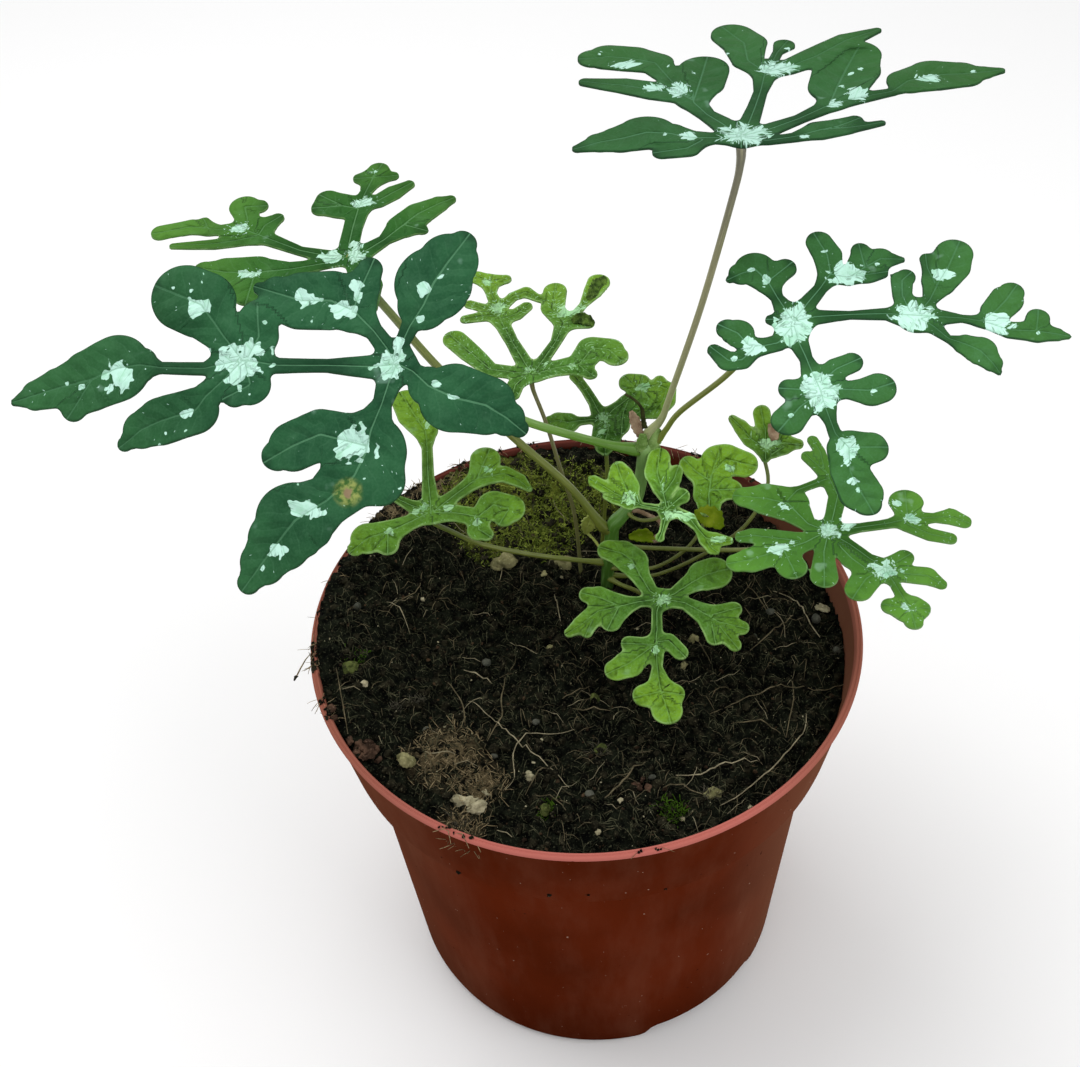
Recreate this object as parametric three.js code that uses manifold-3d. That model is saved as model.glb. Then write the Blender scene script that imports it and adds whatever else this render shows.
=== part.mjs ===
// A potted house plant with silver-splashed, deeply cut leaves, in a terracotta-coloured nursery pot.
// Millimetres, +Z up. The origin is the middle of the pot's base, and the front of the plant faces -Y.

import * as THREE from 'three';
import * as BufferGeometryUtils from 'three/addons/utils/BufferGeometryUtils.js';
import Module from 'manifold-3d';

const wasm = await Module();
wasm.setup();

// Pot
const POT_HEIGHT = 105.5;
const RIM_RADIUS = 60;
const RIM_BAND = 2.2;
const COLLAR_TOP_RADIUS = 58.4;
const COLLAR_FOOT_RADIUS = 54.4;
const COLLAR_HEIGHT = 23;
const SHOULDER_RADIUS = 52.6;
const BASE_RADIUS = 45.4;
const WALL = 1.3;
const FLOOR = 2.2;
const FOOT_ROUNDING = 1.6;
const DRAIN_NOTCHES = 4;
const DRAIN_NOTCH_WIDTH = 34;
const DRAIN_NOTCH_HEIGHT = 4.2;
const DRAIN_NOTCH_REACH = 4.5;
const DRAIN_NOTCH_TURN = -52;
const CORNER_RISE = 7;
const CORNER_REACH = 8;
const DRAIN_HOLES = 4;
const DRAIN_HOLE_RADIUS = 4;
const DRAIN_HOLE_RING = 27;
const POT_FACETS = 72;

// Soil
const CLEARANCE = 0.3;
const SOIL_LEVEL = 98.3;
const SOIL_TILT = 3.2;
const SOIL_CRUMB = 1.1;
const SOIL_RINGS = 9;
const SOIL_FACETS = 48;
const LUMPS = 16;
const LUMP_SEED = 11;

// Stems
const STEM_RADIUS = 1.45;
const STEM_SIDES = 8;
const HOLE_DEPTH = 7;
const ROOT_SEAT = 3.2;

// Blades
const BLADE_THICKNESS = 0.6;
const WEB = 1.3;
const OUTLINE_STEP = 0.9;
const OUTLINE_SLACK = 0.16;
const INNER_STEP = 5;
const INNER_MARGIN = 1.5;
const FOLD = 0.1;
const RIPPLE = 0.35;
const RIPPLE_LENGTH = 13;
const LIGHT = new THREE.Vector3(-8, -216, 353);

// Colours
const TERRACOTTA = 0x6f2a1c;
const PEAT = 0x1c1510;
const STEM_GREEN = 0x5f9048;
const OLIVE = 0x8f9650;
const BEIGE = 0x9a9078;
const DEEP_GREEN = 0x2e643c;
const LEAF_GREEN = 0x3f7a2c;
const FRESH_GREEN = 0x6ea535;

// Each blade lies in a plane of its own. Its ribs are chains of points [x, y, half width, lift] in
// that plane, measured from the hub where the stalk meets the blade. x runs to the right, y away
// from the front, and lift is how far the point bends towards the light, below zero for a droop.
const BLADES = {
  a: {
    hub: [-31, -13, 190.9], turn: -6.5, tip: 33, colour: DEEP_GREEN,
    ribs: [
      [[0, 0, 3], [-4.2, 0, 1.2], [-12, 0, 0.9], [-20.9, 0, 1.1], [-27, 0.8, 4.2],
        [-33.6, -0.4, 1.1, -1], [-41.6, -0.2, 1.1, -2], [-45.6, -0.2, 3.1, -3],
        [-49.8, -1, 5.8, -4], [-54.6, -2.8, 5.4, -5], [-60.6, -3.8, 3.5, -6], [-65, -5.2, 2.6, -7],
        [-69.6, -6.6, 0.6, -8]],
      [[-54.6, -3, 3.2, -5], [-57.8, -7.6, 2.1, -6]],
      [[-27, 0.8, 3.6], [-30.5, 5, 3.2], [-34.8, 10.8, 5.8, 1], [-37.8, 11.8, 5.6, 1]],
      [[-26.5, 1, 3.6], [-24.8, 5, 3.1], [-25, 8.2, 3.1, 1]],
      [[-27, 0.5, 3], [-30.3, -3.2, 2], [-33, -5.8, 2.2, -1], [-35, -8.4, 3.6, -2],
        [-41, -10.4, 4, -3], [-44.4, -12, 3.2, -4], [-47.4, -14.6, 1.3, -5]],
      [[-26.5, 0.5, 3.6], [-25.4, -3.2, 3.3], [-28, -4.7, 2]],
      [[0, 0, 3], [-1.6, 2.8, 1.3], [-4.4, 5.8, 1.8], [-8, 9.4, 3.8], [-12, 11.8, 5.2],
        [-17.2, 11.8, 4.8], [-21.8, 13, 3, -1], [-25, 14, 1, -2]],
      [[-8, 9.6, 3.2], [-6.6, 14.2, 3.2], [-5.4, 17.2, 2.2]],
      [[0.5, 1, 2.6], [0.9, 3.8, 1.2], [2.1, 6.8, 1.5], [4.4, 10.8, 4.2, 1], [5.8, 14.6, 6.2, 1],
        [7.9, 18.8, 5, 1], [10, 21.8, 2.4, 1]],
      [[0.5, 0, 2.6], [3, -1.2, 1.5], [6, -3.4, 3.1], [10.5, -5.6, 5.7], [15.8, -7, 4.9, -1],
        [19.6, -9.5, 3, -2], [21.8, -11.3, 1.5, -2]],
      [[0, -0.5, 2.6], [-0.6, -3.6, 1.3], [-2, -6.8, 1.3], [-4.2, -11.6, 3.6, -1],
        [-5, -15.8, 6.7, -2], [-6.4, -20, 5.6, -2], [-10.6, -24.2, 5, -3], [-14.8, -27.6, 6.4, -4],
        [-17.9, -31.4, 5.3, -5], [-21.2, -35.5, 3.9, -6], [-23.6, -39, 1.8, -7]],
      [[-5, -14.5, 5, -2], [-12.6, -12.9, 4.2, -2], [-16.9, -14.7, 3.9, -3],
        [-19.6, -16.4, 2.2, -4]],
    ],
  },
  b: {
    hub: [-40.3, 23.2, 188.6], turn: -7, tip: 8, colour: LEAF_GREEN,
    ribs: [
      [[0, 0.4, 2.3], [-4.2, 0, 1.6], [-10.3, 1.9, 1.2], [-16.5, 5.2, 1.9], [-21.7, 7.2, 3, -1],
        [-27.4, 7.4, 1.4, -2], [-33.2, 7.9, 2, -3], [-38.6, 6.4, 1.9, -4]],
      [[-29.5, 7.6, 1.4, -2], [-30.9, 10, 0.9, -3]],
      [[-21.7, 7.2, 2.4, -1], [-22.3, 10.8, 2.4, -1], [-22.9, 13.4, 2.9, -1],
        [-20.5, 14.2, 1.7, -1]],
      [[-19, 6.4, 2.2, -1], [-18.4, 8.6, 2.5, -1], [-15.8, 11, 1.4, -1]],
      [[-20, 5.4, 1.8, -1], [-23.4, 4.4, 1.5, -2], [-27.5, 3.5, 1.4, -3], [-31.6, 3.2, 1, -4],
        [-37, 2.3, 0.6, -5]],
      [[0, 0.6, 2.3], [-0.6, 3.6, 1.6], [-0.9, 8, 1.5], [-0.5, 14, 2.2], [0.2, 17.8, 0.9],
        [1.3, 22, 2.2, -1], [2, 23.9, 1.9, -1]],
      [[1.3, 22, 1.6, -1], [-1, 21.8, 1, -1]],
      [[1.3, 22, 1.6, -1], [4.6, 22.3, 0.9, -2]],
      [[-0.4, 14.4, 1.6], [3.2, 15.3, 1.6], [5.8, 17.4, 1.8, -1], [8.1, 20, 1, -2]],
      [[-0.6, 13.4, 1.8], [-3.8, 13.9, 3], [-6.5, 15.8, 2]],
      [[-3.8, 13.9, 2.6], [-7.2, 13.1, 1.6]],
      [[1, 0.6, 2], [2.6, 1.6, 1.8], [5.7, 4.6, 1.4], [8.7, 8.2, 3], [11.5, 11, 3, -1],
        [15, 13.9, 1.9, -2], [16.9, 15.6, 0.9, -3]],
      [[9.5, 8.6, 2], [12.8, 7.4, 1]],
      [[-0.6, 0, 2], [-4.9, -1.9, 1.4], [-11.4, -3.5, 2], [-18, -4.9, 4.4, -1],
        [-23.8, -4.9, 3.7, -2], [-27.9, -4.1, 1.9, -3]],
      [[-18, -5.4, 4, -1], [-18.2, -10, 3, -1]],
      [[0.6, -0.4, 2], [2, -3, 2.5], [4.2, -7.6, 2.4, -1], [5.4, -13.6, 1.4, -2]],
    ],
  },
  c: {
    hub: [32.4, 19.6, 208.9], turn: -7.5, tip: 0, colour: DEEP_GREEN,
    ribs: [
      [[0, 1.4, 1.8], [0, 4, 3]],
      [[0, 2.4, 2.4], [-4.6, 2.3, 1.5], [-9, 2.3, 2], [-12.9, 3.3, 2.9], [-17, 3.8, 5.1, -1],
        [-21.7, 2, 4, -2], [-25.4, 1.2, 2.7, -3], [-29.4, -0.9, 0.8, -4]],
      [[-6.9, 1.5, 1.3], [-9.6, -1.2, 2.2], [-13.5, -2.4, 1.4, -1]],
      [[-1, 4, 2.6], [-3.6, 7.4, 2], [-5.9, 10.4, 1.6], [-8.7, 14.8, 2.5], [-7.4, 21.6, 4.6],
        [-6.8, 26, 4.5]],
      [[-8.7, 16, 2.4], [-12.9, 22.6, 1.6], [-16.2, 28.8, 3.2], [-20.8, 31.8, 4.1, -1],
        [-25.4, 32.6, 4, -1], [-27.8, 31.8, 3, -2]],
      [[-8.7, 15.4, 2.2], [-11, 17.6, 2.6], [-16.2, 20, 2.8, -1], [-21.8, 22.2, 2.3, -1],
        [-25.9, 23, 1.6, -2], [-28.9, 23.4, 0.8, -3]],
      [[0.4, 4, 2.8], [1.2, 8, 1.5], [2.1, 13, 1.1], [3.2, 18.6, 1], [4.8, 25.6, 2.2]],
      [[4.8, 25.8, 2], [8.8, 28.8, 2.2], [14.2, 34.6, 3.2, 1], [19.7, 40, 2.6, 1], [25, 43.8, 0.7]],
      [[4.8, 25.8, 2], [2, 31, 2.8], [0.5, 36.8, 4.2], [-1.6, 40.4, 4, -1]],
      [[5.4, 27.2, 1.2], [6.6, 30.8, 0.8], [7.4, 33.6, 0.8], [8.3, 37.2, 2.7, -1]],
      [[0.8, 3.2, 2.6], [5.1, 5.2, 1.7], [10.6, 9.2, 1.2], [16.9, 14.2, 1.8], [23.4, 17.6, 1.4],
        [28.1, 19.2, 1], [31.2, 22.6, 3.3], [36.5, 25, 4.9, -1], [41.4, 25.6, 4.1, -1],
        [45.8, 26.4, 1.8, -2], [48.6, 26.8, 0.6, -2]],
      [[16.6, 14.8, 2.4], [18.1, 20.2, 5, -1], [19.8, 27, 5.9, -1], [21.2, 33, 4, -1]],
      [[1, 2.2, 1.8], [4.6, 1.4, 0.9], [9.6, 2.7, 1.2], [14, 4.7, 2.4], [17.6, 6.3, 2.3, -1],
        [20.6, 8.4, 1.3, -1]],
      [[14, 4.7, 2], [19.4, 5.8, 1.4, -1], [22.9, 6.7, 0.8, -2], [26.4, 7.2, 0.5, -2]],
    ],
  },
  d: {
    hub: [40.5, 4.7, 180.3], turn: -6.5, tip: 15, colour: DEEP_GREEN,
    ribs: [
      [[0.6, 0.3, 3.3], [-1.1, 3.6, 1.8], [-2.2, 5.8, 1.3], [-3.7, 9, 2.4], [-5.8, 11.7, 3.9],
        [-8.6, 11, 2.3, -1], [-10.6, 10.2, 0.8, -1]],
      [[-3.7, 9, 2], [-0.8, 12, 1.8]],
      [[0.9, 0.6, 3], [3.6, 4.6, 1.7], [5.9, 7.9, 1.4], [8.1, 10.9, 2.3], [7.2, 15.2, 2.5, 1],
        [6.2, 17.8, 2, 1]],
      [[8.1, 10.7, 2], [11.2, 10.4, 1.6], [14.5, 12.5, 3.3], [17.6, 14.2, 2.4, -1],
        [20, 15.6, 0.8, -1]],
      [[14.5, 12.5, 2.6], [13.9, 16.2, 1.7]],
      [[11.2, 10.6, 1.5], [17.4, 11.6, 1.3, -1]],
      [[0.9, 0.2, 3], [4.8, 1.2, 1.6], [11.2, 1.4, 1.1], [17.7, 1.6, 1.5], [23, 1.5, 3.7],
        [26.8, 1.2, 1.9], [31.4, 0.9, 0.9], [35, 0.2, 1.3, -1], [40, -1.9, 1.7, -2],
        [45, -2.3, 2.2, -3], [48.7, -2.8, 1.5, -4], [50.9, -3.3, 0.6, -5]],
      [[22, 2.6, 2.4], [20.9, 6.2, 1.8], [21.4, 9.7, 1.9], [22.4, 11.5, 1.7]],
      [[24, 2.6, 2.4], [25.9, 5.1, 1.5], [28, 9.2, 3], [30, 12.4, 3.6, 1], [31.3, 15, 2.9, 1]],
      [[27.4, 8.2, 1.8], [26, 12.6, 1], [25.9, 14, 0.9]],
      [[35, 0.4, 1.3, -1], [37.9, 2.5, 2.6, -1], [40, 5.1, 3, -1], [41.3, 6.8, 2.2, -1]],
      [[45, -2.3, 1.8, -3], [45.5, 0.4, 2, -2]],
      [[24, 0.6, 2.6], [25.9, -0.8, 1.7], [28.5, -3.7, 0.9], [31.6, -5.3, 2.1, -1],
        [34.4, -6.7, 3, -1], [36.6, -9.2, 1.9, -2], [37.6, -11.4, 0.6, -3]],
      [[0.4, -1, 2.8], [-2.2, -4.8, 1.7], [-5.1, -5.5, 1.9], [-7.7, -5.4, 2], [-9.3, -2.6, 2.8],
        [-11.1, -1.4, 2]],
      [[-6.6, -6, 1.7], [-8.9, -8.2, 1.8, -1], [-11.4, -8.6, 1.9, -1], [-13.3, -6.4, 1, -1]],
      [[0.8, -1, 2.8], [1, -4.4, 2], [2.1, -8.3, 1.3], [3.1, -11, 1.7], [4.8, -14.8, 3.9, -1],
        [6.2, -19, 2.1, -2], [7.2, -22.4, 1, -3], [7.8, -25, 1.2, -4], [9.5, -28.1, 3.6, -6],
        [9.7, -33.3, 3.8, -8], [11.4, -38, 4.1, -10], [12.5, -40.6, 2.7, -11]],
      [[5.4, -13.4, 2.6, -1], [8.1, -11, 2.1], [10.9, -9.5, 1.8]],
      [[6, -15, 2.6, -1], [9.8, -15.2, 2, -1], [14, -15.6, 3.1, -1], [16.2, -15, 3.1, -2]],
      [[4, -15.4, 2.6, -1], [0.2, -15.7, 2, -1]],
      [[4, -16.6, 2.6, -1], [1.4, -19.2, 2.5, -2], [-0.5, -22, 2.9, -3]],
      [[9.5, -28.1, 3, -6], [13.3, -28.6, 3.1, -6]],
    ],
  },
  e: {
    hub: [-7.7, 27, 153.1], turn: -6, tip: 5, colour: FRESH_GREEN,
    ribs: [
      [[0, 0.8, 2], [-1.9, 5, 1.4], [-4.7, 10.9, 1.1], [-7.6, 17.4, 1.5], [-8.3, 20.4, 1.6],
        [-10.4, 25.7, 1], [-10.8, 28.6, 2, -1], [-7.5, 29.5, 1.1, -2]],
      [[-10.8, 28.6, 1.6, -1], [-13.2, 30.1, 1.6, -1]],
      [[-8.2, 20.8, 1.3], [-5.4, 23.9, 1.2], [-2.7, 25.1, 1.3, -1], [0.2, 23.3, 0.8, -2]],
      [[-7.6, 17.4, 1.4], [-4.5, 18.5, 1.6], [-2.6, 20.6, 1.1, -1]],
      [[-8.3, 20.4, 1.2], [-11.9, 21.4, 1, -1], [-14.6, 22.6, 0.9, -2]],
      [[-8, 18.6, 1.5], [-11.2, 18.4, 1.4, -1], [-15.2, 17.2, 0.8, -2]],
      [[0.4, 1.2, 2], [2.4, 5.6, 1.3], [4.5, 10.3, 1.2], [6.1, 16, 1.8], [3.4, 21, 2.2],
        [3.5, 25.6, 1.9, -1]],
      [[6.1, 16, 1.6], [9.2, 16.3, 1.6, -1], [11.2, 16, 1, -2]],
      [[6.3, 17.2, 1.4], [8.7, 19.7, 1], [10, 22, 0.9], [11.8, 25.6, 1.8, -1], [13, 28.2, 1.8, -2]],
      [[0.8, 0.8, 1.9], [4.7, 2.7, 2.1], [9.9, 3.4, 2.7], [12.4, 7.2, 3.1], [15.9, 7.4, 3, -1],
        [17.4, 6.4, 2.2, -1]],
      [[9.9, 3, 2.4], [12.2, 0.8, 1.5, -1]],
      [[-0.8, 0.8, 1.9], [-3.6, 1.2, 1.8], [-8.9, 2.7, 2.1], [-13.3, 7.2, 2.2, -1],
        [-16.6, 10.6, 1.8, -2]],
      [[-1.4, 0, 1.7], [-3.3, -2.4, 1.8], [-3.7, -5.2, 1.5, -1]],
    ],
  },
  f: {
    hub: [7.3, 29.5, 137.3], turn: -6, tip: 12, colour: FRESH_GREEN,
    ribs: [
      [[0, 0, 1], [-2.2, 0.3, 0.8], [-5.2, 0, 1], [-7.9, 0, 1.9, -1], [-10, -0.3, 1.6, -1],
        [-11.3, -0.5, 0.7, -2]],
      [[0.4, 0, 2.2], [1.1, -2.2, 3.4], [0.5, -4.6, 3.1, -1], [0.3, -7, 1.9, -1],
        [0.4, -8.3, 0.9, -2]],
      [[0, 0, 1.4], [-1.4, 2.7, 1.5], [-2.3, 4.9, 1.1], [-4.2, 8.5, 1], [-5.6, 10.7, 1],
        [-6.7, 12.4, 1.2]],
      [[0, 0, 1.7], [1.7, 2.7, 1.5], [3.4, 4.3, 1.2], [5.1, 6, 1.2], [6.9, 7.6, 1.1],
        [7.9, 8.7, 1.2]],
      [[7.3, 8.2, 1.5], [5.7, 10.1, 2]],
      [[7.3, 8.2, 1.5], [7.9, 10.4, 1.7]],
      [[7.9, 8.7, 1.2], [9.9, 9.3, 1], [11.7, 9.8, 1.1], [13.6, 8.7, 1.6, -1], [13, 5.7, 2, -1],
        [11.2, 3.2, 1.9, -2], [9.5, 2.4, 1.2, -2]],
      [[11.7, 9.8, 1.1], [12.1, 11.2, 1.1]],
    ],
  },
  g: {
    hub: [-31, 11.4, 130.7], turn: -5.5, tip: 12, colour: FRESH_GREEN,
    ribs: [
      [[0, 0, 2.4], [-0.5, 3.6, 1.7], [-1.4, 9.6, 1.2], [-2.2, 17.2, 1.1], [-2.6, 21.4, 2.3, 1],
        [-5.2, 25.4, 2.7, 1], [-6.2, 28.6, 2.5, 1]],
      [[0.6, 0.4, 2.1], [4.8, 4.6, 1.4], [9.3, 8.8, 1.9], [11, 12.8, 2.4]],
      [[9.3, 8.8, 1.8], [15, 10.1, 1.7, -1], [18.4, 8.4, 1.3, -2], [20.8, 6.2, 0.6, -3]],
      [[0.6, 0, 2.1], [5.1, 0, 1.9], [10.1, -1, 2.1], [13.1, 2, 2.8], [16.2, 1.3, 2.3, -1],
        [15.6, -1, 1.6, -1]],
      [[10.1, -1.4, 1.9], [10.4, -4.2, 1.9, -1], [12, -5.1, 1, -1]],
      [[-0.6, 0, 2.1], [-4.3, -2.3, 1.8], [-8.8, -4.8, 2.6, -1], [-13, -6.3, 3.4, -2],
        [-15.4, -8.8, 1.7, -3]],
      [[-8.8, -5.2, 2.4, -1], [-8.6, -8.1, 2.2, -2]],
      [[-0.8, 0.6, 2], [-4.6, 2, 1.3], [-8, 3.9, 0.8]],
    ],
  },
  h: {
    hub: [16.5, -4, 115.6], turn: -5.5, tip: 10, colour: FRESH_GREEN,
    ribs: [
      [[0, 0, 1.7], [-2.5, 1.9, 1.6], [-4.4, 5.5, 2], [-6.3, 9.6, 3.2], [-8.5, 11.6, 2.8, -1],
        [-10.9, 13, 1.2, -1]],
      [[0, 0, 1.7], [2.7, 1.2, 1.4], [5.9, 3.7, 2.1], [9.1, 5.9, 3.2], [10.8, 6.1, 3.2, -1]],
      [[0, 0, 1.7], [4.9, -1, 1.4], [8.7, -3.5, 2.3], [11.8, -5.7, 3.1], [16.5, -7, 1.6, -1]],
      [[10.4, -4, 2], [15, -2.5, 1.7]],
      [[12.4, -7.4, 2], [15, -11.2, 1.3, -1]],
      [[10.4, -6.6, 2.2], [10.8, -9.4, 1.7]],
      [[0, 0, 1.7], [-1.1, -3.2, 1], [-1.1, -7.6, 1.1], [-1.4, -11.4, 1.8], [-1.1, -16.4, 1, -1],
        [-0.6, -21.4, 2.6, -2], [0.8, -26.6, 3.1, -3]],
      [[-0.6, -22.4, 2.4, -2], [-3.6, -23.2, 2.5, -2]],
      [[-0.4, -22.4, 2.6, -2], [2.1, -22.8, 2.3, -2]],
      [[-1.2, -10.6, 1.4], [1.3, -10.2, 1.6], [3.7, -13, 1.6, -1]],
      [[-1.8, -11.2, 1.6], [-6.8, -11, 1.7]],
      [[-2, -11.6, 1.6], [-7, -15.8, 3.1, -1], [-9.5, -17.2, 2.4, -1]],
      [[0, 0, 1.7], [-4.7, -0.7, 1.2], [-9.3, -2, 2.7], [-13.5, -3.1, 2.2, -1],
        [-16.9, -6.4, 2, -2], [-19.6, -8.4, 1, -3]],
      [[-9.3, -1.6, 2.4], [-13.5, 0.4, 2.6], [-15.6, 1, 1.9]],
      [[-9.3, -2.6, 2.2], [-10.7, -5.8, 2.1]],
    ],
  },
  i: {
    hub: [50.1, -4.6, 133.2], turn: -5.5, tip: 5, colour: LEAF_GREEN,
    ribs: [
      [[0, 0, 1.9], [6.5, 1.1, 1], [12.6, 2.2, 1.2], [16.4, 3.3, 2], [21.8, 3.7, 1.2, -1],
        [25.3, 4.3, 2, -2], [27.4, 3, 1.2, -3]],
      [[16.4, 3.6, 1.8], [16.4, 7, 3.2]],
      [[16.4, 2.6, 1.5], [20.5, 0.4, 1.4, -1], [23.9, -0.8, 1.1, -2]],
      [[0.4, -0.4, 1.8], [4.2, -3.4, 1.1], [7.5, -6.8, 1.2], [10.7, -9.5, 2.3],
        [14.5, -7.6, 1.7, -1]],
      [[10.7, -9.7, 2], [14.6, -11, 1.8, -1], [18.6, -11.7, 2, -2], [21.2, -13.5, 1.2, -3]],
      [[10, -9.8, 2], [6.6, -12, 3], [4.9, -14.7, 2.4, -1]],
      [[10.7, -10.4, 1.8], [12, -13.4, 0.9], [13, -16, 1.1, -1], [14.4, -19.6, 3.5, -2],
        [15.2, -22.6, 1.9, -3]],
      [[14.4, -19.6, 2.4, -2], [11.3, -18.8, 1.5, -2]],
      [[14.4, -19.6, 2.4, -2], [17.5, -19.5, 1.4, -3]],
      [[-0.4, 0.2, 1.8], [-3.9, 2.1, 1.9], [-8.1, 6.4, 4], [-12, 8.4, 3.5, -1],
        [-15.6, 9.8, 1.5, -2]],
      [[-0.6, -0.2, 1.8], [-4.8, -2.9, 1.9], [-10, -4.9, 3.1], [-15.9, -7.3, 3, -1],
        [-18.8, -8, 2.2, -2]],
      [[-9, -5.4, 2.6], [-7.9, -8.9, 3.1, -1]],
      [[0, -0.6, 1.8], [-1.2, -5.3, 1.9], [-1.6, -11.4, 2.8, -1]],
      [[0.4, 0.6, 1.8], [1.1, 4.5, 2.2], [2.8, 9.7, 1.9], [1, 15, 1.7], [0.2, 18.4, 1.3],
        [-0.8, 22.8, 1.3]],
      [[0.8, 16, 1.3], [-2.6, 20.4, 0.9]],
      [[0.8, 14.2, 0.9], [-4.8, 11.2, 0.8], [-7, 8.4, 1.6]],
    ],
  },
  j: {
    hub: [41.1, 19, 132.6], turn: -6, tip: 50, colour: FRESH_GREEN,
    ribs: [
      [[0, 0, 1], [0, 2, 1.7], [-3.2, 4.3, 2], [-5.3, 6.8, 1.7], [-7.1, 8.5, 1]],
      [[0, 2, 1.6], [-0.1, 6.4, 1], [-0.9, 9.4, 1.4], [-2, 10.5, 0.9]],
      [[0, 2, 1.6], [3.8, 3.4, 2.1], [6.6, 2.7, 0.8, -1]],
      [[2.6, 3.4, 1.6], [4.2, 7.2, 1.4, -1]],
    ],
  },
  k: {
    hub: [18.6, 7.6, 130.4], turn: -5.5, tip: 42, colour: FRESH_GREEN,
    ribs: [
      [[0, 0, 1.1], [-2.2, 0.6, 0.7], [-5.2, 1.1, 0.6], [-7.5, 2.4, 1.5], [-8.7, 4.8, 2.1],
        [-9.8, 7.1, 2], [-10, 8.2, 1.4]],
      [[-7.9, 2.2, 1.1], [-11, 3.7, 0.6], [-13.4, 5.2, 1.3], [-15.3, 6.3, 1.2], [-16.1, 6.8, 0.5]],
      [[-7.7, 1.6, 0.8], [-11, 2.2, 0.8], [-12.9, 2.9, 0.4]],
      [[0, 0, 1.1], [-0.3, 2.2, 0.7], [-1.2, 5.2, 2], [-2, 8.1, 2.5], [-1.8, 10.7, 2]],
      [[-0.5, 3.9, 1.3], [1.6, 6.6, 1.5], [2.2, 8.3, 1.3]],
      [[0.3, 0.5, 1.1], [2, 2, 1.1], [3.2, 3, 1.7]],
      [[0, 0, 1.1], [-0.3, -2, 0.9], [-1, -4.7, 0.6], [-1.4, -5.6, 1]],
      [[0.1, -0.3, 1.1], [2.8, -0.7, 1.1], [4.9, -1.8, 1.3], [6.4, -3.7, 0.8], [8.2, -5.8, 1.4],
        [10.5, -6.2, 1.5], [13.2, -6.4, 0.8, -1]],
      [[8.2, -6.2, 1.1], [9.5, -7.9, 1.3], [10.3, -8.5, 0.8]],
    ],
  },
  l: {
    hub: [29, 16.6, 121.6], turn: -5.5, tip: 20, colour: FRESH_GREEN,
    ribs: [
      [[0, 0, 2.4], [0, 2.9, 3.3], [0.6, 7.4, 3.7], [1.3, 12.4, 3.2]],
      [[1, 8.4, 3.2], [3.6, 11.6, 3.4], [7.1, 10, 1.9]],
      [[0.2, 6.4, 2], [-3.7, 9.4, 1.5], [-4.9, 11.4, 1.1]],
      [[0.6, 4, 2.4], [5, 4.2, 2.3]],
    ],
  },
};

// Stalks run from beside the main stem, or from the soil, to just under their blade's hub.
const STALKS = {
  a: {
    radius: 0.9, colour: STEM_GREEN,
    route: [[12.8, 18.6, 138.4], [5.5, 17, 142.4], [-8.4, 8.4, 156.6], [-18, 0, 170.5], [-26, -7.6, 182.6]],
  },
  b: {
    radius: 0.85, colour: OLIVE,
    route: [[5.6, 17.5, 117], [-0.9, 18, 128.8], [-12.1, 19, 143.3], [-25.6, 21, 160.9], [-34, 22.4, 174.5]],
  },
  c: {
    radius: 0.7, colour: BEIGE,
    route: [[15.8, 18.9, 142.3], [18.6, 19, 146], [20.9, 19, 152], [25.9, 19.2, 174.6], [30.6, 19.5, 198.5]],
  },
  d: {
    radius: 0.6, colour: OLIVE,
    route: [[17.8, 18.2, 141], [19.4, 17.2, 144.6], [22, 15.6, 150.6], [29.6, 11, 162.1], [36, 7.4, 172.6]],
  },
  e: {
    radius: 0.45, colour: BEIGE,
    route: [[0.5, 22, 92], [0.5, 22, 99], [-0.3, 23, 116], [-2.9, 24.5, 128.9], [-5.4, 26, 141.2]],
  },
  f: {
    radius: 0.45, colour: OLIVE,
    route: [[6, 28.2, 92], [6, 28.2, 99], [6.9, 28, 112], [7.6, 28, 124], [7.4, 28.6, 132]],
  },
  g: {
    radius: 0.55, colour: OLIVE,
    route: [[5, 17, 106], [-4.4, 16.5, 108.8], [-13, 15.8, 112.2], [-21.8, 14.6, 117.2], [-27.6, 13, 123.4]],
  },
  h: {
    radius: 0.5, colour: OLIVE,
    route: [[7.3, 15.4, 101.6], [9.4, 12.8, 102.4], [12.3, 8.6, 104.8], [14.8, 2.4, 108.6]],
  },
  i: {
    radius: 0.5, colour: OLIVE,
    route: [[9.2, 16.8, 111.3], [14.5, 14.5, 112.4], [26.2, 9, 116.3], [35.4, 4.6, 119.9], [43.7, 0, 124.8]],
  },
  j: {
    radius: 0.42, colour: OLIVE,
    route: [[8.2, 16.5, 101.8], [16.9, 15, 102.6], [27.2, 14, 109], [35.8, 15, 115], [39.6, 17.2, 121.5]],
  },
  k: {
    radius: 0.4, colour: OLIVE,
    route: [[11.8, 15.9, 121.2], [13.8, 13, 122.6], [16.8, 10.4, 125.4]],
  },
  l: {
    radius: 0.42, colour: OLIVE,
    route: [[8.1, 15.8, 105], [16.8, 14.2, 106], [24.6, 14.4, 112]],
  },
};

const STEM_ROUTE = [[6.2, 17, 92], [6.3, 17, 99], [6.8, 17, 105.9], [7.4, 17.2, 110.8], [8, 17.5, 116.8],
  [10.4, 17.8, 120.2], [13.1, 18.1, 124.2], [14.4, 18.4, 131.5], [15.3, 18.8, 140.9]];

// Pseudo-random numbers that repeat on every run.
function seededRandom(seed) {
  let state = seed;
  return () => {
    state = (state * 16807) % 2147483647;
    return state / 2147483647;
  };
}

function makeMesh(name, geometry, colour, roughness) {
  const material = new THREE.MeshStandardMaterial({ color: colour, roughness, metalness: 0 });
  const mesh = new THREE.Mesh(geometry, material);
  mesh.name = name;
  return mesh;
}

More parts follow.
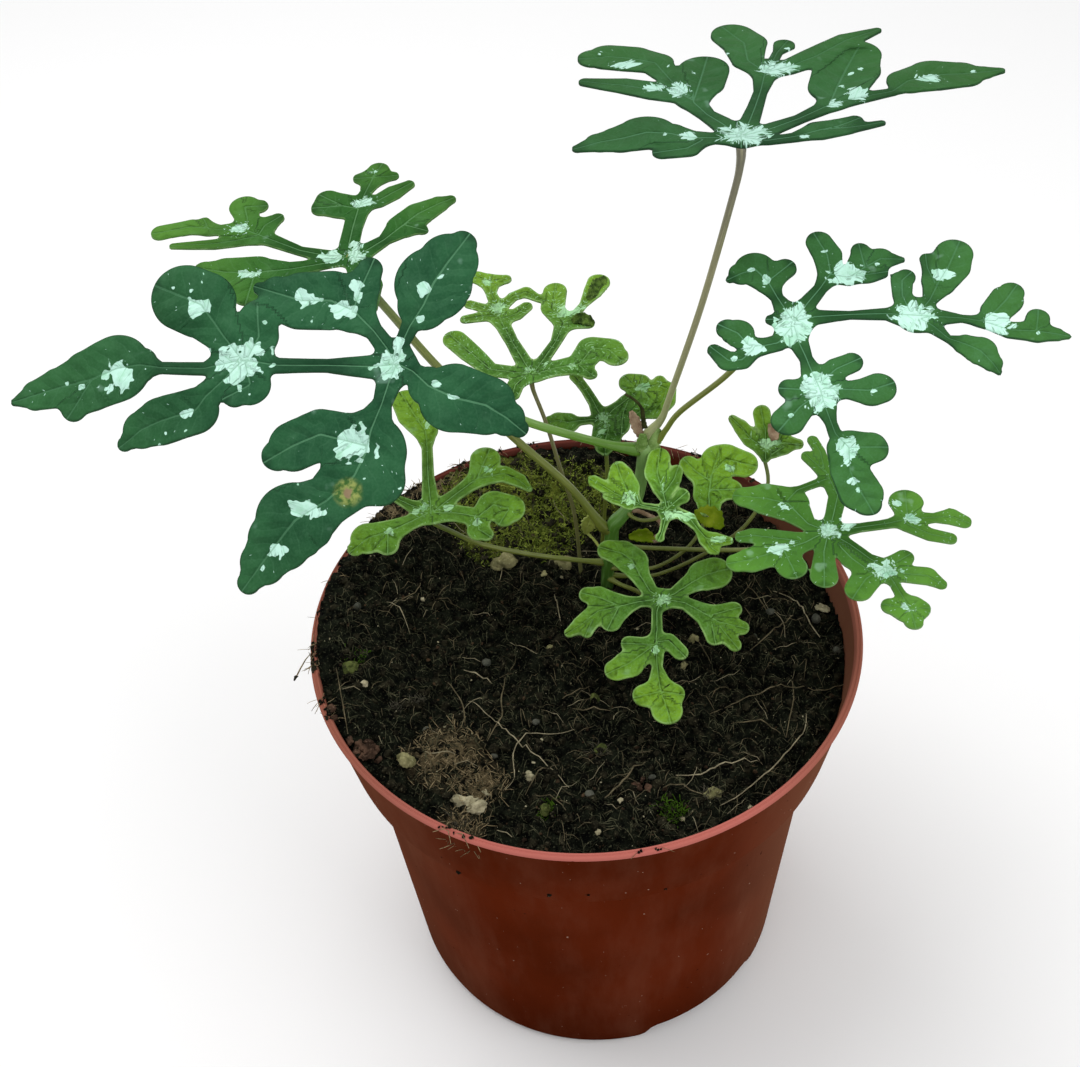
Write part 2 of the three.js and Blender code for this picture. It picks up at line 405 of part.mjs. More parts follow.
// Merged copy of a geometry as a solid that can be joined and cut.
function toSolid(geometry) {
  let bare = geometry.clone();
  bare.deleteAttribute('normal');
  bare.deleteAttribute('uv');
  bare = BufferGeometryUtils.mergeVertices(bare, 1e-4);
  const mesh = new wasm.Mesh({
    numProp: 3,
    vertProperties: new Float32Array(bare.attributes.position.array),
    triVerts: new Uint32Array(bare.index.array),
  });
  return new wasm.Manifold(mesh);
}

function toGeometry(solid) {
  const mesh = solid.getMesh();
  const geometry = new THREE.BufferGeometry();
  geometry.setAttribute('position', new THREE.BufferAttribute(new Float32Array(mesh.vertProperties), 3));
  geometry.setIndex(new THREE.BufferAttribute(new Uint32Array(mesh.triVerts), 1));
  return geometry;
}

// A turned shape: the closed profile is [radius, height] pairs, listed so that faces point out.
function turned(profile, facets) {
  const points = profile.map(([radius, height]) => new THREE.Vector2(radius, height));
  const geometry = new THREE.LatheGeometry(points, facets);
  geometry.rotateX(Math.PI / 2);
  return geometry;
}

// Pot

function outerRadius(height) {
  const shoulder = POT_HEIGHT - COLLAR_HEIGHT;
  if (height > shoulder) {
    const share = (height - shoulder) / COLLAR_HEIGHT;
    return THREE.MathUtils.lerp(COLLAR_FOOT_RADIUS, COLLAR_TOP_RADIUS, share);
  }
  return THREE.MathUtils.lerp(BASE_RADIUS, SHOULDER_RADIUS, height / shoulder);
}

function innerRadius(height) {
  return outerRadius(height) - WALL;
}

function potWall() {
  const shoulder = POT_HEIGHT - COLLAR_HEIGHT;
  const bandFoot = POT_HEIGHT - RIM_BAND;
  const step = WALL + 0.4;
  return turned([
    [0, 0], [BASE_RADIUS - FOOT_ROUNDING, 0], [BASE_RADIUS, FOOT_ROUNDING],
    [SHOULDER_RADIUS, shoulder - 1], [COLLAR_FOOT_RADIUS, shoulder],
    [outerRadius(bandFoot), bandFoot], [RIM_RADIUS, bandFoot + 0.3], [RIM_RADIUS, POT_HEIGHT - 0.4],
    [RIM_RADIUS - 0.5, POT_HEIGHT], [innerRadius(POT_HEIGHT) + 0.3, POT_HEIGHT],
    [innerRadius(POT_HEIGHT - 1), POT_HEIGHT - 1], [innerRadius(shoulder + step), shoulder + step],
    [innerRadius(shoulder - 0.1), shoulder - 0.1], [innerRadius(FLOOR + CORNER_RISE), FLOOR + CORNER_RISE],
    [innerRadius(FLOOR) - CORNER_REACH, FLOOR], [0, FLOOR],
  ], POT_FACETS);
}

// An arch-shaped drain notch in the foot of the wall.
function drainNotch(turn) {
  const arch = new THREE.Shape();
  const half = DRAIN_NOTCH_WIDTH / 2;
  arch.moveTo(-half, -1);
  arch.lineTo(half, -1);
  arch.quadraticCurveTo(half * 0.7, DRAIN_NOTCH_HEIGHT, half * 0.3, DRAIN_NOTCH_HEIGHT);
  arch.lineTo(-half * 0.3, DRAIN_NOTCH_HEIGHT);
  arch.quadraticCurveTo(-half * 0.7, DRAIN_NOTCH_HEIGHT, -half, -1);
  const depth = DRAIN_NOTCH_REACH * 2;
  const geometry = new THREE.ExtrudeGeometry(arch, { depth, bevelEnabled: false, curveSegments: 3 });
  geometry.rotateX(Math.PI / 2);
  geometry.translate(0, BASE_RADIUS - DRAIN_NOTCH_REACH + depth, 0);
  geometry.rotateZ(turn - Math.PI / 2);
  return toSolid(geometry);
}

function makePot() {
  let solid = toSolid(potWall());
  for (let index = 0; index < DRAIN_HOLES; index += 1) {
    const angle = (2 * Math.PI * index) / DRAIN_HOLES + Math.PI / DRAIN_HOLES;
    const drill = new THREE.CylinderGeometry(DRAIN_HOLE_RADIUS, DRAIN_HOLE_RADIUS, FLOOR * 4, 16);
    drill.rotateX(Math.PI / 2);
    drill.translate(DRAIN_HOLE_RING * Math.cos(angle), DRAIN_HOLE_RING * Math.sin(angle), 0);
    solid = solid.subtract(toSolid(drill));
  }
  for (let index = 0; index < DRAIN_NOTCHES; index += 1) {
    const turn = THREE.MathUtils.degToRad(DRAIN_NOTCH_TURN) + (2 * Math.PI * index) / DRAIN_NOTCHES;
    solid = solid.subtract(drainNotch(turn));
  }
  return makeMesh('pot', toGeometry(solid), TERRACOTTA, 0.45);
}

// Soil

function soilHeight(x, y) {
  const tilt = (-x * 0.8 - y * 0.35) / RIM_RADIUS * SOIL_TILT;
  const swell = Math.sin(x * 0.11 + 1.3) * Math.cos(y * 0.13 - 0.4) * 0.8;
  const crumb = Math.sin(x * 0.61 + y * 0.27) * Math.sin(y * 0.53 - x * 0.19 + 2) * SOIL_CRUMB;
  return SOIL_LEVEL + tilt + swell + crumb;
}

function soilBody() {
  const shoulder = POT_HEIGHT - COLLAR_HEIGHT;
  const profile = [[0, FLOOR + CLEARANCE], [innerRadius(FLOOR) - CORNER_REACH - CLEARANCE, FLOOR + CLEARANCE],
    [innerRadius(FLOOR + CORNER_RISE) - CLEARANCE, FLOOR + CORNER_RISE + CLEARANCE],
    [innerRadius(shoulder - 1) - CLEARANCE - 0.1, shoulder + 0.2],
    [innerRadius(shoulder + 2.4) - CLEARANCE - 0.2, shoulder + 2.4],
    [innerRadius(SOIL_LEVEL - 6) - CLEARANCE - 0.2, SOIL_LEVEL - 6]];
  const edge = innerRadius(SOIL_LEVEL - 5) - CLEARANCE - 0.2;
  for (let ring = SOIL_RINGS; ring > 0; ring -= 1) {
    profile.push([(edge * ring) / SOIL_RINGS, SOIL_LEVEL]);
  }
  profile.push([0, SOIL_LEVEL]);
  const geometry = turned(profile, SOIL_FACETS);
  const place = geometry.attributes.position;
  for (let index = 0; index < place.count; index += 1) {
    if (place.getZ(index) > SOIL_LEVEL - 1) {
      place.setZ(index, soilHeight(place.getX(index), place.getY(index)));
    }
  }
  return toSolid(geometry);
}

// A rough lump of perlite, bark or peat that sits half sunk in the surface.
function lump(radius, x, y, random) {
  const geometry = new THREE.IcosahedronGeometry(radius, 1);
  geometry.scale(1, 0.75 + 0.3 * random(), 0.7);
  geometry.rotateZ(random() * Math.PI);
  geometry.translate(x, y, soilHeight(x, y) - radius * 0.25);
  return toSolid(geometry);
}

function stemHole([x, y], radius) {
  const height = HOLE_DEPTH * 3;
  const reach = radius + CLEARANCE + 0.1;
  const geometry = new THREE.CylinderGeometry(reach, reach, height, 16);
  geometry.rotateX(Math.PI / 2);
  geometry.translate(x, y, SOIL_LEVEL - HOLE_DEPTH + height / 2);
  return toSolid(geometry);
}

function makeSoil() {
  const random = seededRandom(LUMP_SEED);
  let solid = soilBody();
  for (let index = 0; index < LUMPS; index += 1) {
    const angle = random() * 2 * Math.PI;
    const reach = Math.sqrt(0.06 + 0.9 * random()) * (RIM_RADIUS - 8);
    const radius = 1.9 + 1.5 * random();
    solid = solid.add(lump(radius, reach * Math.cos(angle), reach * Math.sin(angle), random));
  }
  solid = solid.subtract(stemHole(STEM_ROUTE[0], STEM_RADIUS));
  solid = solid.subtract(stemHole(STALKS.e.route[0], STALKS.e.radius));
  solid = solid.subtract(stemHole(STALKS.f.route[0], STALKS.f.radius));
  return makeMesh('soil', toGeometry(solid), PEAT, 0.95);
}

// Stems and stalks

function tube(points, radius, sides, steps) {
  const section = new THREE.Shape();
  for (let side = 0; side < sides; side += 1) {
    const angle = (2 * Math.PI * side) / sides;
    const corner = [radius * Math.cos(angle), radius * Math.sin(angle)];
    if (side === 0) {
      section.moveTo(...corner);
    } else {
      section.lineTo(...corner);
    }
  }
  section.closePath();
  const path = new THREE.CatmullRomCurve3(points, false, 'centripetal');
  return new THREE.ExtrudeGeometry(section, { steps, extrudePath: path, bevelEnabled: false, curveSegments: 1 });
}

function makeStem() {
  const points = STEM_ROUTE.map((place) => new THREE.Vector3(...place));
  return makeMesh('main_stem', tube(points, STEM_RADIUS, STEM_SIDES, 20), STEM_GREEN, 0.55);
}

function bladeFrame(blade) {
  const turn = new THREE.Matrix4().makeRotationZ(THREE.MathUtils.degToRad(blade.turn));
  const tip = new THREE.Matrix4().makeRotationX(THREE.MathUtils.degToRad(blade.tip));
  return turn.multiply(tip).setPosition(...blade.hub);
}

function makeStalk(letter, { radius, colour, route }) {
  const frame = bladeFrame(BLADES[letter]);
  const points = route.map((place) => new THREE.Vector3(...place));
  const seat = BLADE_THICKNESS / 2 + CLEARANCE;
  points.push(new THREE.Vector3(0, 0, -seat - ROOT_SEAT).applyMatrix4(frame));
  points.push(new THREE.Vector3(0, 0, -seat - CLEARANCE).applyMatrix4(frame));
  return makeMesh(`stalk_${letter}`, tube(points, radius, 6, 3 * points.length - 1), colour, 0.6);
}

// Blades

// Signed distance from a point to a chain of tapered round-ended bars, below zero inside.
function chainDistance(chain, x, y) {
  let nearest = Infinity;
  for (let index = 0; index + 1 < chain.length; index += 1) {
    const [ax, ay, ar] = chain[index];
    const [bx, by, br] = chain[index + 1];
    const length = (bx - ax) ** 2 + (by - ay) ** 2;
    const share = THREE.MathUtils.clamp(((x - ax) * (bx - ax) + (y - ay) * (by - ay)) / length, 0, 1);
    const reach = Math.hypot(x - ax - share * (bx - ax), y - ay - share * (by - ay));
    nearest = Math.min(nearest, reach - THREE.MathUtils.lerp(ar, br, share));
  }
  return nearest;
}

// Signed distance to the whole blade, with a rounded web of leaf in each fork.
function bladeDistance(ribs, x, y) {
  let total = Infinity;
  for (const chain of ribs) {
    const next = chainDistance(chain, x, y);
    const blend = Math.max(WEB - Math.abs(total - next), 0) / WEB;
    total = Math.min(total, next) - (total === Infinity ? 0 : (blend * blend * WEB) / 4);
  }
  return total;
}

// How far a point of the blade is lifted: its ribs' own bend, a fold along the ribs and a ripple.
function bladeLift(ribs, x, y) {
  let sum = 0;
  let weights = 0;
  let toRib = Infinity;
  for (const chain of ribs) {
    for (let index = 0; index + 1 < chain.length; index += 1) {
      const [ax, ay, , al = 0] = chain[index];
      const [bx, by, , bl = 0] = chain[index + 1];
      const length = (bx - ax) ** 2 + (by - ay) ** 2;
      const share = THREE.MathUtils.clamp(((x - ax) * (bx - ax) + (y - ay) * (by - ay)) / length, 0, 1);
      const reach = Math.hypot(x - ax - share * (bx - ax), y - ay - share * (by - ay));
      const weight = 1 / (reach * reach + 1.5) ** 2;
      sum += weight * THREE.MathUtils.lerp(al, bl, share);
      weights += weight;
      toRib = Math.min(toRib, reach);
    }
  }
  const wave = Math.sin((x * 2 * Math.PI) / RIPPLE_LENGTH) * Math.cos((y * 2 * Math.PI) / RIPPLE_LENGTH + 1);
  return sum / weights + FOLD * Math.min(toRib, 4) + RIPPLE * wave * Math.min(toRib / 2, 1);
}

// Closed outlines of the blade, each a loop of points with the leaf on its left.
function outlines(ribs) {
  const all = ribs.flat();
  const low = [Math.min(...all.map((p) => p[0] - p[2])) - 2, Math.min(...all.map((p) => p[1] - p[2])) - 2];
  const high = [Math.max(...all.map((p) => p[0] + p[2])) + 2, Math.max(...all.map((p) => p[1] + p[2])) + 2];
  const columns = Math.ceil((high[0] - low[0]) / OUTLINE_STEP);
  const rows = Math.ceil((high[1] - low[1]) / OUTLINE_STEP);
  const at = (column, row) => [low[0] + column * OUTLINE_STEP, low[1] + row * OUTLINE_STEP];
  const field = [];
  for (let row = 0; row <= rows; row += 1) {
    for (let column = 0; column <= columns; column += 1) {
      field.push(bladeDistance(ribs, ...at(column, row)) + 1e-6);
    }
  }
  const value = (column, row) => field[row * (columns + 1) + column];
  const next = new Map();
  const places = new Map();
  const crossing = (c0, r0, c1, r1) => {
    const flip = c0 > c1 || r0 > r1;
    const [ca, ra, cb, rb] = flip ? [c1, r1, c0, r0] : [c0, r0, c1, r1];
    const key = `${ca},${ra},${cb},${rb}`;
    if (!places.has(key)) {
      const share = value(ca, ra) / (value(ca, ra) - value(cb, rb));
      const [ax, ay] = at(ca, ra);
      const [bx, by] = at(cb, rb);
      places.set(key, [ax + share * (bx - ax), ay + share * (by - ay)]);
    }
    return key;
  };
  // Each cell is cut in two triangles, so that a crossing line is never in doubt.
  const walk = (corners) => {
    const inside = corners.map(([column, row]) => value(column, row) < 0);
    const ends = [];
    for (let side = 0; side < 3; side += 1) {
      const other = (side + 1) % 3;
      if (inside[side] !== inside[other]) {
        ends.push({ key: crossing(...corners[side], ...corners[other]), leaves: inside[side] });
      }
    }
    if (ends.length === 2) {
      const [start, stop] = ends[0].leaves ? [ends[0], ends[1]] : [ends[1], ends[0]];
      next.set(start.key, stop.key);
    }
  };
  for (let row = 0; row < rows; row += 1) {
    for (let column = 0; column < columns; column += 1) {
      walk([[column, row], [column + 1, row], [column + 1, row + 1]]);
      walk([[column, row], [column + 1, row + 1], [column, row + 1]]);
    }
  }
  const loops = [];
  while (next.size > 0) {
    const first = next.keys().next().value;
    const loop = [];
    for (let key = first; next.has(key);) {
      loop.push(places.get(key));
      const following = next.get(key);
      next.delete(key);
      key = following;
    }
    loops.push(loop);
  }
  return loops;
}

function shoelace(loop) {
  return THREE.ShapeUtils.area(loop.map(([x, y]) => new THREE.Vector2(x, y)));
}

// Drops points that lie within the slack of the line between the points kept.
function thinned(points, slack) {
  if (points.length < 3) {
    return points;
  }
  const [ax, ay] = points[0];
  const [bx, by] = points[points.length - 1];
  const span = Math.hypot(bx - ax, by - ay);
  let far = 0;
  let at = 0;
  for (let index = 1; index < points.length - 1; index += 1) {
    const [x, y] = points[index];
    const off = span < 1e-9
      ? Math.hypot(x - ax, y - ay)
      : Math.abs((bx - ax) * (ay - y) - (ax - x) * (by - ay)) / span;
    if (off > far) {
      far = off;
      at = index;
    }
  }
  if (far <= slack) {
    return [points[0], points[points.length - 1]];
  }
  return [...thinned(points.slice(0, at + 1), slack).slice(0, -1), ...thinned(points.slice(at), slack)];
}

function thinnedLoop(loop) {
  return thinned([...loop, loop[0]], OUTLINE_SLACK).slice(0, -1);
}

function turnsLeft(a, b, c) {
  return (b[0] - a[0]) * (c[1] - a[1]) - (b[1] - a[1]) * (c[0] - a[0]);
}

// True where d lies inside the circle through the left-turning corners a, b and c.
function inCircle(a, b, c, d) {
  const [ax, ay] = [a[0] - d[0], a[1] - d[1]];
  const [bx, by] = [b[0] - d[0], b[1] - d[1]];
  const [cx, cy] = [c[0] - d[0], c[1] - d[1]];
  const [aa, bb, cc] = [ax * ax + ay * ay, bx * bx + by * by, cx * cx + cy * cy];
  return ax * (by * cc - bb * cy) - ay * (bx * cc - bb * cx) + aa * (bx * cy - by * cx) > 1e-9;
}

// Swaps the shared side of neighbouring triangles until they are as even as the outline allows.
function evened(points, triangles) {
  for (let pass = 0; pass < 40; pass += 1) {
    const owner = new Map();
    triangles.forEach((triangle, index) => {
      for (let side = 0; side < 3; side += 1) {
        owner.set(`${triangle[side]},${triangle[(side + 1) % 3]}`, [index, side]);
      }
    });
    const touched = new Set();
    let swaps = 0;
    triangles.forEach((triangle, index) => {
      for (let side = 0; side < 3; side += 1) {
        const [a, b, c] = [triangle[side], triangle[(side + 1) % 3], triangle[(side + 2) % 3]];
        const twin = owner.get(`${b},${a}`);
        if (twin && !touched.has(index) && !touched.has(twin[0])) {
          const [other, otherSide] = twin;
          const d = triangles[other][(otherSide + 2) % 3];
          const [pa, pb, pc, pd] = [points[a], points[b], points[c], points[d]];
          const convex = turnsLeft(pc, pa, pd) > 1e-6 && turnsLeft(pd, pb, pc) > 1e-6;
          if (convex && inCircle(pa, pb, pc, pd)) {
            touched.add(index);
            touched.add(other);
            triangles[index] = [c, a, d];
            triangles[other] = [d, b, c];
            swaps += 1;
          }
        }
      }
    });
    if (swaps === 0) {
      break;
    }
  }
}

function addInnerPoint(points, triangles, place) {
  const index = triangles.findIndex(([a, b, c]) => (
    turnsLeft(points[a], points[b], place) > 0.01
    && turnsLeft(points[b], points[c], place) > 0.01
    && turnsLeft(points[c], points[a], place) > 0.01));
  if (index >= 0) {
    const [a, b, c] = triangles[index];
    const added = points.push(place) - 1;
    triangles[index] = [a, b, added];
    triangles.push([b, c, added], [c, a, added]);
  }
}

// Flat triangles of the blade: its outline, its holes and an even scatter of points within.
function flatTriangles(ribs) {
  const loops = outlines(ribs).map(thinnedLoop).filter((loop) => loop.length > 2);
  const outer = loops.reduce((best, loop) => (Math.abs(shoelace(loop)) > Math.abs(shoelace(best)) ? loop : best));
  if (shoelace(outer) < 0) {
    loops.forEach((loop) => loop.reverse());
  }
  const holes = loops.filter((loop) => loop !== outer && shoelace(loop) < -1);
  const contour = outer.map(([x, y]) => new THREE.Vector2(x, y));
  const gaps = holes.map((loop) => loop.map(([x, y]) => new THREE.Vector2(x, y)));
  const points = [...outer, ...holes.flat()];
  const triangles = THREE.ShapeUtils.triangulateShape(contour, gaps);
  triangles.forEach((triangle) => {
    if (turnsLeft(...triangle.map((corner) => points[corner])) < 0) {
      triangle.reverse();
    }
  });
  evened(points, triangles);
  const xs = outer.map(([x]) => x);
  const ys = outer.map(([, y]) => y);
  const rise = INNER_STEP * Math.sqrt(0.75);
  for (let row = 0, y = Math.min(...ys); y < Math.max(...ys); row += 1, y += rise) {
    for (let x = Math.min(...xs) + (row % 2) * INNER_STEP / 2; x < Math.max(...xs); x += INNER_STEP) {
      if (bladeDistance(ribs, x, y) < -INNER_MARGIN) {
        addInnerPoint(points, triangles, [x, y]);
      }
    }
  }
  evened(points, triangles);
  return { points, triangles };
}

function makeBlade(letter, blade) {
  const { points, triangles } = flatTriangles(blade.ribs);
  const frame = bladeFrame(blade);
  const normal = new THREE.Vector3().setFromMatrixColumn(frame, 2);
  const towardsLight = LIGHT.clone().sub(new THREE.Vector3(...blade.hub)).normalize();
  const centre = points.map(([x, y]) => (
    new THREE.Vector3(x, y, 0).applyMatrix4(frame).addScaledVector(towardsLight, bladeLift(blade.ribs, x, y))));
  const top = centre.map((place) => place.clone().addScaledVector(normal, BLADE_THICKNESS / 2));
  const bottom = centre.map((place) => place.clone().addScaledVector(normal, -BLADE_THICKNESS / 2));
  const count = points.length;
  const sides = new Set();
  triangles.forEach(([a, b, c]) => [[a, b], [b, c], [c, a]].forEach(([from, to]) => sides.add(`${from},${to}`)));
  const index = [];
  triangles.forEach(([a, b, c]) => index.push(a, b, c, a + count, c + count, b + count));
  sides.forEach((side) => {
    const [from, to] = side.split(',').map(Number);
    if (!sides.has(`${to},${from}`)) {
      index.push(from, from + count, to + count, from, to + count, to);
    }
  });
  const geometry = new THREE.BufferGeometry().setFromPoints([...top, ...bottom]);
  geometry.setIndex(index);
  geometry.computeVertexNormals();
  return makeMesh(`blade_${letter}`, geometry, blade.colour, 0.5);
}

const plant = new THREE.Group();
plant.add(makePot());
plant.add(makeSoil());
plant.add(makeStem());
Object.entries(STALKS).forEach(([letter, stalk]) => plant.add(makeStalk(letter, stalk)));
Object.entries(BLADES).forEach(([letter, blade]) => plant.add(makeBlade(letter, blade)));

export default plant;
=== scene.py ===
"""Looks of a young house plant with silver-splashed, deeply cut leaves in a plastic nursery pot.

Lengths in the tables are millimetres in the part's frame: the origin is the middle of the pot's
base, +Z is up and the front of the plant faces -Y. Lengths in the finishes are metres.
"""

import logging
import math
import random
from collections.abc import Callable, Iterable, Sequence
from dataclasses import dataclass
from enum import Enum
from functools import cache

import bmesh
import bpy
import numpy as np
from mathutils import Matrix, Vector, noise


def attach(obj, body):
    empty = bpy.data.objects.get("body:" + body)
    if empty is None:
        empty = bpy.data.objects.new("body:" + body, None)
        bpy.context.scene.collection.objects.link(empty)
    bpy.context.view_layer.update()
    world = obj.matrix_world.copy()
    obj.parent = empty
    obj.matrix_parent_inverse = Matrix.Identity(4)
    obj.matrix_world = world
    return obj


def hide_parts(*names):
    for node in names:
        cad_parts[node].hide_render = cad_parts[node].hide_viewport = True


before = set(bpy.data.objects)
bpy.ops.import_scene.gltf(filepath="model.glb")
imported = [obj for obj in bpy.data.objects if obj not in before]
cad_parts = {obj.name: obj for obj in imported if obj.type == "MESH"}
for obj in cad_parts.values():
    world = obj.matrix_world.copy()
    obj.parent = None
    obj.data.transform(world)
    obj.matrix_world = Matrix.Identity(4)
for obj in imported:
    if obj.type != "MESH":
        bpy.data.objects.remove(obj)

LOG = logging.getLogger("potted_plant")
MM = 0.001

Chain = tuple[tuple[float, ...], ...]
Colour = tuple[int, int, int]
Span = tuple[float, float]
Mesh = bmesh.types.BMesh
Material = bpy.types.Material
Piece = bpy.types.Object
Socket = bpy.types.NodeSocket
Node = bpy.types.Node
Tree = bpy.types.NodeTree


class Age(Enum):
    """How old a leaf is, which sets its green."""

    OLD = "old"
    MIDDLE = "middle"
    YOUNG = "young"


class Tint(Enum):
    """The colour family of a stalk."""

    GREEN = "green"
    OLIVE = "olive"
    BEIGE = "beige"


@dataclass(frozen=True)
class BladeShape:
    """One leaf blade, drawn in its own plane from the hub where the stalk meets it."""

    letter: str
    hub: tuple[float, float, float]
    turn: float
    tip: float
    age: Age
    tone: float
    # light scales the blade's colour: partly the leaf's own paleness, partly painted light and shade for how
    # lit the leaf is.
    light: float
    flecked: float
    ribs: tuple[Chain, ...]
    splashes: tuple[tuple[float, float, float, float], ...]
    scars: tuple[tuple[float, float, float], ...] = ()
    swells: tuple[Chain, ...] = ()
    streaky: float = 0.3


@dataclass(frozen=True)
class StalkShape:
    """One leaf stalk and the route that it takes."""

    letter: str
    radius: float
    tint: Tint
    route: Chain


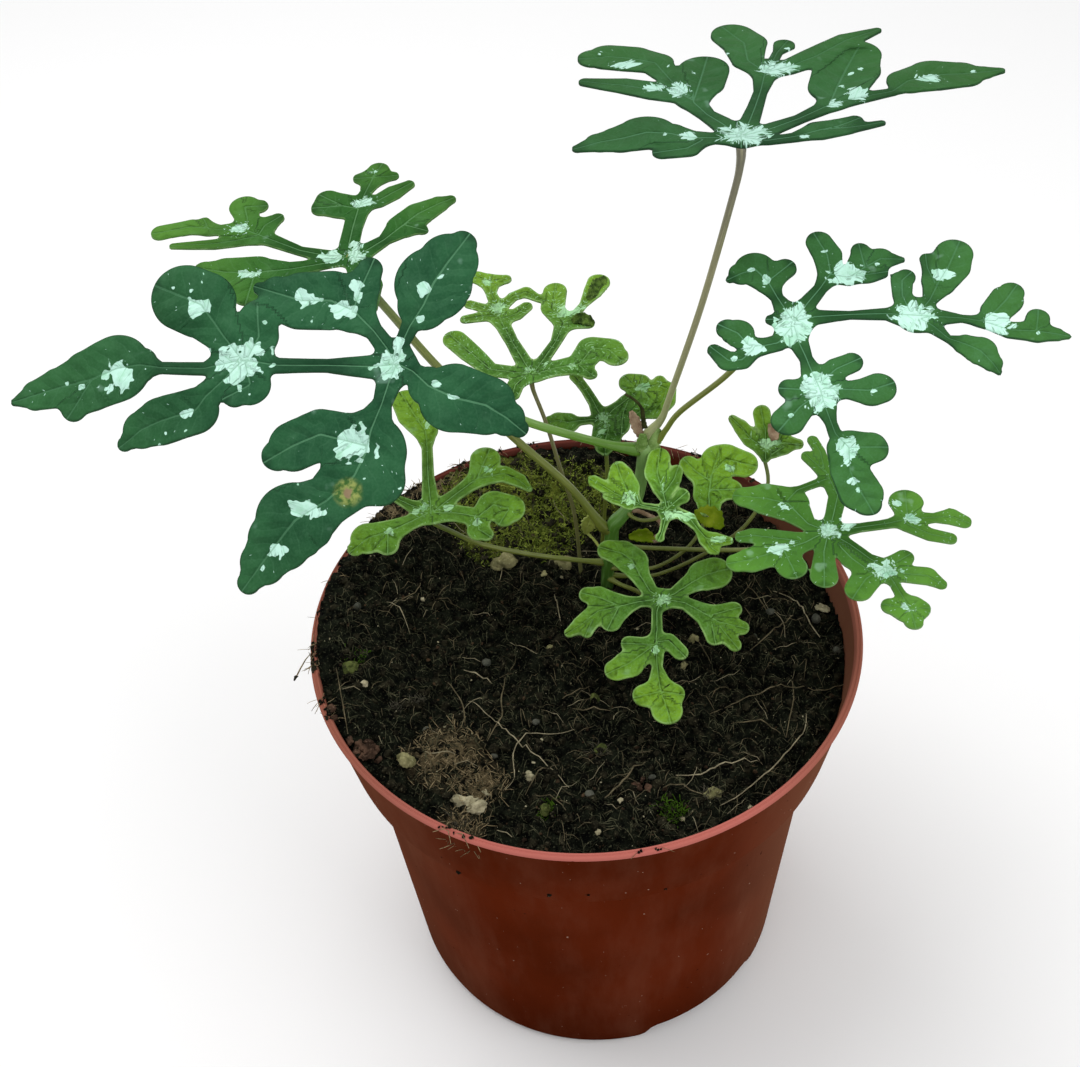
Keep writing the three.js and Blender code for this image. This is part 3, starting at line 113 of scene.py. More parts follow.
BLADES: tuple[BladeShape, ...] = (
    BladeShape(
        "a", hub=(-31, -13, 190.9), turn=-6.5, tip=33, age=Age.OLD, tone=0.0, light=1.03, flecked=0,
        streaky=0.15,
        ribs=(
            ((0, 0, 3.1), (-4.4, -0.4, 2.1), (-12, -0.2, 1.2), (-20.9, -0.2, 1.4), (-27, 0.8, 4.3),
             (-33.6, -0.8, 1.2, -1), (-41.6, -0.7, 1.1, -2), (-45.6, -0.2, 3.3, -3), (-49.8, -0.8, 6.2, -4),
             (-54.6, -3, 5.8, -5), (-60.5, -4.5, 3.8, -6), (-64.9, -5.9, 2.8, -7), (-69, -7.2, 0.7, -8)),
            ((-54.6, -3.2, 3.6, -5), (-57.4, -8.3, 2.4, -6)),
            ((-27, 0.8, 3.7), (-30.5, 5, 3.3), (-34.8, 10.8, 6.1, 1), (-37.9, 12.1, 6, 1)),
            ((-26.1, 1, 3.9), (-24.3, 5, 3.5), (-24.6, 8.2, 3.5, 1)),
            ((-27, 0.5, 3.1), (-30.3, -3.2, 2.1), (-33, -5.8, 2.6, -1), (-34.8, -8.4, 4.2, -2),
             (-41, -10.4, 4.4, -3), (-44.4, -12, 3.5, -4), (-47.4, -14.6, 1.4, -5)),
            ((-26.5, 0.5, 3.7), (-25.2, -3.7, 3.6), (-27.8, -5.2, 2.5)),
            ((0, 0, 3.1), (-1.6, 2.8, 1.8), (-4.1, 6, 1.6), (-7.8, 9.7, 3.8), (-12, 11.6, 5.4),
             (-17.2, 11.6, 5.2), (-21.8, 13, 3.1, -1), (-25, 14, 1.1, -2)),
            ((-8, 9.6, 3.3), (-6.6, 14.2, 3.3), (-5.4, 17.2, 2.3)),
            ((0.5, 1, 2.7), (0.9, 3.8, 1.3), (2.1, 6.8, 1.6), (4.4, 10.8, 4.6, 1), (5.9, 14.6, 6.8, 1),
             (8.3, 18.5, 5.3, 1), (10.5, 21.6, 2.7, 1)),
            ((0.5, 0, 2.7), (3, -1.2, 1.6), (5.8, -3.8, 3.5), (10.3, -5.9, 6.1), (15.8, -7.2, 5.2, -1),
             (19.6, -9.5, 3.1, -2), (21.8, -11.3, 1.6, -2)),
            ((0, -0.5, 2.7), (-1.1, -3.4, 2.2), (-2, -6.8, 1.7), (-3.7, -11.6, 4, -1),
             (-4.5, -15.8, 7.1, -2), (-6.2, -19.8, 5.7, -2), (-10.6, -24.2, 4.6, -3), (-16.2, -28, 6.9, -4),
             (-18.6, -31.4, 5.8, -5), (-21.4, -35.5, 4.2, -6), (-23.8, -39.2, 2.1, -7)),
            ((-4.7, -14.5, 5.3, -2), (-12.6, -12.6, 4.6, -2), (-17.2, -14.7, 4.5, -3),
             (-20, -16.4, 2.8, -4)),
        ),
        splashes=(
            (-0.8, -0.2, 3, 2.9), (0.1, 3.8, 1, 1.5), (-27.3, 0.2, 5.3, 4.5), (-49.4, -2.2, 3, 2.9),
            (-58.9, -3.6, 0.4, 0.5), (-56.3, -4.5, 0.6, 0.5), (-53.1, -4.5, 0.5, 0.5),
            (-44.4, -1.1, 0.6, 0.5), (-35.2, 10.1, 2.1, 2.2), (-39.9, 13.8, 0.7, 0.6),
            (-36.5, 13.4, 0.7, 0.6), (-36.1, -8.8, 1.6, 1.1), (-16.3, 12.5, 2.4, 1.5),
            (-19.8, 13.4, 0.4, 0.4), (-20.8, 10.3, 0.6, 0.4), (-16.7, 8.1, 0.5, 0.4), (-15, 8.3, 0.5, 0.5),
            (-9.7, 9.9, 2.6, 2.2), (-7.4, 13.8, 1.3, 2.1), (4.2, 13.7, 1.5, 1.5), (7, 15.7, 0.5, 0.4),
            (3.8, 8.4, 0.7, 0.7), (7.1, -3.4, 1.6, 0.7), (10.6, -5.9, 1, 0.4), (-6.8, -14, 3.5, 3.3),
            (-2.3, -16.4, 0.3, 0.4), (-1.6, -17.9, 0.4, 0.3), (-14.6, -25.8, 3.2, 2),
            (-19.1, -33.3, 2.2, 1.5), (-21.4, -36.7, 0.6, 0.6),
        ),
        swells=(
            ((-4.4, -18.7, 5.1), (-1.8, -20.7, 4.4)),
            ((-15.7, -26.9, 4.9), (-18.8, -26.5, 3.7)),
        ),
        scars=((-7.2, -22.8, 3.4),),
    ),
    BladeShape(
        "b", hub=(-40.3, 23.2, 188.6), turn=-7, tip=8, age=Age.MIDDLE, tone=0.0, light=0.94, flecked=0.0,
        streaky=0.5,
        ribs=(
            ((0, 0.4, 2.3), (-4.2, 0, 1.7), (-10.3, 1.6, 1.1), (-16.4, 4.6, 1.6), (-21.7, 7.2, 3, -1),
             (-27.4, 7.4, 1.4, -2), (-33.3, 8.3, 2.1, -3), (-39.1, 6.7, 2, -4)),
            ((-29.5, 7.6, 1.4, -2), (-30.9, 10, 1, -3)),
            ((-21.7, 7.2, 2.4, -1), (-22.3, 10.8, 2.4, -1), (-23.4, 14, 3.1, -1), (-20.5, 14.2, 1.8, -1)),
            ((-19, 6.4, 2.2, -1), (-18.4, 8.6, 2.5, -1), (-16.3, 10.7, 1.4, -1)),
            ((-20, 5.4, 1.9, -1), (-23.4, 4.4, 1.6, -2), (-27.5, 3.5, 1.4, -3), (-31.6, 3.2, 1.1, -4),
             (-36.1, 2.9, 0.7, -5)),
            ((0, 0.6, 2.3), (-1, 3.6, 2), (-0.9, 8, 1.9), (-0.5, 14, 2.2), (0.2, 18.1, 1.2),
             (1.2, 22.6, 2.5, -1), (1.9, 24.8, 2.2, -1)),
            ((1.2, 22.6, 2, -1), (-1.5, 22.4, 1.4, -1)),
            ((1.2, 22.6, 2, -1), (5.1, 23.2, 1.2, -2)),
            ((-0.4, 14.4, 1.7), (3.1, 15.7, 1.8), (5.7, 18.1, 2, -1), (8.6, 20.6, 1.2, -2)),
            ((-0.6, 13.4, 1.9), (-3.8, 14.2, 3.2), (-7, 16.2, 2.5)),
            ((-3.8, 14.2, 2.9), (-7.9, 13.7, 2.1)),
            ((1, 0.6, 2), (2.6, 1.6, 1.9), (5.7, 4.6, 1.4), (8.7, 8.5, 3.2), (11.4, 11.9, 3.2, -1),
             (15.1, 14.8, 2.2, -2), (17.4, 16.2, 1.2, -3)),
            ((9.5, 8.6, 2), (12.8, 7.4, 1.1)),
            ((-0.6, 0, 2), (-4.9, -1.9, 1.4), (-11.4, -3.5, 2), (-18.1, -4.5, 4.5, -1),
             (-23.9, -4.4, 3.9, -2), (-28.2, -3.6, 2.1, -3)),
            ((-18, -5.4, 4, -1), (-18.2, -10, 3, -1)),
            ((0.6, -0.4, 2), (2.2, -3, 2.8), (4.2, -7.6, 2.7, -1), (5.4, -13.6, 1.4, -2)),
        ),
        splashes=(
            (-23.6, 7.8, 2.1, 2), (0.5, 15.3, 2.6, 1.6), (-3.9, -0.3, 2.6, 2.2), (0.6, 1.1, 2, 3),
            (0.8, 24.2, 0.7, 0.8), (-19.1, -4.8, 2.5, 1.2),
        ),
    ),
    BladeShape(
        "c", hub=(32.4, 19.6, 208.9), turn=-7.5, tip=0, age=Age.OLD, tone=0.3, light=0.86, flecked=0,
        streaky=0.75,
        ribs=(
            ((0, 1.6, 2), (0, 4.2, 3.2)),
            ((0, 2.6, 2.6), (-4.6, 2.5, 1.7), (-9, 2.5, 2.4), (-12.9, 4, 3.4), (-17, 4.4, 5.5, -1),
             (-21.7, 2.2, 4.2, -2), (-25.4, 1.1, 3, -3), (-29.6, -1, 1.1, -4)),
            ((-6.9, 1.7, 1.5), (-9.6, -1, 2.4), (-14, -2.2, 1.9, -1)),
            ((-1, 4.2, 2.8), (-3.6, 7.6, 2.2), (-6.2, 10.6, 1.7), (-8.7, 15, 2.5), (-7.6, 22, 4.8),
             (-6.8, 27.2, 4.9)),
            ((-8.7, 16.2, 2.6), (-12.9, 22.8, 1.8), (-16.2, 29.8, 3.7), (-20.8, 31.6, 4.6, -1),
             (-25.4, 32.4, 4.5, -1), (-28.2, 32, 3.3, -2)),
            ((-8.7, 15.6, 2.4), (-11, 17.8, 2.8), (-16.2, 19.5, 3.1, -1), (-21.8, 21.3, 2.6, -1),
             (-26, 22.1, 1.9, -2), (-29.6, 22.9, 1.3, -3)),
            ((0.4, 4.2, 3), (1.6, 8.2, 1.8), (2.7, 13.2, 1.5), (3.8, 18.8, 1.3), (4.8, 25.8, 2.4)),
            ((4.8, 26, 2.2), (9.1, 27.9, 2.4), (14.8, 32.1, 3.2, 1), (20.7, 38.2, 2.5, 1), (27, 42.4, 0.9)),
            ((4.8, 26, 2.2), (1.6, 30.5, 3.1), (1, 37.4, 4.5), (-1.2, 40.8, 4.3, -1)),
            ((5.4, 27.4, 1.4), (6.6, 31, 1), (7.4, 33.8, 1), (8.7, 36.6, 2.2, -1)),
            ((0.8, 3.4, 2.8), (5.1, 5.4, 1.9), (10.6, 9.1, 1.3), (16.9, 14.4, 2), (23.4, 17.1, 1.6),
             (28.1, 18.7, 1.1), (31.2, 22.5, 4), (36.5, 24.8, 5.3, -1), (41.3, 25.1, 4.4, -1),
             (45.7, 25.9, 2.1, -2), (49, 26.6, 0.9, -2)),
            ((16.6, 15, 2.6), (18.1, 20.4, 5.5, -1), (20.2, 27.2, 6.4, -1), (22.1, 32.8, 5.1, -1)),
            ((1, 2.4, 2), (4.6, 1.6, 1.1), (9.6, 2.9, 1.4), (14, 5.1, 2.7), (17.6, 6.5, 2.5, -1),
             (20.6, 8.6, 1.5, -1)),
            ((14, 5.1, 2.3), (19.4, 6, 1.6, -1), (22.9, 6.9, 1, -2), (25.5, 7.8, 0.7, -2)),
        ),
        splashes=(
            (0.6, 3.6, 5.1, 3.7), (-9.3, 3.1, 2, 1.5), (-13.7, 3.6, 0.5, 0.7), (-11.5, 19.9, 2.2, 3),
            (-16.1, 20.5, 2.6, 1.7), (-21.7, 29.1, 3.2, 1.6), (-27.2, 33.5, 0.6, 0.8),
            (-8.6, 25.9, 0.6, 0.8), (-13.6, 28.3, 0.5, 0.8), (7.1, 27.3, 4.3, 3.1), (9.4, 35.1, 0.6, 0.8),
            (-2.2, 33.2, 0.6, 0.8), (21.6, 17.5, 2.3, 2.9), (17.4, 14.1, 1.7, 1.6), (19.1, 20.5, 0.6, 0.7),
            (20.9, 25.3, 0.6, 0.8), (22.9, 27.2, 0.6, 0.8), (35.4, 23.5, 2.8, 1.7), (43.9, 25.8, 0.7, 0.7),
            (11.4, 2.9, 0.9, 0.7),
        ),
    ),
    BladeShape(
        "d", hub=(40.5, 4.7, 180.3), turn=-6.5, tip=15, age=Age.OLD, tone=0.4, light=1.14, flecked=0.01,
        streaky=0.35,
        ribs=(
            ((0.7, 0.2, 3.2), (-1, 3.5, 1.8), (-2.1, 5.7, 1.2), (-3.7, 9.4, 2.6), (-6, 12.3, 4),
             (-8.6, 11.4, 2.5, -1), (-10.8, 10.1, 0.8, -1)),
            ((-3.7, 9.4, 2.2), (-0.4, 12.6, 2.2)),
            ((1, 0.5, 3), (3.7, 4.5, 1.6), (6, 7.8, 1.3), (8.1, 11.3, 2.2), (7.6, 15.8, 2.8, 1),
             (6.2, 18.9, 2.5, 1)),
            ((8.1, 11.1, 1.9), (11.3, 10.3, 1.6), (14.5, 12.7, 3.4), (17.6, 14.8, 2.6, -1),
             (21.6, 14.7, 0.6, -1)),
            ((14.5, 12.7, 2.7), (13.9, 16.8, 1.8)),
            ((11.3, 10.5, 1.4), (17.5, 11.5, 1.2, -1)),
            ((1, 0.1, 3), (4.9, 1.1, 1.6), (11.2, 1.6, 0.9), (17.7, 1.8, 1.3), (23.1, 1.4, 3.7),
             (26.9, 1.1, 1.8), (31.5, 0.8, 0.8), (35.1, 0.1, 1.2, -1), (40, -1.9, 1.8, -2),
             (45, -2.2, 2.3, -3), (48.8, -2.9, 1.4, -4), (51, -3.4, 0.5, -5)),
            ((22.1, 2.5, 2.4), (21, 6.1, 1.8), (21.2, 9.6, 2.1), (22, 10.4, 1.8)),
            ((24.1, 2.5, 2.4), (26, 5, 1.4), (28, 9.3, 3.2), (30, 13, 4, 1), (31.2, 15.8, 3.5, 1)),
            ((27.5, 8.1, 1.8), (26.1, 12.5, 0.9), (26, 14.8, 1.2)),
            ((35.1, 0.3, 1.2, -1), (37.9, 2.5, 2.9, -1), (40, 5, 3.2, -1), (41.1, 6.7, 2.4, -1)),
            ((45, -2.2, 1.9, -3), (45.4, 0.7, 2.2, -2)),
            ((24.1, 0.5, 2.6), (26, -0.9, 1.6), (28.6, -3.8, 0.8), (31.6, -5.1, 2.2, -1),
             (34.2, -6.6, 3.1, -1), (36.2, -9.3, 1.9, -2), (37.4, -11.5, 0.5, -3)),
            ((0.5, -1.1, 2.8), (-2.1, -4.9, 1.6), (-5, -5.6, 1.8), (-7.6, -5.5, 1.9), (-9.5, -2.7, 3.1),
             (-11.3, -1.7, 2.2)),
            ((-6.5, -6.1, 1.6), (-8.9, -8.8, 1.9, -1), (-11.4, -8.9, 2.1, -1), (-13.9, -6.5, 1.3, -1)),
            ((0.9, -1.1, 2.8), (1.5, -4.5, 1.9), (2.8, -8.4, 1.2), (3.6, -11.1, 1.9), (4.9, -14.9, 3.9, -1),
             (5.8, -19.1, 2.1, -2), (6.7, -22.5, 1.1, -3), (7.4, -25.1, 1.2, -4), (9.7, -28.2, 3.8, -6),
             (9.7, -33.4, 3.5, -8), (11.5, -38.1, 4, -10), (12.4, -40.1, 2.7, -11)),
            ((5.5, -13.5, 2.6, -1), (8.1, -10.7, 2.3), (10.9, -9.2, 2.1)),
            ((6.1, -15.1, 2.6, -1), (9.9, -15.3, 1.9, -1), (14, -15.5, 3.2, -1), (15.5, -14.9, 3.2, -2)),
            ((4.1, -15.5, 2.6, -1), (-0.3, -15.2, 2.2, -1)),
            ((4.1, -16.7, 2.6, -1), (1.2, -19.3, 2.7, -2), (-0.9, -22.1, 3.1, -3)),
            ((9.7, -28.2, 3.2, -6), (13.3, -28.1, 3.4, -6)),
            ((-0.6, 0.5, 1.6), (-3.3, 0.5, 1.1)),
        ),
        splashes=(
            (0.9, -0.6, 3.4, 4.8), (-6.5, 12.2, 0.8, 0.7), (-4.1, 9.8, 0.9, 1), (-4.6, 7.9, 0.5, 0.5),
            (11.1, 11.3, 3.7, 2.8), (7.4, 16.5, 0.8, 0.7), (16.6, 13.5, 0.7, 0.7), (23.1, 1.5, 4.1, 3.5),
            (28.9, 10.9, 2.3, 1.4), (32, 15, 0.5, 0.6), (38, -0.4, 3.2, 2.6), (45.2, -2.6, 0.7, 0.7),
            (28.5, -6.4, 0.7, 0.7), (-6.9, -5.9, 2.2, 2.2), (-10.3, -8.5, 0.6, 0.7), (5.1, -15.7, 3.6, 4.7),
            (14.3, -15.8, 0.7, 0.7), (-0.4, -21.2, 0.7, 0.6), (9.3, -28.9, 2.2, 3.4), (10.5, -35.5, 1.5, 1),
            (11, -37.3, 0.5, 0.6),
        ),
    ),
    BladeShape(
        "e", hub=(-7.7, 27, 153.1), turn=-6, tip=5, age=Age.YOUNG, tone=0.1, light=1.06, flecked=0.1,
        ribs=(
            ((0, 0.8, 2), (-2.2, 5, 1.7), (-5, 10.9, 1.4), (-7.8, 17.4, 1.8), (-8.3, 20.4, 1.6),
             (-10.4, 26, 1.2), (-10.9, 29.9, 2.3, -1), (-7.6, 30.8, 1.4, -2)),
            ((-10.9, 29.9, 1.9, -1), (-14, 31.4, 1.9, -1)),
            ((-8.2, 20.8, 1.3), (-5.5, 24.9, 1.3), (-2.8, 26.4, 1.6, -1), (0.2, 24.3, 1, -2)),
            ((-7.8, 17.4, 1.7), (-4.5, 19.1, 1.7), (-2.4, 21.6, 1.4, -1)),
            ((-8.3, 20.4, 1.2), (-11.9, 21.4, 1.2, -1), (-15, 22.6, 1.2, -2)),
            ((-8, 18.6, 1.5), (-11.2, 18.7, 1.5, -1), (-15.5, 17.8, 1.2, -2)),
            ((0.4, 1.2, 2), (2.4, 5.6, 1.3), (4.5, 10.3, 1.2), (6.1, 16.2, 2), (3.4, 21, 2.6),
             (3.7, 26.6, 2.6, -1)),
            ((6.1, 16.2, 1.8), (9.2, 16.3, 1.6, -1), (11.2, 16.3, 1.5, -2)),
            ((6.3, 17.2, 1.4), (8.7, 19.7, 1), (10, 22, 0.9), (12, 26.3, 2.1, -1), (13.2, 29.5, 2.6, -2)),
            ((0.8, 0.8, 1.9), (4.7, 2.4, 2.2), (9.9, 3.7, 2.8), (12.4, 8.4, 3.4), (15.9, 8, 3.3, -1),
             (17.4, 6.1, 2.7, -1)),
            ((9.9, 3, 2.4), (12.2, 0.8, 1.5, -1)),
            ((-0.8, 0.8, 1.9), (-3.6, 1.2, 1.8), (-8.9, 2.1, 1.8), (-13.5, 7.2, 2.5, -1),
             (-17.3, 11.5, 2.6, -2)),
            ((-1.4, 0, 1.7), (-3.3, -2.4, 1.8), (-3.7, -5.2, 1.5, -1)),
        ),
        splashes=(
            (-8.7, 21.3, 1.6, 1.9), (-11.6, 29.8, 0.9, 1), (7.6, 20.3, 3.5, 2.4), (-0.5, 1.9, 0.8, 1),
            (2.8, 3.2, 0.6, 0.9), (8.3, 2.9, 0.8, 0.9),
        ),
    ),
    BladeShape(
        "f", hub=(7.3, 29.5, 137.3), turn=-6, tip=12, age=Age.YOUNG, tone=0.1, light=0.9, flecked=0.07,
        ribs=(
            ((0, 0, 1.1), (-2.2, 0.3, 0.9), (-5.2, 0, 1.1), (-7.9, -0.5, 2.6, -1), (-10, 0, 2.2, -1),
             (-11.7, -0.2, 1.6, -2)),
            ((0.4, 0, 2.3), (1.1, -2.2, 3.5), (0.5, -4.6, 3.2, -1), (0.3, -7, 2, -1), (0.4, -8.3, 1, -2)),
            ((0, 0, 1.5), (-1.4, 2.7, 1.6), (-2.3, 4.9, 1.2), (-4.2, 8.5, 1.1), (-5.6, 10.7, 1.1),
             (-6.7, 12.4, 1.3)),
            ((0, 0, 1.8), (1.7, 2.7, 1.6), (3.4, 4.3, 1.3), (5.1, 6, 1.3), (6.9, 7.6, 1.2), (7.9, 8.7, 1.3)),
            ((7.3, 8.2, 1.6), (5.5, 10.4, 2.5)),
            ((7.3, 8.2, 1.6), (7.9, 10.7, 2)),
            ((7.9, 8.7, 1.3), (9.9, 9.3, 1.1), (11.7, 9.8, 1.2), (13.6, 8.7, 2.1, -1), (13, 5.7, 2.6, -1),
             (11.2, 3.2, 2.5, -2), (9.5, 2.4, 1.3, -2)),
            ((11.7, 9.8, 1.2), (12.1, 11.2, 1.2)),
            ((8.4, 8.2, 1.9), (9.7, 6, 3.3), (8.8, 3.5, 2.7), (7.1, 1.9, 1.7)),
            ((5.1, 5.2, 1.5), (4.1, 1.9, 2.1), (3.9, -1.4, 1.7)),
        ),
        splashes=(
            (0, 0, 1.3, 1.9), (-0.6, -3.2, 0.9, 0.8), (8.2, 9, 1.3, 1.1), (6.8, 10.4, 0.4, 0.6),
        ),
    ),
    BladeShape(
        "g", hub=(-31, 11.4, 130.7), turn=-5.5, tip=12, age=Age.YOUNG, tone=0.4, light=1.0, flecked=0.04,
        ribs=(
            ((0, 0, 2.5), (-0.5, 3.6, 1.8), (-1.4, 9.6, 1.3), (-2.2, 17.2, 1.2), (-2.8, 21.4, 2.7, 1),
             (-5.9, 26.2, 3.7, 1), (-7.9, 29.7, 3.1, 1)),
            ((0.6, 0.4, 2.2), (4.8, 4.6, 1.5), (9.3, 8.8, 2), (10.7, 13.6, 3.4)),
            ((9.3, 8.8, 1.9), (15, 10.1, 2, -1), (18.4, 8.4, 1.7, -2), (20.8, 6.2, 0.7, -3)),
            ((0.6, 0, 2.2), (5.1, 0, 2), (10.1, -1, 2.2), (13.1, 2, 3.5), (16.6, 1, 3.4, -1),
             (15.6, -1, 2.3, -1)),
            ((10.1, -1.4, 2), (10.4, -4.2, 2.5, -1), (12, -5.3, 1.6, -1)),
            ((-0.6, 0, 2.2), (-4.3, -2.3, 1.9), (-8.8, -4.8, 2.9, -1), (-13, -6.3, 3.8, -2),
             (-15.4, -8.8, 1.8, -3)),
            ((-8.8, -5.2, 2.5, -1), (-8.6, -8.1, 2.3, -2)),
            ((-0.8, 0.6, 2.1), (-4.6, 2, 1.4), (-8, 3.9, 0.9)),
        ),
        splashes=(
            (-2.7, 23.2, 0.7, 1.1), (-1.7, 2.1, 0.9, 1.3), (-3.3, 0.1, 0.9, 1), (3.4, 1.3, 1, 1),
            (11.9, 11.1, 1.1, 1), (-8.3, -4.7, 1.2, 1), (9.5, -2.2, 1.1, 1),
        ),
    ),
    BladeShape(
        "h", hub=(16.5, -4, 115.6), turn=-5.5, tip=10, age=Age.YOUNG, tone=0.2, light=1.02, flecked=0.0,
        ribs=(
            ((0, 0, 1.8), (-2.5, 1.9, 1.7), (-4.4, 5.5, 2.1), (-6.3, 9.6, 3.5), (-8.5, 11.6, 3.3, -1),
             (-11.3, 12.5, 2.6, -1)),
            ((0, 0, 1.8), (2.7, 1.2, 1.5), (5.9, 3.7, 2.2), (9.1, 5.9, 3.7), (11.2, 6.6, 3.9, -1)),
            ((0, 0, 1.8), (4.9, -1, 1.5), (8.7, -3.5, 2.4), (11.8, -5.7, 3.2), (16.5, -7, 1.7, -1)),
            ((10.4, -4, 2.1), (15, -2.5, 1.8)),
            ((12.4, -7.4, 2.1), (15, -11.2, 1.4, -1)),
            ((10.4, -6.6, 2.3), (10.8, -9.4, 1.8)),
            ((0, 0, 1.8), (-1.1, -3.2, 1.1), (-1.1, -7.6, 1.2), (-1.4, -11.4, 1.9), (-1.1, -16.4, 1.1, -1),
             (-0.6, -21.4, 2.7, -2), (0.8, -26.6, 3.2, -3)),
            ((-0.6, -22.4, 2.5, -2), (-3.6, -23.2, 2.6, -2)),
            ((-0.4, -22.4, 2.7, -2), (2.1, -22.8, 2.4, -2)),
            ((-1.2, -10.6, 1.5), (1.3, -10.2, 1.7), (3.7, -13, 1.7, -1)),
            ((-1.8, -11.2, 1.7), (-6.8, -11, 1.8)),
            ((-2, -11.6, 1.7), (-7, -15.8, 3.2, -1), (-9.5, -17.2, 2.5, -1)),
            ((0, 0, 1.8), (-4.7, -0.7, 1.3), (-9.3, -2, 2.8), (-13.5, -3.1, 2.3, -1),
             (-16.9, -6.4, 2.1, -2), (-19.6, -8.4, 1.1, -3)),
            ((-9.3, -1.6, 2.5), (-13.5, 0.4, 2.7), (-15.6, 1, 2)),
            ((-9.3, -2.6, 2.3), (-10.7, -5.8, 2.2)),
            ((-14.7, -5.7, 1.3), (-15.7, -8.4, 1.1)),
        ),
        splashes=(
            (0.2, 0, 1.5, 1.7), (-1.5, -12.5, 0.6, 1.3), (-6.8, 8.4, 0.9, 1),
        ),
    ),
    BladeShape(
        "i", hub=(50.1, -4.6, 133.2), turn=-5.5, tip=5, age=Age.MIDDLE, tone=0.42, light=1.12, flecked=0.05,
        ribs=(
            ((0, 0, 1.9), (6.5, 1.1, 1.1), (12.6, 2.2, 1.2), (16.4, 3.3, 2), (21.8, 3.7, 1.2, -1),
             (25.3, 4, 2.1, -2), (27.8, 2.7, 1.6, -3)),
            ((16.4, 3.6, 1.9), (16.5, 7.5, 3.6)),
            ((16.3, 1.8, 1.8), (20.4, -0.7, 1.6, -1), (24.4, -1.8, 1.4, -2)),
            ((0.4, -0.4, 1.9), (4.2, -3.4, 1.2), (7.5, -6.8, 1.2), (10.7, -9.5, 2.3), (14.6, -6.8, 2, -1)),
            ((10.7, -9.7, 2), (14.6, -10.9, 2, -1), (18.6, -11.4, 2.2, -2), (21.2, -13.5, 1.2, -3)),
            ((10, -9.8, 2), (6.6, -12, 3), (4.9, -14.7, 2.8, -1)),
            ((10.7, -10.4, 1.9), (12, -13.4, 1), (13, -16, 1.2, -1), (14.4, -19.6, 3.5, -2),
             (14.8, -22.6, 1.9, -3)),
            ((14.4, -19.6, 2.4, -2), (10.7, -18.8, 1.9, -2)),
            ((14.4, -19.6, 2.4, -2), (16.9, -19.5, 1.4, -3)),
            ((-0.4, 0.2, 1.9), (-3.9, 2.1, 1.9), (-7.6, 7.5, 4.5), (-12, 8.9, 4.1, -1),
             (-16.4, 9.5, 2.6, -2)),
            ((-0.6, -0.2, 1.9), (-4.8, -2.9, 1.9), (-10, -4.9, 3.1), (-15.9, -7.3, 3, -1),
             (-18.8, -8, 2.2, -2)),
            ((-9, -5.4, 2.6), (-7.9, -8.9, 3.1, -1)),
            ((0, -0.6, 1.9), (-1.2, -5.3, 1.9), (-1.6, -11.4, 2.8, -1)),
            ((0.4, 0.6, 1.9), (1.5, 4.5, 1.7), (2.8, 9.7, 1.9), (0.6, 17.3, 1.6), (0.1, 22.1, 1.2),
             (-1.2, 25.4, 1.2)),
            ((0.8, 16, 1.4), (-2.6, 20.7, 1.4)),
            ((0.8, 14.2, 1), (-5.4, 11.2, 0.9), (-7.6, 8.4, 1.7)),
            ((2.1, -3.9, 1.7), (4.2, -7, 2.4), (6.8, -9.6, 2)),
            ((-6.4, -2.4, 2.2), (-11.1, -1.6, 2.1), (-15.1, -1, 1.9), (-17.4, -1.3, 1.4)),
        ),
        splashes=(
            (0.5, 0.5, 2, 2.1), (4, 2.6, 1.3, 1.9), (-8.2, 6.4, 1, 1.1), (-10.2, -4.6, 2.2, 1.5),
            (-7, -3.2, 1.2, 0.8), (17.2, 3.1, 1.8, 1.3), (14.2, 7.2, 1, 1.4), (10.5, -9.8, 2.9, 2.5),
            (13.4, -19.2, 1, 1),
        ),
    ),
    BladeShape(
        "j", hub=(41.1, 19, 132.6), turn=-6, tip=50, age=Age.YOUNG, tone=0.4, light=1.02, flecked=0.03,
        ribs=(
            ((0, 0, 0.9), (0, 2, 1.6), (-3.2, 4.3, 1.9), (-5.3, 6.8, 1.6), (-7.1, 8.5, 0.9)),
            ((0, 2, 1.5), (-0.1, 6.4, 0.9), (-0.5, 7.5, 1.8), (-0.9, 9.6, 1.9)),
            ((0, 2, 1.5), (3.8, 3.4, 2), (7, 3.1, 1.1, -1)),
            ((2.6, 3.4, 1.5), (3.6, 5.9, 1.3, -1)),
            ((2, 1.4, 1.1), (3.7, 2.5, 1.7)),
        ),
        splashes=(
            (0.4, 3.4, 2.6, 1.4), (-3.4, 5, 0.7, 0.7),
        ),
    ),
    BladeShape(
        "k", hub=(18.6, 7.6, 130.4), turn=-5.5, tip=42, age=Age.YOUNG, tone=0.35, light=1.48, flecked=0.06,
        ribs=(
            ((0, 0, 1.1), (-2.2, 0.6, 0.7), (-5.2, 1.1, 0.6), (-7.5, 2.4, 2), (-8.5, 4.8, 2.9),
             (-9.6, 7.1, 2.7), (-10, 8.4, 2)),
            ((-7.9, 2.2, 1.1), (-11, 3.7, 0.6), (-13.4, 5.2, 1.3), (-15.3, 6.3, 1.2), (-16.1, 6.8, 0.5)),
            ((-7.7, 1.6, 0.9), (-11, 2.2, 0.8), (-12.9, 2.9, 0.5)),
            ((0, 0, 1.1), (-0.3, 2.2, 0.7), (-1.2, 5.2, 2), (-2, 8.1, 2.7), (-1.6, 10.9, 2.4)),
            ((-0.3, 3.9, 1.5), (1.6, 6.6, 1.5), (2.2, 8.3, 1.3)),
            ((0.3, 0.5, 1.1), (2, 2, 1.1), (3.2, 3, 1.7)),
            ((0, 0, 1.1), (-0.3, -2, 0.9), (-1, -4.7, 0.6), (-1.4, -5.6, 1)),
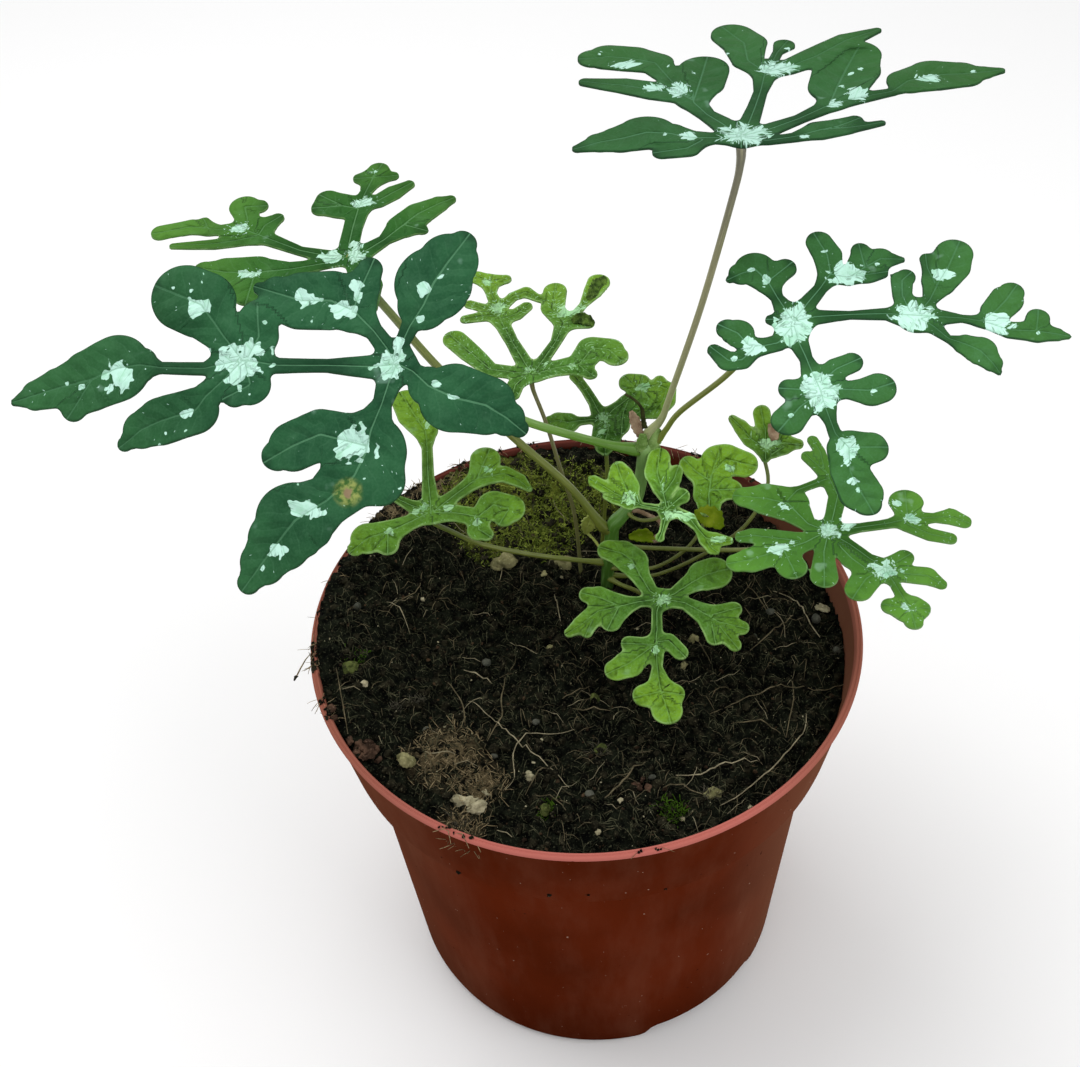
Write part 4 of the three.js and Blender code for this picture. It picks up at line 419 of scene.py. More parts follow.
            ((0.1, -0.3, 1.1), (2.8, -0.7, 1.1), (4.9, -1.8, 1.3), (6.4, -3.7, 0.8), (8.2, -5.8, 1.4),
             (10.5, -6.2, 1.5), (13.2, -6.4, 0.8, -1)),
            ((8.2, -6.2, 1.1), (9.5, -7.9, 1.3), (10.3, -8.5, 0.8)),
        ),
        splashes=(
            (-7.7, 2.9, 2.1, 1.5), (2.7, -1, 3.2, 1.1), (11.2, -6.1, 2.1, 0.7), (-0.7, 5.4, 0.6, 1.1),
        ),
    ),
    BladeShape(
        "l", hub=(29, 16.6, 121.6), turn=-5.5, tip=20, age=Age.YOUNG, tone=0.6, light=1.32, flecked=0.02,
        ribs=(
            ((0, 0, 2.5), (0, 2.9, 3.4), (0.6, 7.4, 3.8), (1.9, 11.4, 3.5)),
            ((1, 8.4, 3.3), (4, 11.6, 3.8), (7.8, 10.5, 3.2)),
            ((0.2, 6.4, 2.1), (-2.8, 8.7, 2.4), (-4.3, 10.4, 2.1)),
            ((0.6, 4, 2.5), (5, 4.2, 2.4)),
        ),
        splashes=((4.9, 9.5, 1, 1),),
        scars=((0.4, -2.4, 2.6),),
    ),
)

STALKS: tuple[StalkShape, ...] = (
    StalkShape("a", 0.9, Tint.GREEN, (
        (12.8, 18.6, 138.4), (5.5, 17, 142.4), (-8.4, 8.4, 156.6), (-18, 0, 170.5), (-26, -7.6, 182.6))),
    StalkShape("b", 0.85, Tint.OLIVE, (
        (5.6, 17.5, 117), (-0.9, 18, 128.8), (-12.1, 19, 143.3), (-25.6, 21, 160.9), (-34, 22.4, 174.5))),
    StalkShape("c", 0.7, Tint.BEIGE, (
        (15.8, 18.9, 142.3), (18.6, 19, 146), (20.3, 19, 152.1), (26.2, 19.2, 174.6), (31.3, 19.5, 198.4))),
    StalkShape("d", 0.6, Tint.OLIVE, (
        (17.8, 18.2, 141), (19.4, 17.2, 144.6), (22, 15.6, 150.6), (29.6, 11, 162.4), (35.8, 7.4, 173.3))),
    StalkShape("e", 0.45, Tint.BEIGE, (
        (0.5, 22, 92), (0.5, 22, 99), (-0.3, 23, 116), (-2.9, 24.5, 128.9), (-5.4, 26, 141.2))),
    StalkShape("f", 0.45, Tint.OLIVE, (
        (6, 28.2, 92), (6, 28.2, 99), (6.9, 28, 112), (7.6, 28, 124), (7.4, 28.6, 132))),
    StalkShape("g", 0.55, Tint.OLIVE, (
        (5, 17, 106), (-4.4, 16.5, 108.8), (-13, 15.8, 112.2), (-21.8, 14.6, 117.2), (-27.6, 13, 123.4))),
    StalkShape("h", 0.5, Tint.OLIVE, (
        (7.3, 15.4, 101.6), (9.4, 12.8, 102.4), (12.3, 8.6, 104.8), (14.8, 2.4, 108.6))),
    StalkShape("i", 0.5, Tint.OLIVE, (
        (9.2, 16.8, 111.3), (14.5, 14.5, 112.4), (26.2, 9, 116.3), (35.4, 4.6, 119.9), (43.7, 0, 124.8))),
    StalkShape("j", 0.42, Tint.OLIVE, (
        (8.2, 16.5, 101.8), (16.9, 15, 102.6), (27.2, 14, 109), (36.6, 15, 116.2), (41.6, 17.2, 125.6))),
    StalkShape("k", 0.4, Tint.OLIVE, (
        (11.8, 15.9, 121.2), (13.8, 13, 122.6), (16.8, 10.4, 125.4))),
    StalkShape("l", 0.42, Tint.OLIVE, (
        (8.1, 15.8, 105), (16.8, 14.2, 106), (24.6, 14.4, 112))),
)

STEM_ROUTE = (
    (6.2, 17, 92), (6.3, 17, 99), (6.8, 17, 105.9), (7.4, 17.2, 110.8), (8, 17.5, 116.8),
    (10.4, 17.8, 120.2), (13.1, 18.1, 124.2), (14.4, 18.4, 131.5), (15.3, 18.8, 140.9),
)

LIGHT = Vector((-8, -216, 353))


def paint(red: int, green: int, blue: int) -> tuple[float, float, float, float]:
    """Turns a colour as seen on a screen, 0 to 255, into linear light.

    Args:
        red: Red share.
        green: Green share.
        blue: Blue share.

    Returns:
        The linear colour with full alpha.
    """
    shares = (value / 255 for value in (red, green, blue))
    linear = [s / 12.92 if s <= 0.04045 else ((s + 0.055) / 1.055) ** 2.4 for s in shares]
    return (linear[0], linear[1], linear[2], 1.0)


def clipped(value: float) -> float:
    """Holds a value between 0 and 1."""
    return min(max(value, 0.0), 1.0)


class Wiring:
    """Short calls that add and join the nodes of one node tree."""

    def __init__(self, tree: Tree) -> None:
        """Keeps the tree that the calls work on."""
        self.tree = tree

    def node(self, kind: str, **settings: object) -> Node:
        """Adds a node.

        Args:
            kind: The node's type without its ShaderNode prefix.
            settings: Properties to set on it.

        Returns:
            The new node.
        """
        made = self.tree.nodes.new(f"ShaderNode{kind}")
        for name, value in settings.items():
            setattr(made, name, value)
        return made

    def feed(self, socket: Socket, value: object) -> None:
        """Joins an output to a socket, or sets a plain value on it.

        Args:
            socket: The input to fill.
            value: An output socket, a number, a colour or a vector.
        """
        if isinstance(value, Socket):
            self.tree.links.new(value, socket)
        else:
            socket.default_value = value

    def attribute(self, name: str) -> Socket:
        """Reads a number stored on the mesh."""
        return self.node("Attribute", attribute_name=name).outputs["Fac"]

    def place(self) -> Socket:
        """Reads the place on the object, in metres."""
        return self.node("TexCoord").outputs["Object"]

    def maths(self, operation: str, *values: object, clamp: bool = False) -> Socket:
        """Adds a Math node.

        Args:
            operation: The node's operation.
            values: Its inputs in order.
            clamp: Whether the result is held between 0 and 1.

        Returns:
            The result's socket.
        """
        made = self.node("Math", operation=operation, use_clamp=clamp)
        for socket, value in zip(made.inputs, values):
            self.feed(socket, value)
        return made.outputs[0]

    def times(self, first: object, second: object, clamp: bool = False) -> Socket:
        """Multiplies two values."""
        return self.maths("MULTIPLY", first, second, clamp=clamp)

    def plus(self, first: object, second: object, clamp: bool = False) -> Socket:
        """Adds two values."""
        return self.maths("ADD", first, second, clamp=clamp)

    def less(self, first: object, second: object) -> Socket:
        """Takes the second value from the first."""
        return self.maths("SUBTRACT", first, second)

    def flipped(self, value: object) -> Socket:
        """Takes a value from 1."""
        return self.less(1.0, value)

    def band(self, value: object, low: float, high: float) -> Socket:
        """Maps a value smoothly from 0 at low to 1 at high.

        Args:
            value: The value to map.
            low: Where the result is 0.
            high: Where the result is 1.

        Returns:
            The result's socket.
        """
        made = self.node("MapRange", interpolation_type="SMOOTHSTEP")
        self.feed(made.inputs["Value"], value)
        made.inputs["From Min"].default_value = low
        made.inputs["From Max"].default_value = high
        return made.outputs["Result"]

    def mix(self, share: object, first: object, second: object) -> Socket:
        """Mixes two colours.

        Args:
            share: How much of the second colour shows.
            first: The first colour.
            second: The second colour.

        Returns:
            The mixed colour's socket.
        """
        made = self.node("Mix", data_type="RGBA")
        self.feed(made.inputs["Factor"], share)
        self.feed(made.inputs[6], first)
        self.feed(made.inputs[7], second)
        return made.outputs[2]

    def over(self, base: object, colour: Colour, mask: object, share: float = 1.0) -> Socket:
        """Lays a colour over a base where a mask says so, and at most by a share."""
        return self.mix(mask if share == 1.0 else self.times(mask, share), base, paint(*colour))

    def speckle(self, scale: float, detail: float = 3.0, roughness: float = 0.55,
                vector: object = None) -> Socket:
        """Adds a Noise texture.

        Args:
            scale: Its scale, per metre on Object coordinates.
            detail: Its octaves.
            roughness: How strong its finer octaves are.
            vector: Where it is read, or None for the object's own place.

        Returns:
            The noise value's socket.
        """
        made = self.node("TexNoise")
        self.feed(made.inputs["Vector"], self.place() if vector is None else vector)
        made.inputs["Scale"].default_value = scale
        made.inputs["Detail"].default_value = detail
        made.inputs["Roughness"].default_value = roughness
        return made.outputs["Fac"]

    def vector(self, x: object, y: object, z: object = 0.0) -> Socket:
        """Joins three values in a vector.

        Args:
            x: The first value.
            y: The second value.
            z: The third value.

        Returns:
            The vector's socket.
        """
        made = self.node("CombineXYZ")
        for socket, value in zip(made.inputs, (x, y, z)):
            self.feed(socket, value)
        return made.outputs[0]

    def bump(self, height: object, distance: float, strength: float = 1.0,
             normal: object = None) -> Socket:
        """Adds a Bump node.

        Args:
            height: The height value, 0 to 1.
            distance: What a height of 1 stands for, in metres.
            strength: How strong the bump is.
            normal: Another bump's normal that this one adds to.

        Returns:
            The normal's socket.
        """
        made = self.node("Bump")
        self.feed(made.inputs["Height"], height)
        made.inputs["Distance"].default_value = distance
        made.inputs["Strength"].default_value = strength
        if normal is not None:
            self.feed(made.inputs["Normal"], normal)
        return made.outputs["Normal"]

    def dress(self, shader: Node, colour: object, roughness: object, normal: object,
              gloss: float = 0.5) -> None:
        """Feeds a Principled node.

        Args:
            shader: The Principled node.
            colour: Its base colour.
            roughness: Its roughness.
            normal: Its normal.
            gloss: Its specular level.
        """
        for name, value in (("Base Color", colour), ("Roughness", roughness), ("Normal", normal),
                            ("Specular IOR Level", gloss)):
            self.feed(shader.inputs[name], value)

    def placed(self, group: Tree, **values: object) -> Node:
        """Places a node group and fills its inputs.

        Args:
            group: The group to place.
            values: Its inputs, with underscores for the spaces in their names.

        Returns:
            The group's node.
        """
        made = self.node("Group", node_tree=group)
        for name, value in values.items():
            self.feed(made.inputs[name.replace("_", " ")], value)
        return made


@dataclass(frozen=True)
class SharedEffect:
    """A node group that more than one material uses, with plain values in and out."""

    name: str
    inputs: dict[str, float]
    outputs: tuple[str, ...]

    def open(self) -> tuple[Tree, Wiring, Node, Node]:
        """Starts the group.

        Returns:
            The group, the calls that wire it, and its input and output nodes.
        """
        tree = bpy.data.node_groups.new(self.name, "ShaderNodeTree")
        for label, start in self.inputs.items():
            socket = tree.interface.new_socket(label, in_out="INPUT", socket_type="NodeSocketFloat")
            socket.default_value = start
        for label in self.outputs:
            tree.interface.new_socket(label, in_out="OUTPUT", socket_type="NodeSocketFloat")
        return tree, Wiring(tree), tree.nodes.new("NodeGroupInput"), tree.nodes.new("NodeGroupOutput")


@cache
def mottle_group() -> Tree:
    """Builds soft patches and a fine grain on the object's own place, once.

    Returns:
        A group with Patch Scale, Grain Scale in, and Patches, Grain out.
    """
    effect = SharedEffect("mottle", {"Patch Scale": 60.0, "Grain Scale": 900.0}, ("Patches", "Grain"))
    tree, wires, source, target = effect.open()
    for scale, out in zip(effect.inputs, effect.outputs):
        made = wires.node("TexNoise")
        wires.feed(made.inputs["Vector"], wires.place())
        wires.feed(made.inputs["Scale"], source.outputs[scale])
        made.inputs["Detail"].default_value = 4.0
        wires.feed(target.inputs[out], made.outputs["Fac"])
    return tree


@cache
def vein_group() -> Tree:
    """Builds the midrib and the side veins from the distances stored on a blade, once.

    Returns:
        A group with Spacing in, and Midrib, Side Veins, Relief out.
    """
    effect = SharedEffect("leaf veins", {"Spacing": 3.0}, ("Midrib", "Side Veins", "Relief"))
    tree, wires, source, target = effect.open()
    across = wires.attribute("across")
    reach = wires.maths("ABSOLUTE", across)
    rib = wires.maths("DIVIDE", reach, wires.attribute("vein"))
    wander = wires.times(wires.speckle(420.0, 1.0), 1.4)
    slant = wires.less(wires.attribute("along"), wires.times(reach, 0.75))
    sided = wires.plus(slant, wires.times(wires.maths("SIGN", across), 0.6))
    phase = wires.maths("DIVIDE", wires.plus(sided, wander), source.outputs["Spacing"])
    saw = wires.maths("ABSOLUTE", wires.less(wires.maths("FRACT", phase), 0.5))
    inner = wires.band(wires.attribute("margin"), 0.3, 1.6)
    quilt = wires.times(wires.times(saw, 2.0), inner)
    groove = wires.times(wires.band(rib, 0.4, 3.0), 0.5)
    wires.feed(target.inputs["Midrib"], wires.flipped(wires.band(rib, 0.55, 1.0)))
    wires.feed(target.inputs["Side Veins"], wires.times(wires.flipped(wires.band(saw, 0.0, 0.07)), inner))
    wires.feed(target.inputs["Relief"], wires.plus(quilt, groove))
    return tree


@cache
def splash_group() -> Tree:
    """Builds the ragged pale splashes round the places stored on a blade, once.

    The stored field's edge is broken into streaks that run along the side veins.

    Returns:
        A group with Ragged and Scatter in, and Splash, Flecks out.
    """
    effect = SharedEffect("silver splash", {"Ragged": 3.2, "Scatter": 0.16}, ("Splash", "Flecks"))
    tree, wires, source, target = effect.open()
    across = wires.attribute("across")
    streaky = wires.attribute("streaky")
    nearness = wires.attribute("splash")
    reach = wires.maths("ABSOLUTE", across)
    slant = wires.less(wires.attribute("along"), wires.times(reach, 0.9))

    def combed(detail: float, roughness: float, onward: float, outward: float, layer: object) -> Socket:
        """Adds a noise that is stretched along the side veins."""
        stretched = wires.vector(wires.times(slant, onward), wires.times(reach, outward), layer)
        return wires.speckle(1.0, detail, roughness, stretched)

    streaks = combed(2.0, 0.6, 0.95, 0.4, wires.times(wires.maths("SIGN", across), 7.0))
    blots = wires.speckle(520.0, 1.0, 0.5)
    rough = wires.plus(blots, wires.times(wires.less(streaks, blots), streaky))
    field = wires.plus(nearness, wires.times(wires.less(rough, 0.55), source.outputs["Ragged"]))
    gaps = combed(1.0, 0.5, 1.9, 0.45, 11.0)
    slits = wires.times(wires.band(gaps, 0.58, 0.62), wires.band(field, 0.6, 0.1))
    slits = wires.times(slits, wires.plus(0.3, streaky), clamp=True)
    solid = wires.flipped(wires.times(slits, 0.9))
    wires.feed(target.inputs["Splash"], wires.times(wires.band(field, -0.02, 0.04), solid))
    dashes = combed(0.0, 0.5, 2.6, 1.3, 3.0)
    near = wires.times(wires.band(nearness, -0.95, 0.3), source.outputs["Scatter"])
    spread = wires.plus(wires.plus(dashes, near), wires.attribute("flecked"))
    wires.feed(target.inputs["Flecks"], wires.band(spread, 0.84, 0.87))
    return tree


def new_material(name: str) -> tuple[Material, Wiring, Node]:
    """Starts a node material.

    Args:
        name: The material's name.

    Returns:
        The material, the calls that wire it, and its Principled node.
    """
    material = bpy.data.materials.new(name)
    material.use_nodes = True
    return material, Wiring(material.node_tree), material.node_tree.nodes["Principled BSDF"]


def dimmed(colour: Colour, share: float) -> tuple[float, float, float, float]:
    """Gives a share of a colour's light, with full alpha."""
    return (*(value * share for value in paint(*colour)[:3]), 1.0)


@dataclass(frozen=True)
class LeafFinish:
    """The upper side of a leaf, with its veins, pale margin and silver splashes."""

    name: str
    deep: Colour
    fresh: Colour
    tip: Colour
    vein: Colour
    margin: Colour
    splash: Colour = (198, 236, 222)
    mint: Colour = (150, 206, 172)
    tip_share: float = 0.0
    margin_width: float = 0.16
    ragged: float = 3.2
    flecks: float = 0.7
    scatter: float = 0.16
    side_veins: float = 0.12
    bloom: float = 0.2
    relief: float = 0.0003
    grain: float = 0.07
    gloss: float = 0.06
    pucker: float = 0.0003

    def build(self) -> Material:
        """Builds the material.

        Returns:
            The material.
        """
        material, wires, shader = new_material(self.name)
        mottle = wires.placed(mottle_group(), Patch_Scale=90.0, Grain_Scale=2400.0)
        veins = wires.placed(vein_group(), Spacing=3.4)
        splash = wires.placed(splash_group(), Ragged=self.ragged, Scatter=self.scatter)
        patches = wires.band(mottle.outputs["Patches"], 0.3, 0.7)
        base = wires.mix(patches, paint(*self.deep), paint(*self.fresh))
        reach = wires.attribute("reach")
        far = wires.times(wires.band(reach, 0.25, 1.0), self.tip_share)
        far = wires.plus(far, wires.attribute("tone"), clamp=True)
        base = wires.over(base, self.tip, far)
        clouds = wires.band(wires.speckle(260.0, 3.0), 0.5, 0.8)
        base = wires.over(base, self.vein, clouds, self.bloom)
        base = wires.over(base, self.vein, wires.band(mottle.outputs["Grain"], 0.35, 0.75), self.grain)
        base = wires.over(base, self.vein, veins.outputs["Side Veins"], self.side_veins)
        across = wires.maths("ABSOLUTE", wires.attribute("across"))
        neck = wires.band(wires.plus(across, wires.attribute("margin")), 2.3, 1.1)
        neck = wires.times(neck, wires.less(0.75, wires.times(reach, 0.6)))
        base = wires.mix(neck, base, dimmed(self.deep, 0.45))
        margin = wires.attribute("margin")
        edge = wires.flipped(wires.band(margin, self.margin_width * 0.4, self.margin_width * 1.6))
        worn = wires.plus(0.25, wires.times(wires.band(wires.speckle(340.0, 2.0), 0.35, 0.65), 0.6))
        base = wires.over(base, self.margin, wires.times(edge, worn))
        base = wires.over(base, self.splash, splash.outputs["Flecks"], self.flecks)
        base = wires.over(base, self.splash, wires.band(wires.speckle(170.0, 2.0), 0.68, 0.75), self.bloom)
        faint = wires.less(0.75, wires.times(wires.band(reach, 0.05, 0.7), 0.45))
        base = wires.over(base, self.vein, wires.times(veins.outputs["Midrib"], faint))
        shade = wires.over(paint(*self.splash), self.mint, clouds)
        shade = wires.over(shade, self.mint, veins.outputs["Side Veins"], 0.6)
        shade = wires.over(shade, self.vein, veins.outputs["Midrib"], 0.4)
        base = wires.mix(splash.outputs["Splash"], base, shade)
        torn = wires.plus(0.45, wires.times(wires.speckle(700.0), 1.1))
        scar = wires.times(wires.attribute("scar"), torn)
        spots = wires.band(wires.speckle(1100.0, 2.0), 0.35, 0.65)
        sick = wires.over(paint(62, 98, 46), (140, 152, 84), spots)
        base = wires.mix(wires.band(scar, 0.1, 0.5), base, sick)
        base = wires.over(base, (138, 118, 92), wires.band(scar, 0.66, 0.9))
        # Painted light and shade: the colour is scaled by the blade's light factor, which also holds some of
        # the leaf's own paleness.
        lit = wires.node("VectorMath", operation="SCALE")
        wires.feed(lit.inputs[0], base)
        wires.feed(lit.inputs["Scale"], wires.attribute("light"))
        rough = wires.plus(0.46, wires.times(mottle.outputs["Grain"], 0.2))
        relief = wires.bump(veins.outputs["Relief"], self.relief, 0.8)
        relief = wires.bump(wires.speckle(230.0, 2.0), self.pucker, 1.0, relief)
        relief = wires.bump(mottle.outputs["Grain"], 0.00004, 0.6, relief)
        wires.dress(shader, lit.outputs[0], rough, relief, self.gloss)
        return material


@dataclass(frozen=True)
class UndersideFinish:
    """The paler, duller underside of a leaf, with raised ribs."""

    name: str
    base: Colour
    vein: Colour

    def build(self) -> Material:
        """Builds the material.

        Returns:
            The material.
        """
        material, wires, shader = new_material(self.name)
        mottle = wires.placed(mottle_group(), Patch_Scale=140.0, Grain_Scale=2200.0)
        veins = wires.placed(vein_group(), Spacing=3.2)
        base = wires.over(dimmed(self.base, 0.7), self.base, wires.band(mottle.outputs["Patches"], 0.3, 0.7))
        base = wires.over(base, self.vein, veins.outputs["Side Veins"], 0.3)
        base = wires.over(base, self.vein, veins.outputs["Midrib"])
        rough = wires.plus(0.55, wires.times(mottle.outputs["Grain"], 0.2))
        wires.dress(shader, base, rough, wires.bump(wires.flipped(veins.outputs["Relief"]), 0.0003, 0.7))
        return material


@dataclass(frozen=True)
class StalkFinish:
    """A stalk's or stem's skin, which changes colour from its foot to its leaf."""

    name: str
    foot: Colour
    middle: Colour
    top: Colour
    streak: Colour

    def build(self) -> Material:
        """Builds the material.

        Returns:
            The material.
        """
        material, wires, shader = new_material(self.name)
        along = wires.attribute("along")
        base = wires.over(paint(*self.foot), self.middle, wires.band(along, 0.0, 0.45))
        base = wires.over(base, self.top, wires.band(along, 0.5, 1.0))
        base = wires.over(base, (106, 106, 56), wires.attribute("olive"))
        long_way = wires.vector(wires.attribute("round"), wires.times(along, 3.0))
        streaks = wires.speckle(2.6, 4.0, 0.6, long_way)
        base = wires.over(base, self.streak, wires.band(streaks, 0.45, 0.75), 0.55)
        mottle = wires.placed(mottle_group(), Patch_Scale=260.0, Grain_Scale=2400.0)
        base = wires.over(base, (52, 62, 26), wires.band(mottle.outputs["Patches"], 0.55, 0.8), 0.35)
        rough = wires.plus(0.26, wires.times(mottle.outputs["Grain"], 0.22))
        relief = wires.bump(streaks, 0.00016, 0.6)
        wires.dress(shader, base, rough, wires.bump(mottle.outputs["Grain"], 0.00003, 0.5, relief))
        return material


@dataclass(frozen=True)
class PotFinish:
    """Moulded terracotta-coloured plastic with faint mould lines, dust, specks, a painted rim highlight and
    painted sheen.
    """

    name: str = "terracotta plastic"
    wall: Colour = (70, 24, 8)
    warm: Colour = (88, 32, 13)
    low: Colour = (60, 20, 7)
    rim: Colour = (182, 104, 94)
    dust_and_sheen: Colour = (114, 74, 56)

    def build(self) -> Material:
        """Builds the material.

        Returns:
            The material.
        """
        material, wires, shader = new_material(self.name)
        split = wires.node("SeparateXYZ")
        wires.feed(split.inputs[0], wires.place())
        level = split.outputs["Z"]
        mottle = wires.placed(mottle_group(), Patch_Scale=26.0, Grain_Scale=1500.0)
        base = wires.over(paint(*self.wall), self.warm, wires.band(mottle.outputs["Patches"], 0.3, 0.7))
        base = wires.over(base, self.low, wires.band(level, 0.035, 0.0), 0.6)
        # Painted highlight: the rim band is painted much lighter than the wall, duller where x is large and
        # darker towards the back.
        rim = wires.band(level, POT.height * MM - 0.0016, POT.height * MM - 0.001)
        sides = wires.band(wires.maths("ABSOLUTE", split.outputs["X"]), 0.022, 0.056)
        band = wires.over(paint(*self.rim), (132, 84, 66), sides, 0.75)
        band = wires.over(band, (70, 32, 24), wires.band(split.outputs["Y"], 0.0, 0.045), 0.85)
        stretched = wires.node("Mapping")
        wires.feed(stretched.inputs["Vector"], wires.place())
        stretched.inputs["Scale"].default_value = (1.0, 1.0, 0.25)
        smears = wires.speckle(80.0, 5.0, 0.65, stretched.outputs[0])
        # Real dust in vertical smears, plus painted sheen on the wall's left and right sides and painted
        # light over its right side.
        dust_and_sheen = wires.plus(wires.times(wires.band(smears, 0.4, 0.75), 0.2), wires.times(sides, 0.5))
        right = wires.times(wires.band(split.outputs["X"], 0.018, 0.05), 0.4)
        base = wires.over(base, self.dust_and_sheen, wires.plus(dust_and_sheen, right, clamp=True))
        base = wires.mix(rim, base, band)
        base = wires.over(base, (30, 12, 8), wires.band(wires.speckle(800.0, 1.0), 0.785, 0.8), 0.8)
        base = wires.over(base, (190, 160, 140), wires.band(wires.speckle(1000.0, 1.0), 0.79, 0.8), 0.45)
        rough = wires.plus(0.42, wires.times(smears, 0.24))
        relief = wires.bump(mottle.outputs["Grain"], 0.00004, 0.35, wires.bump(smears, 0.0002, 0.3))
        wires.dress(shader, base, rough, relief, 0.0)
        return material


MOSS_TINT = (140, 152, 60)
STRAW_TINT = (140, 124, 92)


@dataclass(frozen=True)
class EarthFinish:
    """Dark damp potting mix, or crumbs, fibres, moss and perlite of another colour."""

    name: str
    dark: Colour
    light: Colour
    accent: Colour
    accent_share: float = 0.3
    roughness: float = 0.9
    patch_scale: float = 420.0
    bump_depth: float = 0.0006

    def build(self) -> Material:
        """Builds the material.

        Returns:
            The material.
        """
        material, wires, shader = new_material(self.name)
        fine = self.patch_scale * 5
        mottle = wires.placed(mottle_group(), Patch_Scale=self.patch_scale, Grain_Scale=fine)
        base = wires.over(paint(*self.dark), self.light, wires.band(mottle.outputs["Patches"], 0.35, 0.7))
        grains = wires.band(mottle.outputs["Grain"], 0.55, 0.75)
        base = wires.over(base, self.accent, grains, self.accent_share)
        clumps = wires.band(wires.speckle(340.0, 4.0, 0.7), 0.4, 0.56)
        for spread, tint in (("moss", MOSS_TINT), ("straw", STRAW_TINT)):
            grown = wires.over(paint(*(value // 4 for value in tint)), tint, mottle.outputs["Grain"])
            base = wires.mix(wires.times(wires.attribute(spread), clumps), base, grown)
        relief = wires.bump(mottle.outputs["Patches"], self.bump_depth, 0.8)
        relief = wires.bump(mottle.outputs["Grain"], self.bump_depth * 0.4, 0.8, relief)
        wires.dress(shader, base, self.roughness, relief, 0.04)
        return material


@cache
def material_of(finish: EarthFinish) -> Material:
    """Builds a finish's material, once."""
    return finish.build()


def in_metres(name: str, shape: Mesh) -> bpy.types.Mesh:
    """Turns a bmesh in millimetres into a mesh in metres, and frees it.

    Args:
        name: The mesh's name.
        shape: The bmesh.

    Returns:
        The mesh.
    """
    bmesh.ops.scale(shape, vec=(MM, MM, MM), verts=shape.verts)
    mesh = bpy.data.meshes.new(name)
    shape.to_mesh(mesh)
    shape.free()
    return mesh


def finished(name: str, shape: Mesh | bpy.types.Mesh, materials: Sequence[Material],
             nodes: Sequence[str] = (), smooth: bool = True) -> Piece:
    """Shows a mesh as a finished piece that rides on the part.

    Args:
        name: The piece's name.
        shape: A bmesh in millimetres, which is freed, or a mesh in metres.
        materials: Its materials, in the order of their numbers.
        nodes: CAD nodes that it stands for.
        smooth: Whether its faces are shaded smooth.

    Returns:
        The new object.
    """
    mesh = shape if isinstance(shape, bpy.types.Mesh) else in_metres(name, shape)
    if smooth:
        mesh.shade_smooth()
    else:
        mesh.shade_flat()
    for material in materials:
        mesh.materials.append(material)
    piece = bpy.data.objects.new(name, mesh)
    bpy.context.scene.collection.objects.link(piece)
    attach(piece, "root")
    if nodes:
        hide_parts(*nodes)
    LOG.info("%s: %d faces", name, len(mesh.polygons))
    return piece


def smooth_route(points: Sequence[Sequence[float]], step: float) -> list[Vector]:
    """Draws a smooth curve through points.

    Args:
        points: The points to pass through.
        step: The distance between the places returned.

    Returns:
        Places along the curve, its ends included.
    """
    knots = [Vector(point[:3]) for point in points]
    knots = [knots[0] * 2 - knots[1], *knots, knots[-1] * 2 - knots[-2]]
    places = []
    for before, start, end, after in zip(knots, knots[1:], knots[2:], knots[3:]):
        count = max(2, round((end - start).length / step))
        for index in range(count):
            t = index / count
            places.append(0.5 * (
                2 * start + (end - before) * t + (2 * before - 5 * start + 4 * end - after) * t * t
                + (3 * start - before - 3 * end + after) * t ** 3))
    places.append(knots[-2])
    return places


def stored(shape: Mesh, names: Sequence[str]) -> list[bmesh.types.BMLayerItem]:
    """Finds or makes the layers that store numbers on a mesh's vertices.

    Args:
        shape: The mesh.
        names: The layers' names.

    Returns:
        The layers.
    """
    floats = shape.verts.layers.float
    for name in names:
        if name not in floats:
            floats.new(name)
    return [floats[name] for name in names]


def sweep(shape: Mesh, route: Sequence[Vector], radii: Callable[[float], float],
          sides: int) -> None:
    """Draws a round skin with closed ends along a route, and stores how far along and round each vertex is.

    Args:
        shape: The mesh to add to.
        route: Places along the middle.
        radii: The radius at a share of the length.
        sides: How many sides it has.
    """
    along, around = stored(shape, ("along", "round"))
    lengths = [0.0]
    for start, end in zip(route, route[1:]):
        lengths.append(lengths[-1] + (end - start).length)
    ring = bmesh.ops.create_circle(shape, segments=sides, radius=1.0, cap_ends=False)["verts"]
    unit = [vert.co.copy() for vert in ring]
    turn = Matrix.Identity(3)
    heading = Vector((0, 0, 1))
    first = ring
    for index, place in enumerate(route):
        ahead = (route[min(index + 1, len(route) - 1)] - route[max(index - 1, 0)]).normalized()
        turn = heading.rotation_difference(ahead).to_matrix() @ turn
        heading = ahead
        if index:
            edges = dict.fromkeys(edge for vert in ring for edge in vert.link_edges
                                  if edge.other_vert(vert) in ring and (index == 1 or edge.is_boundary))
            grown = bmesh.ops.extrude_edge_only(shape, edges=list(edges))["geom"]
            fresh = {item for item in grown if isinstance(item, bmesh.types.BMVert)}
            ring = [next(edge.other_vert(vert) for edge in vert.link_edges
                         if edge.other_vert(vert) in fresh) for vert in ring]
        share = lengths[index] / lengths[-1]
        for side, (vert, corner) in enumerate(zip(ring, unit)):
            vert.co = place + turn @ (corner * radii(share))
            vert[along] = share
            vert[around] = abs(side / sides - 0.5) * 6.0
    for ends in (first, ring):
        bmesh.ops.contextual_create(shape, geom=ends)
    bmesh.ops.recalc_face_normals(shape, faces=shape.faces)


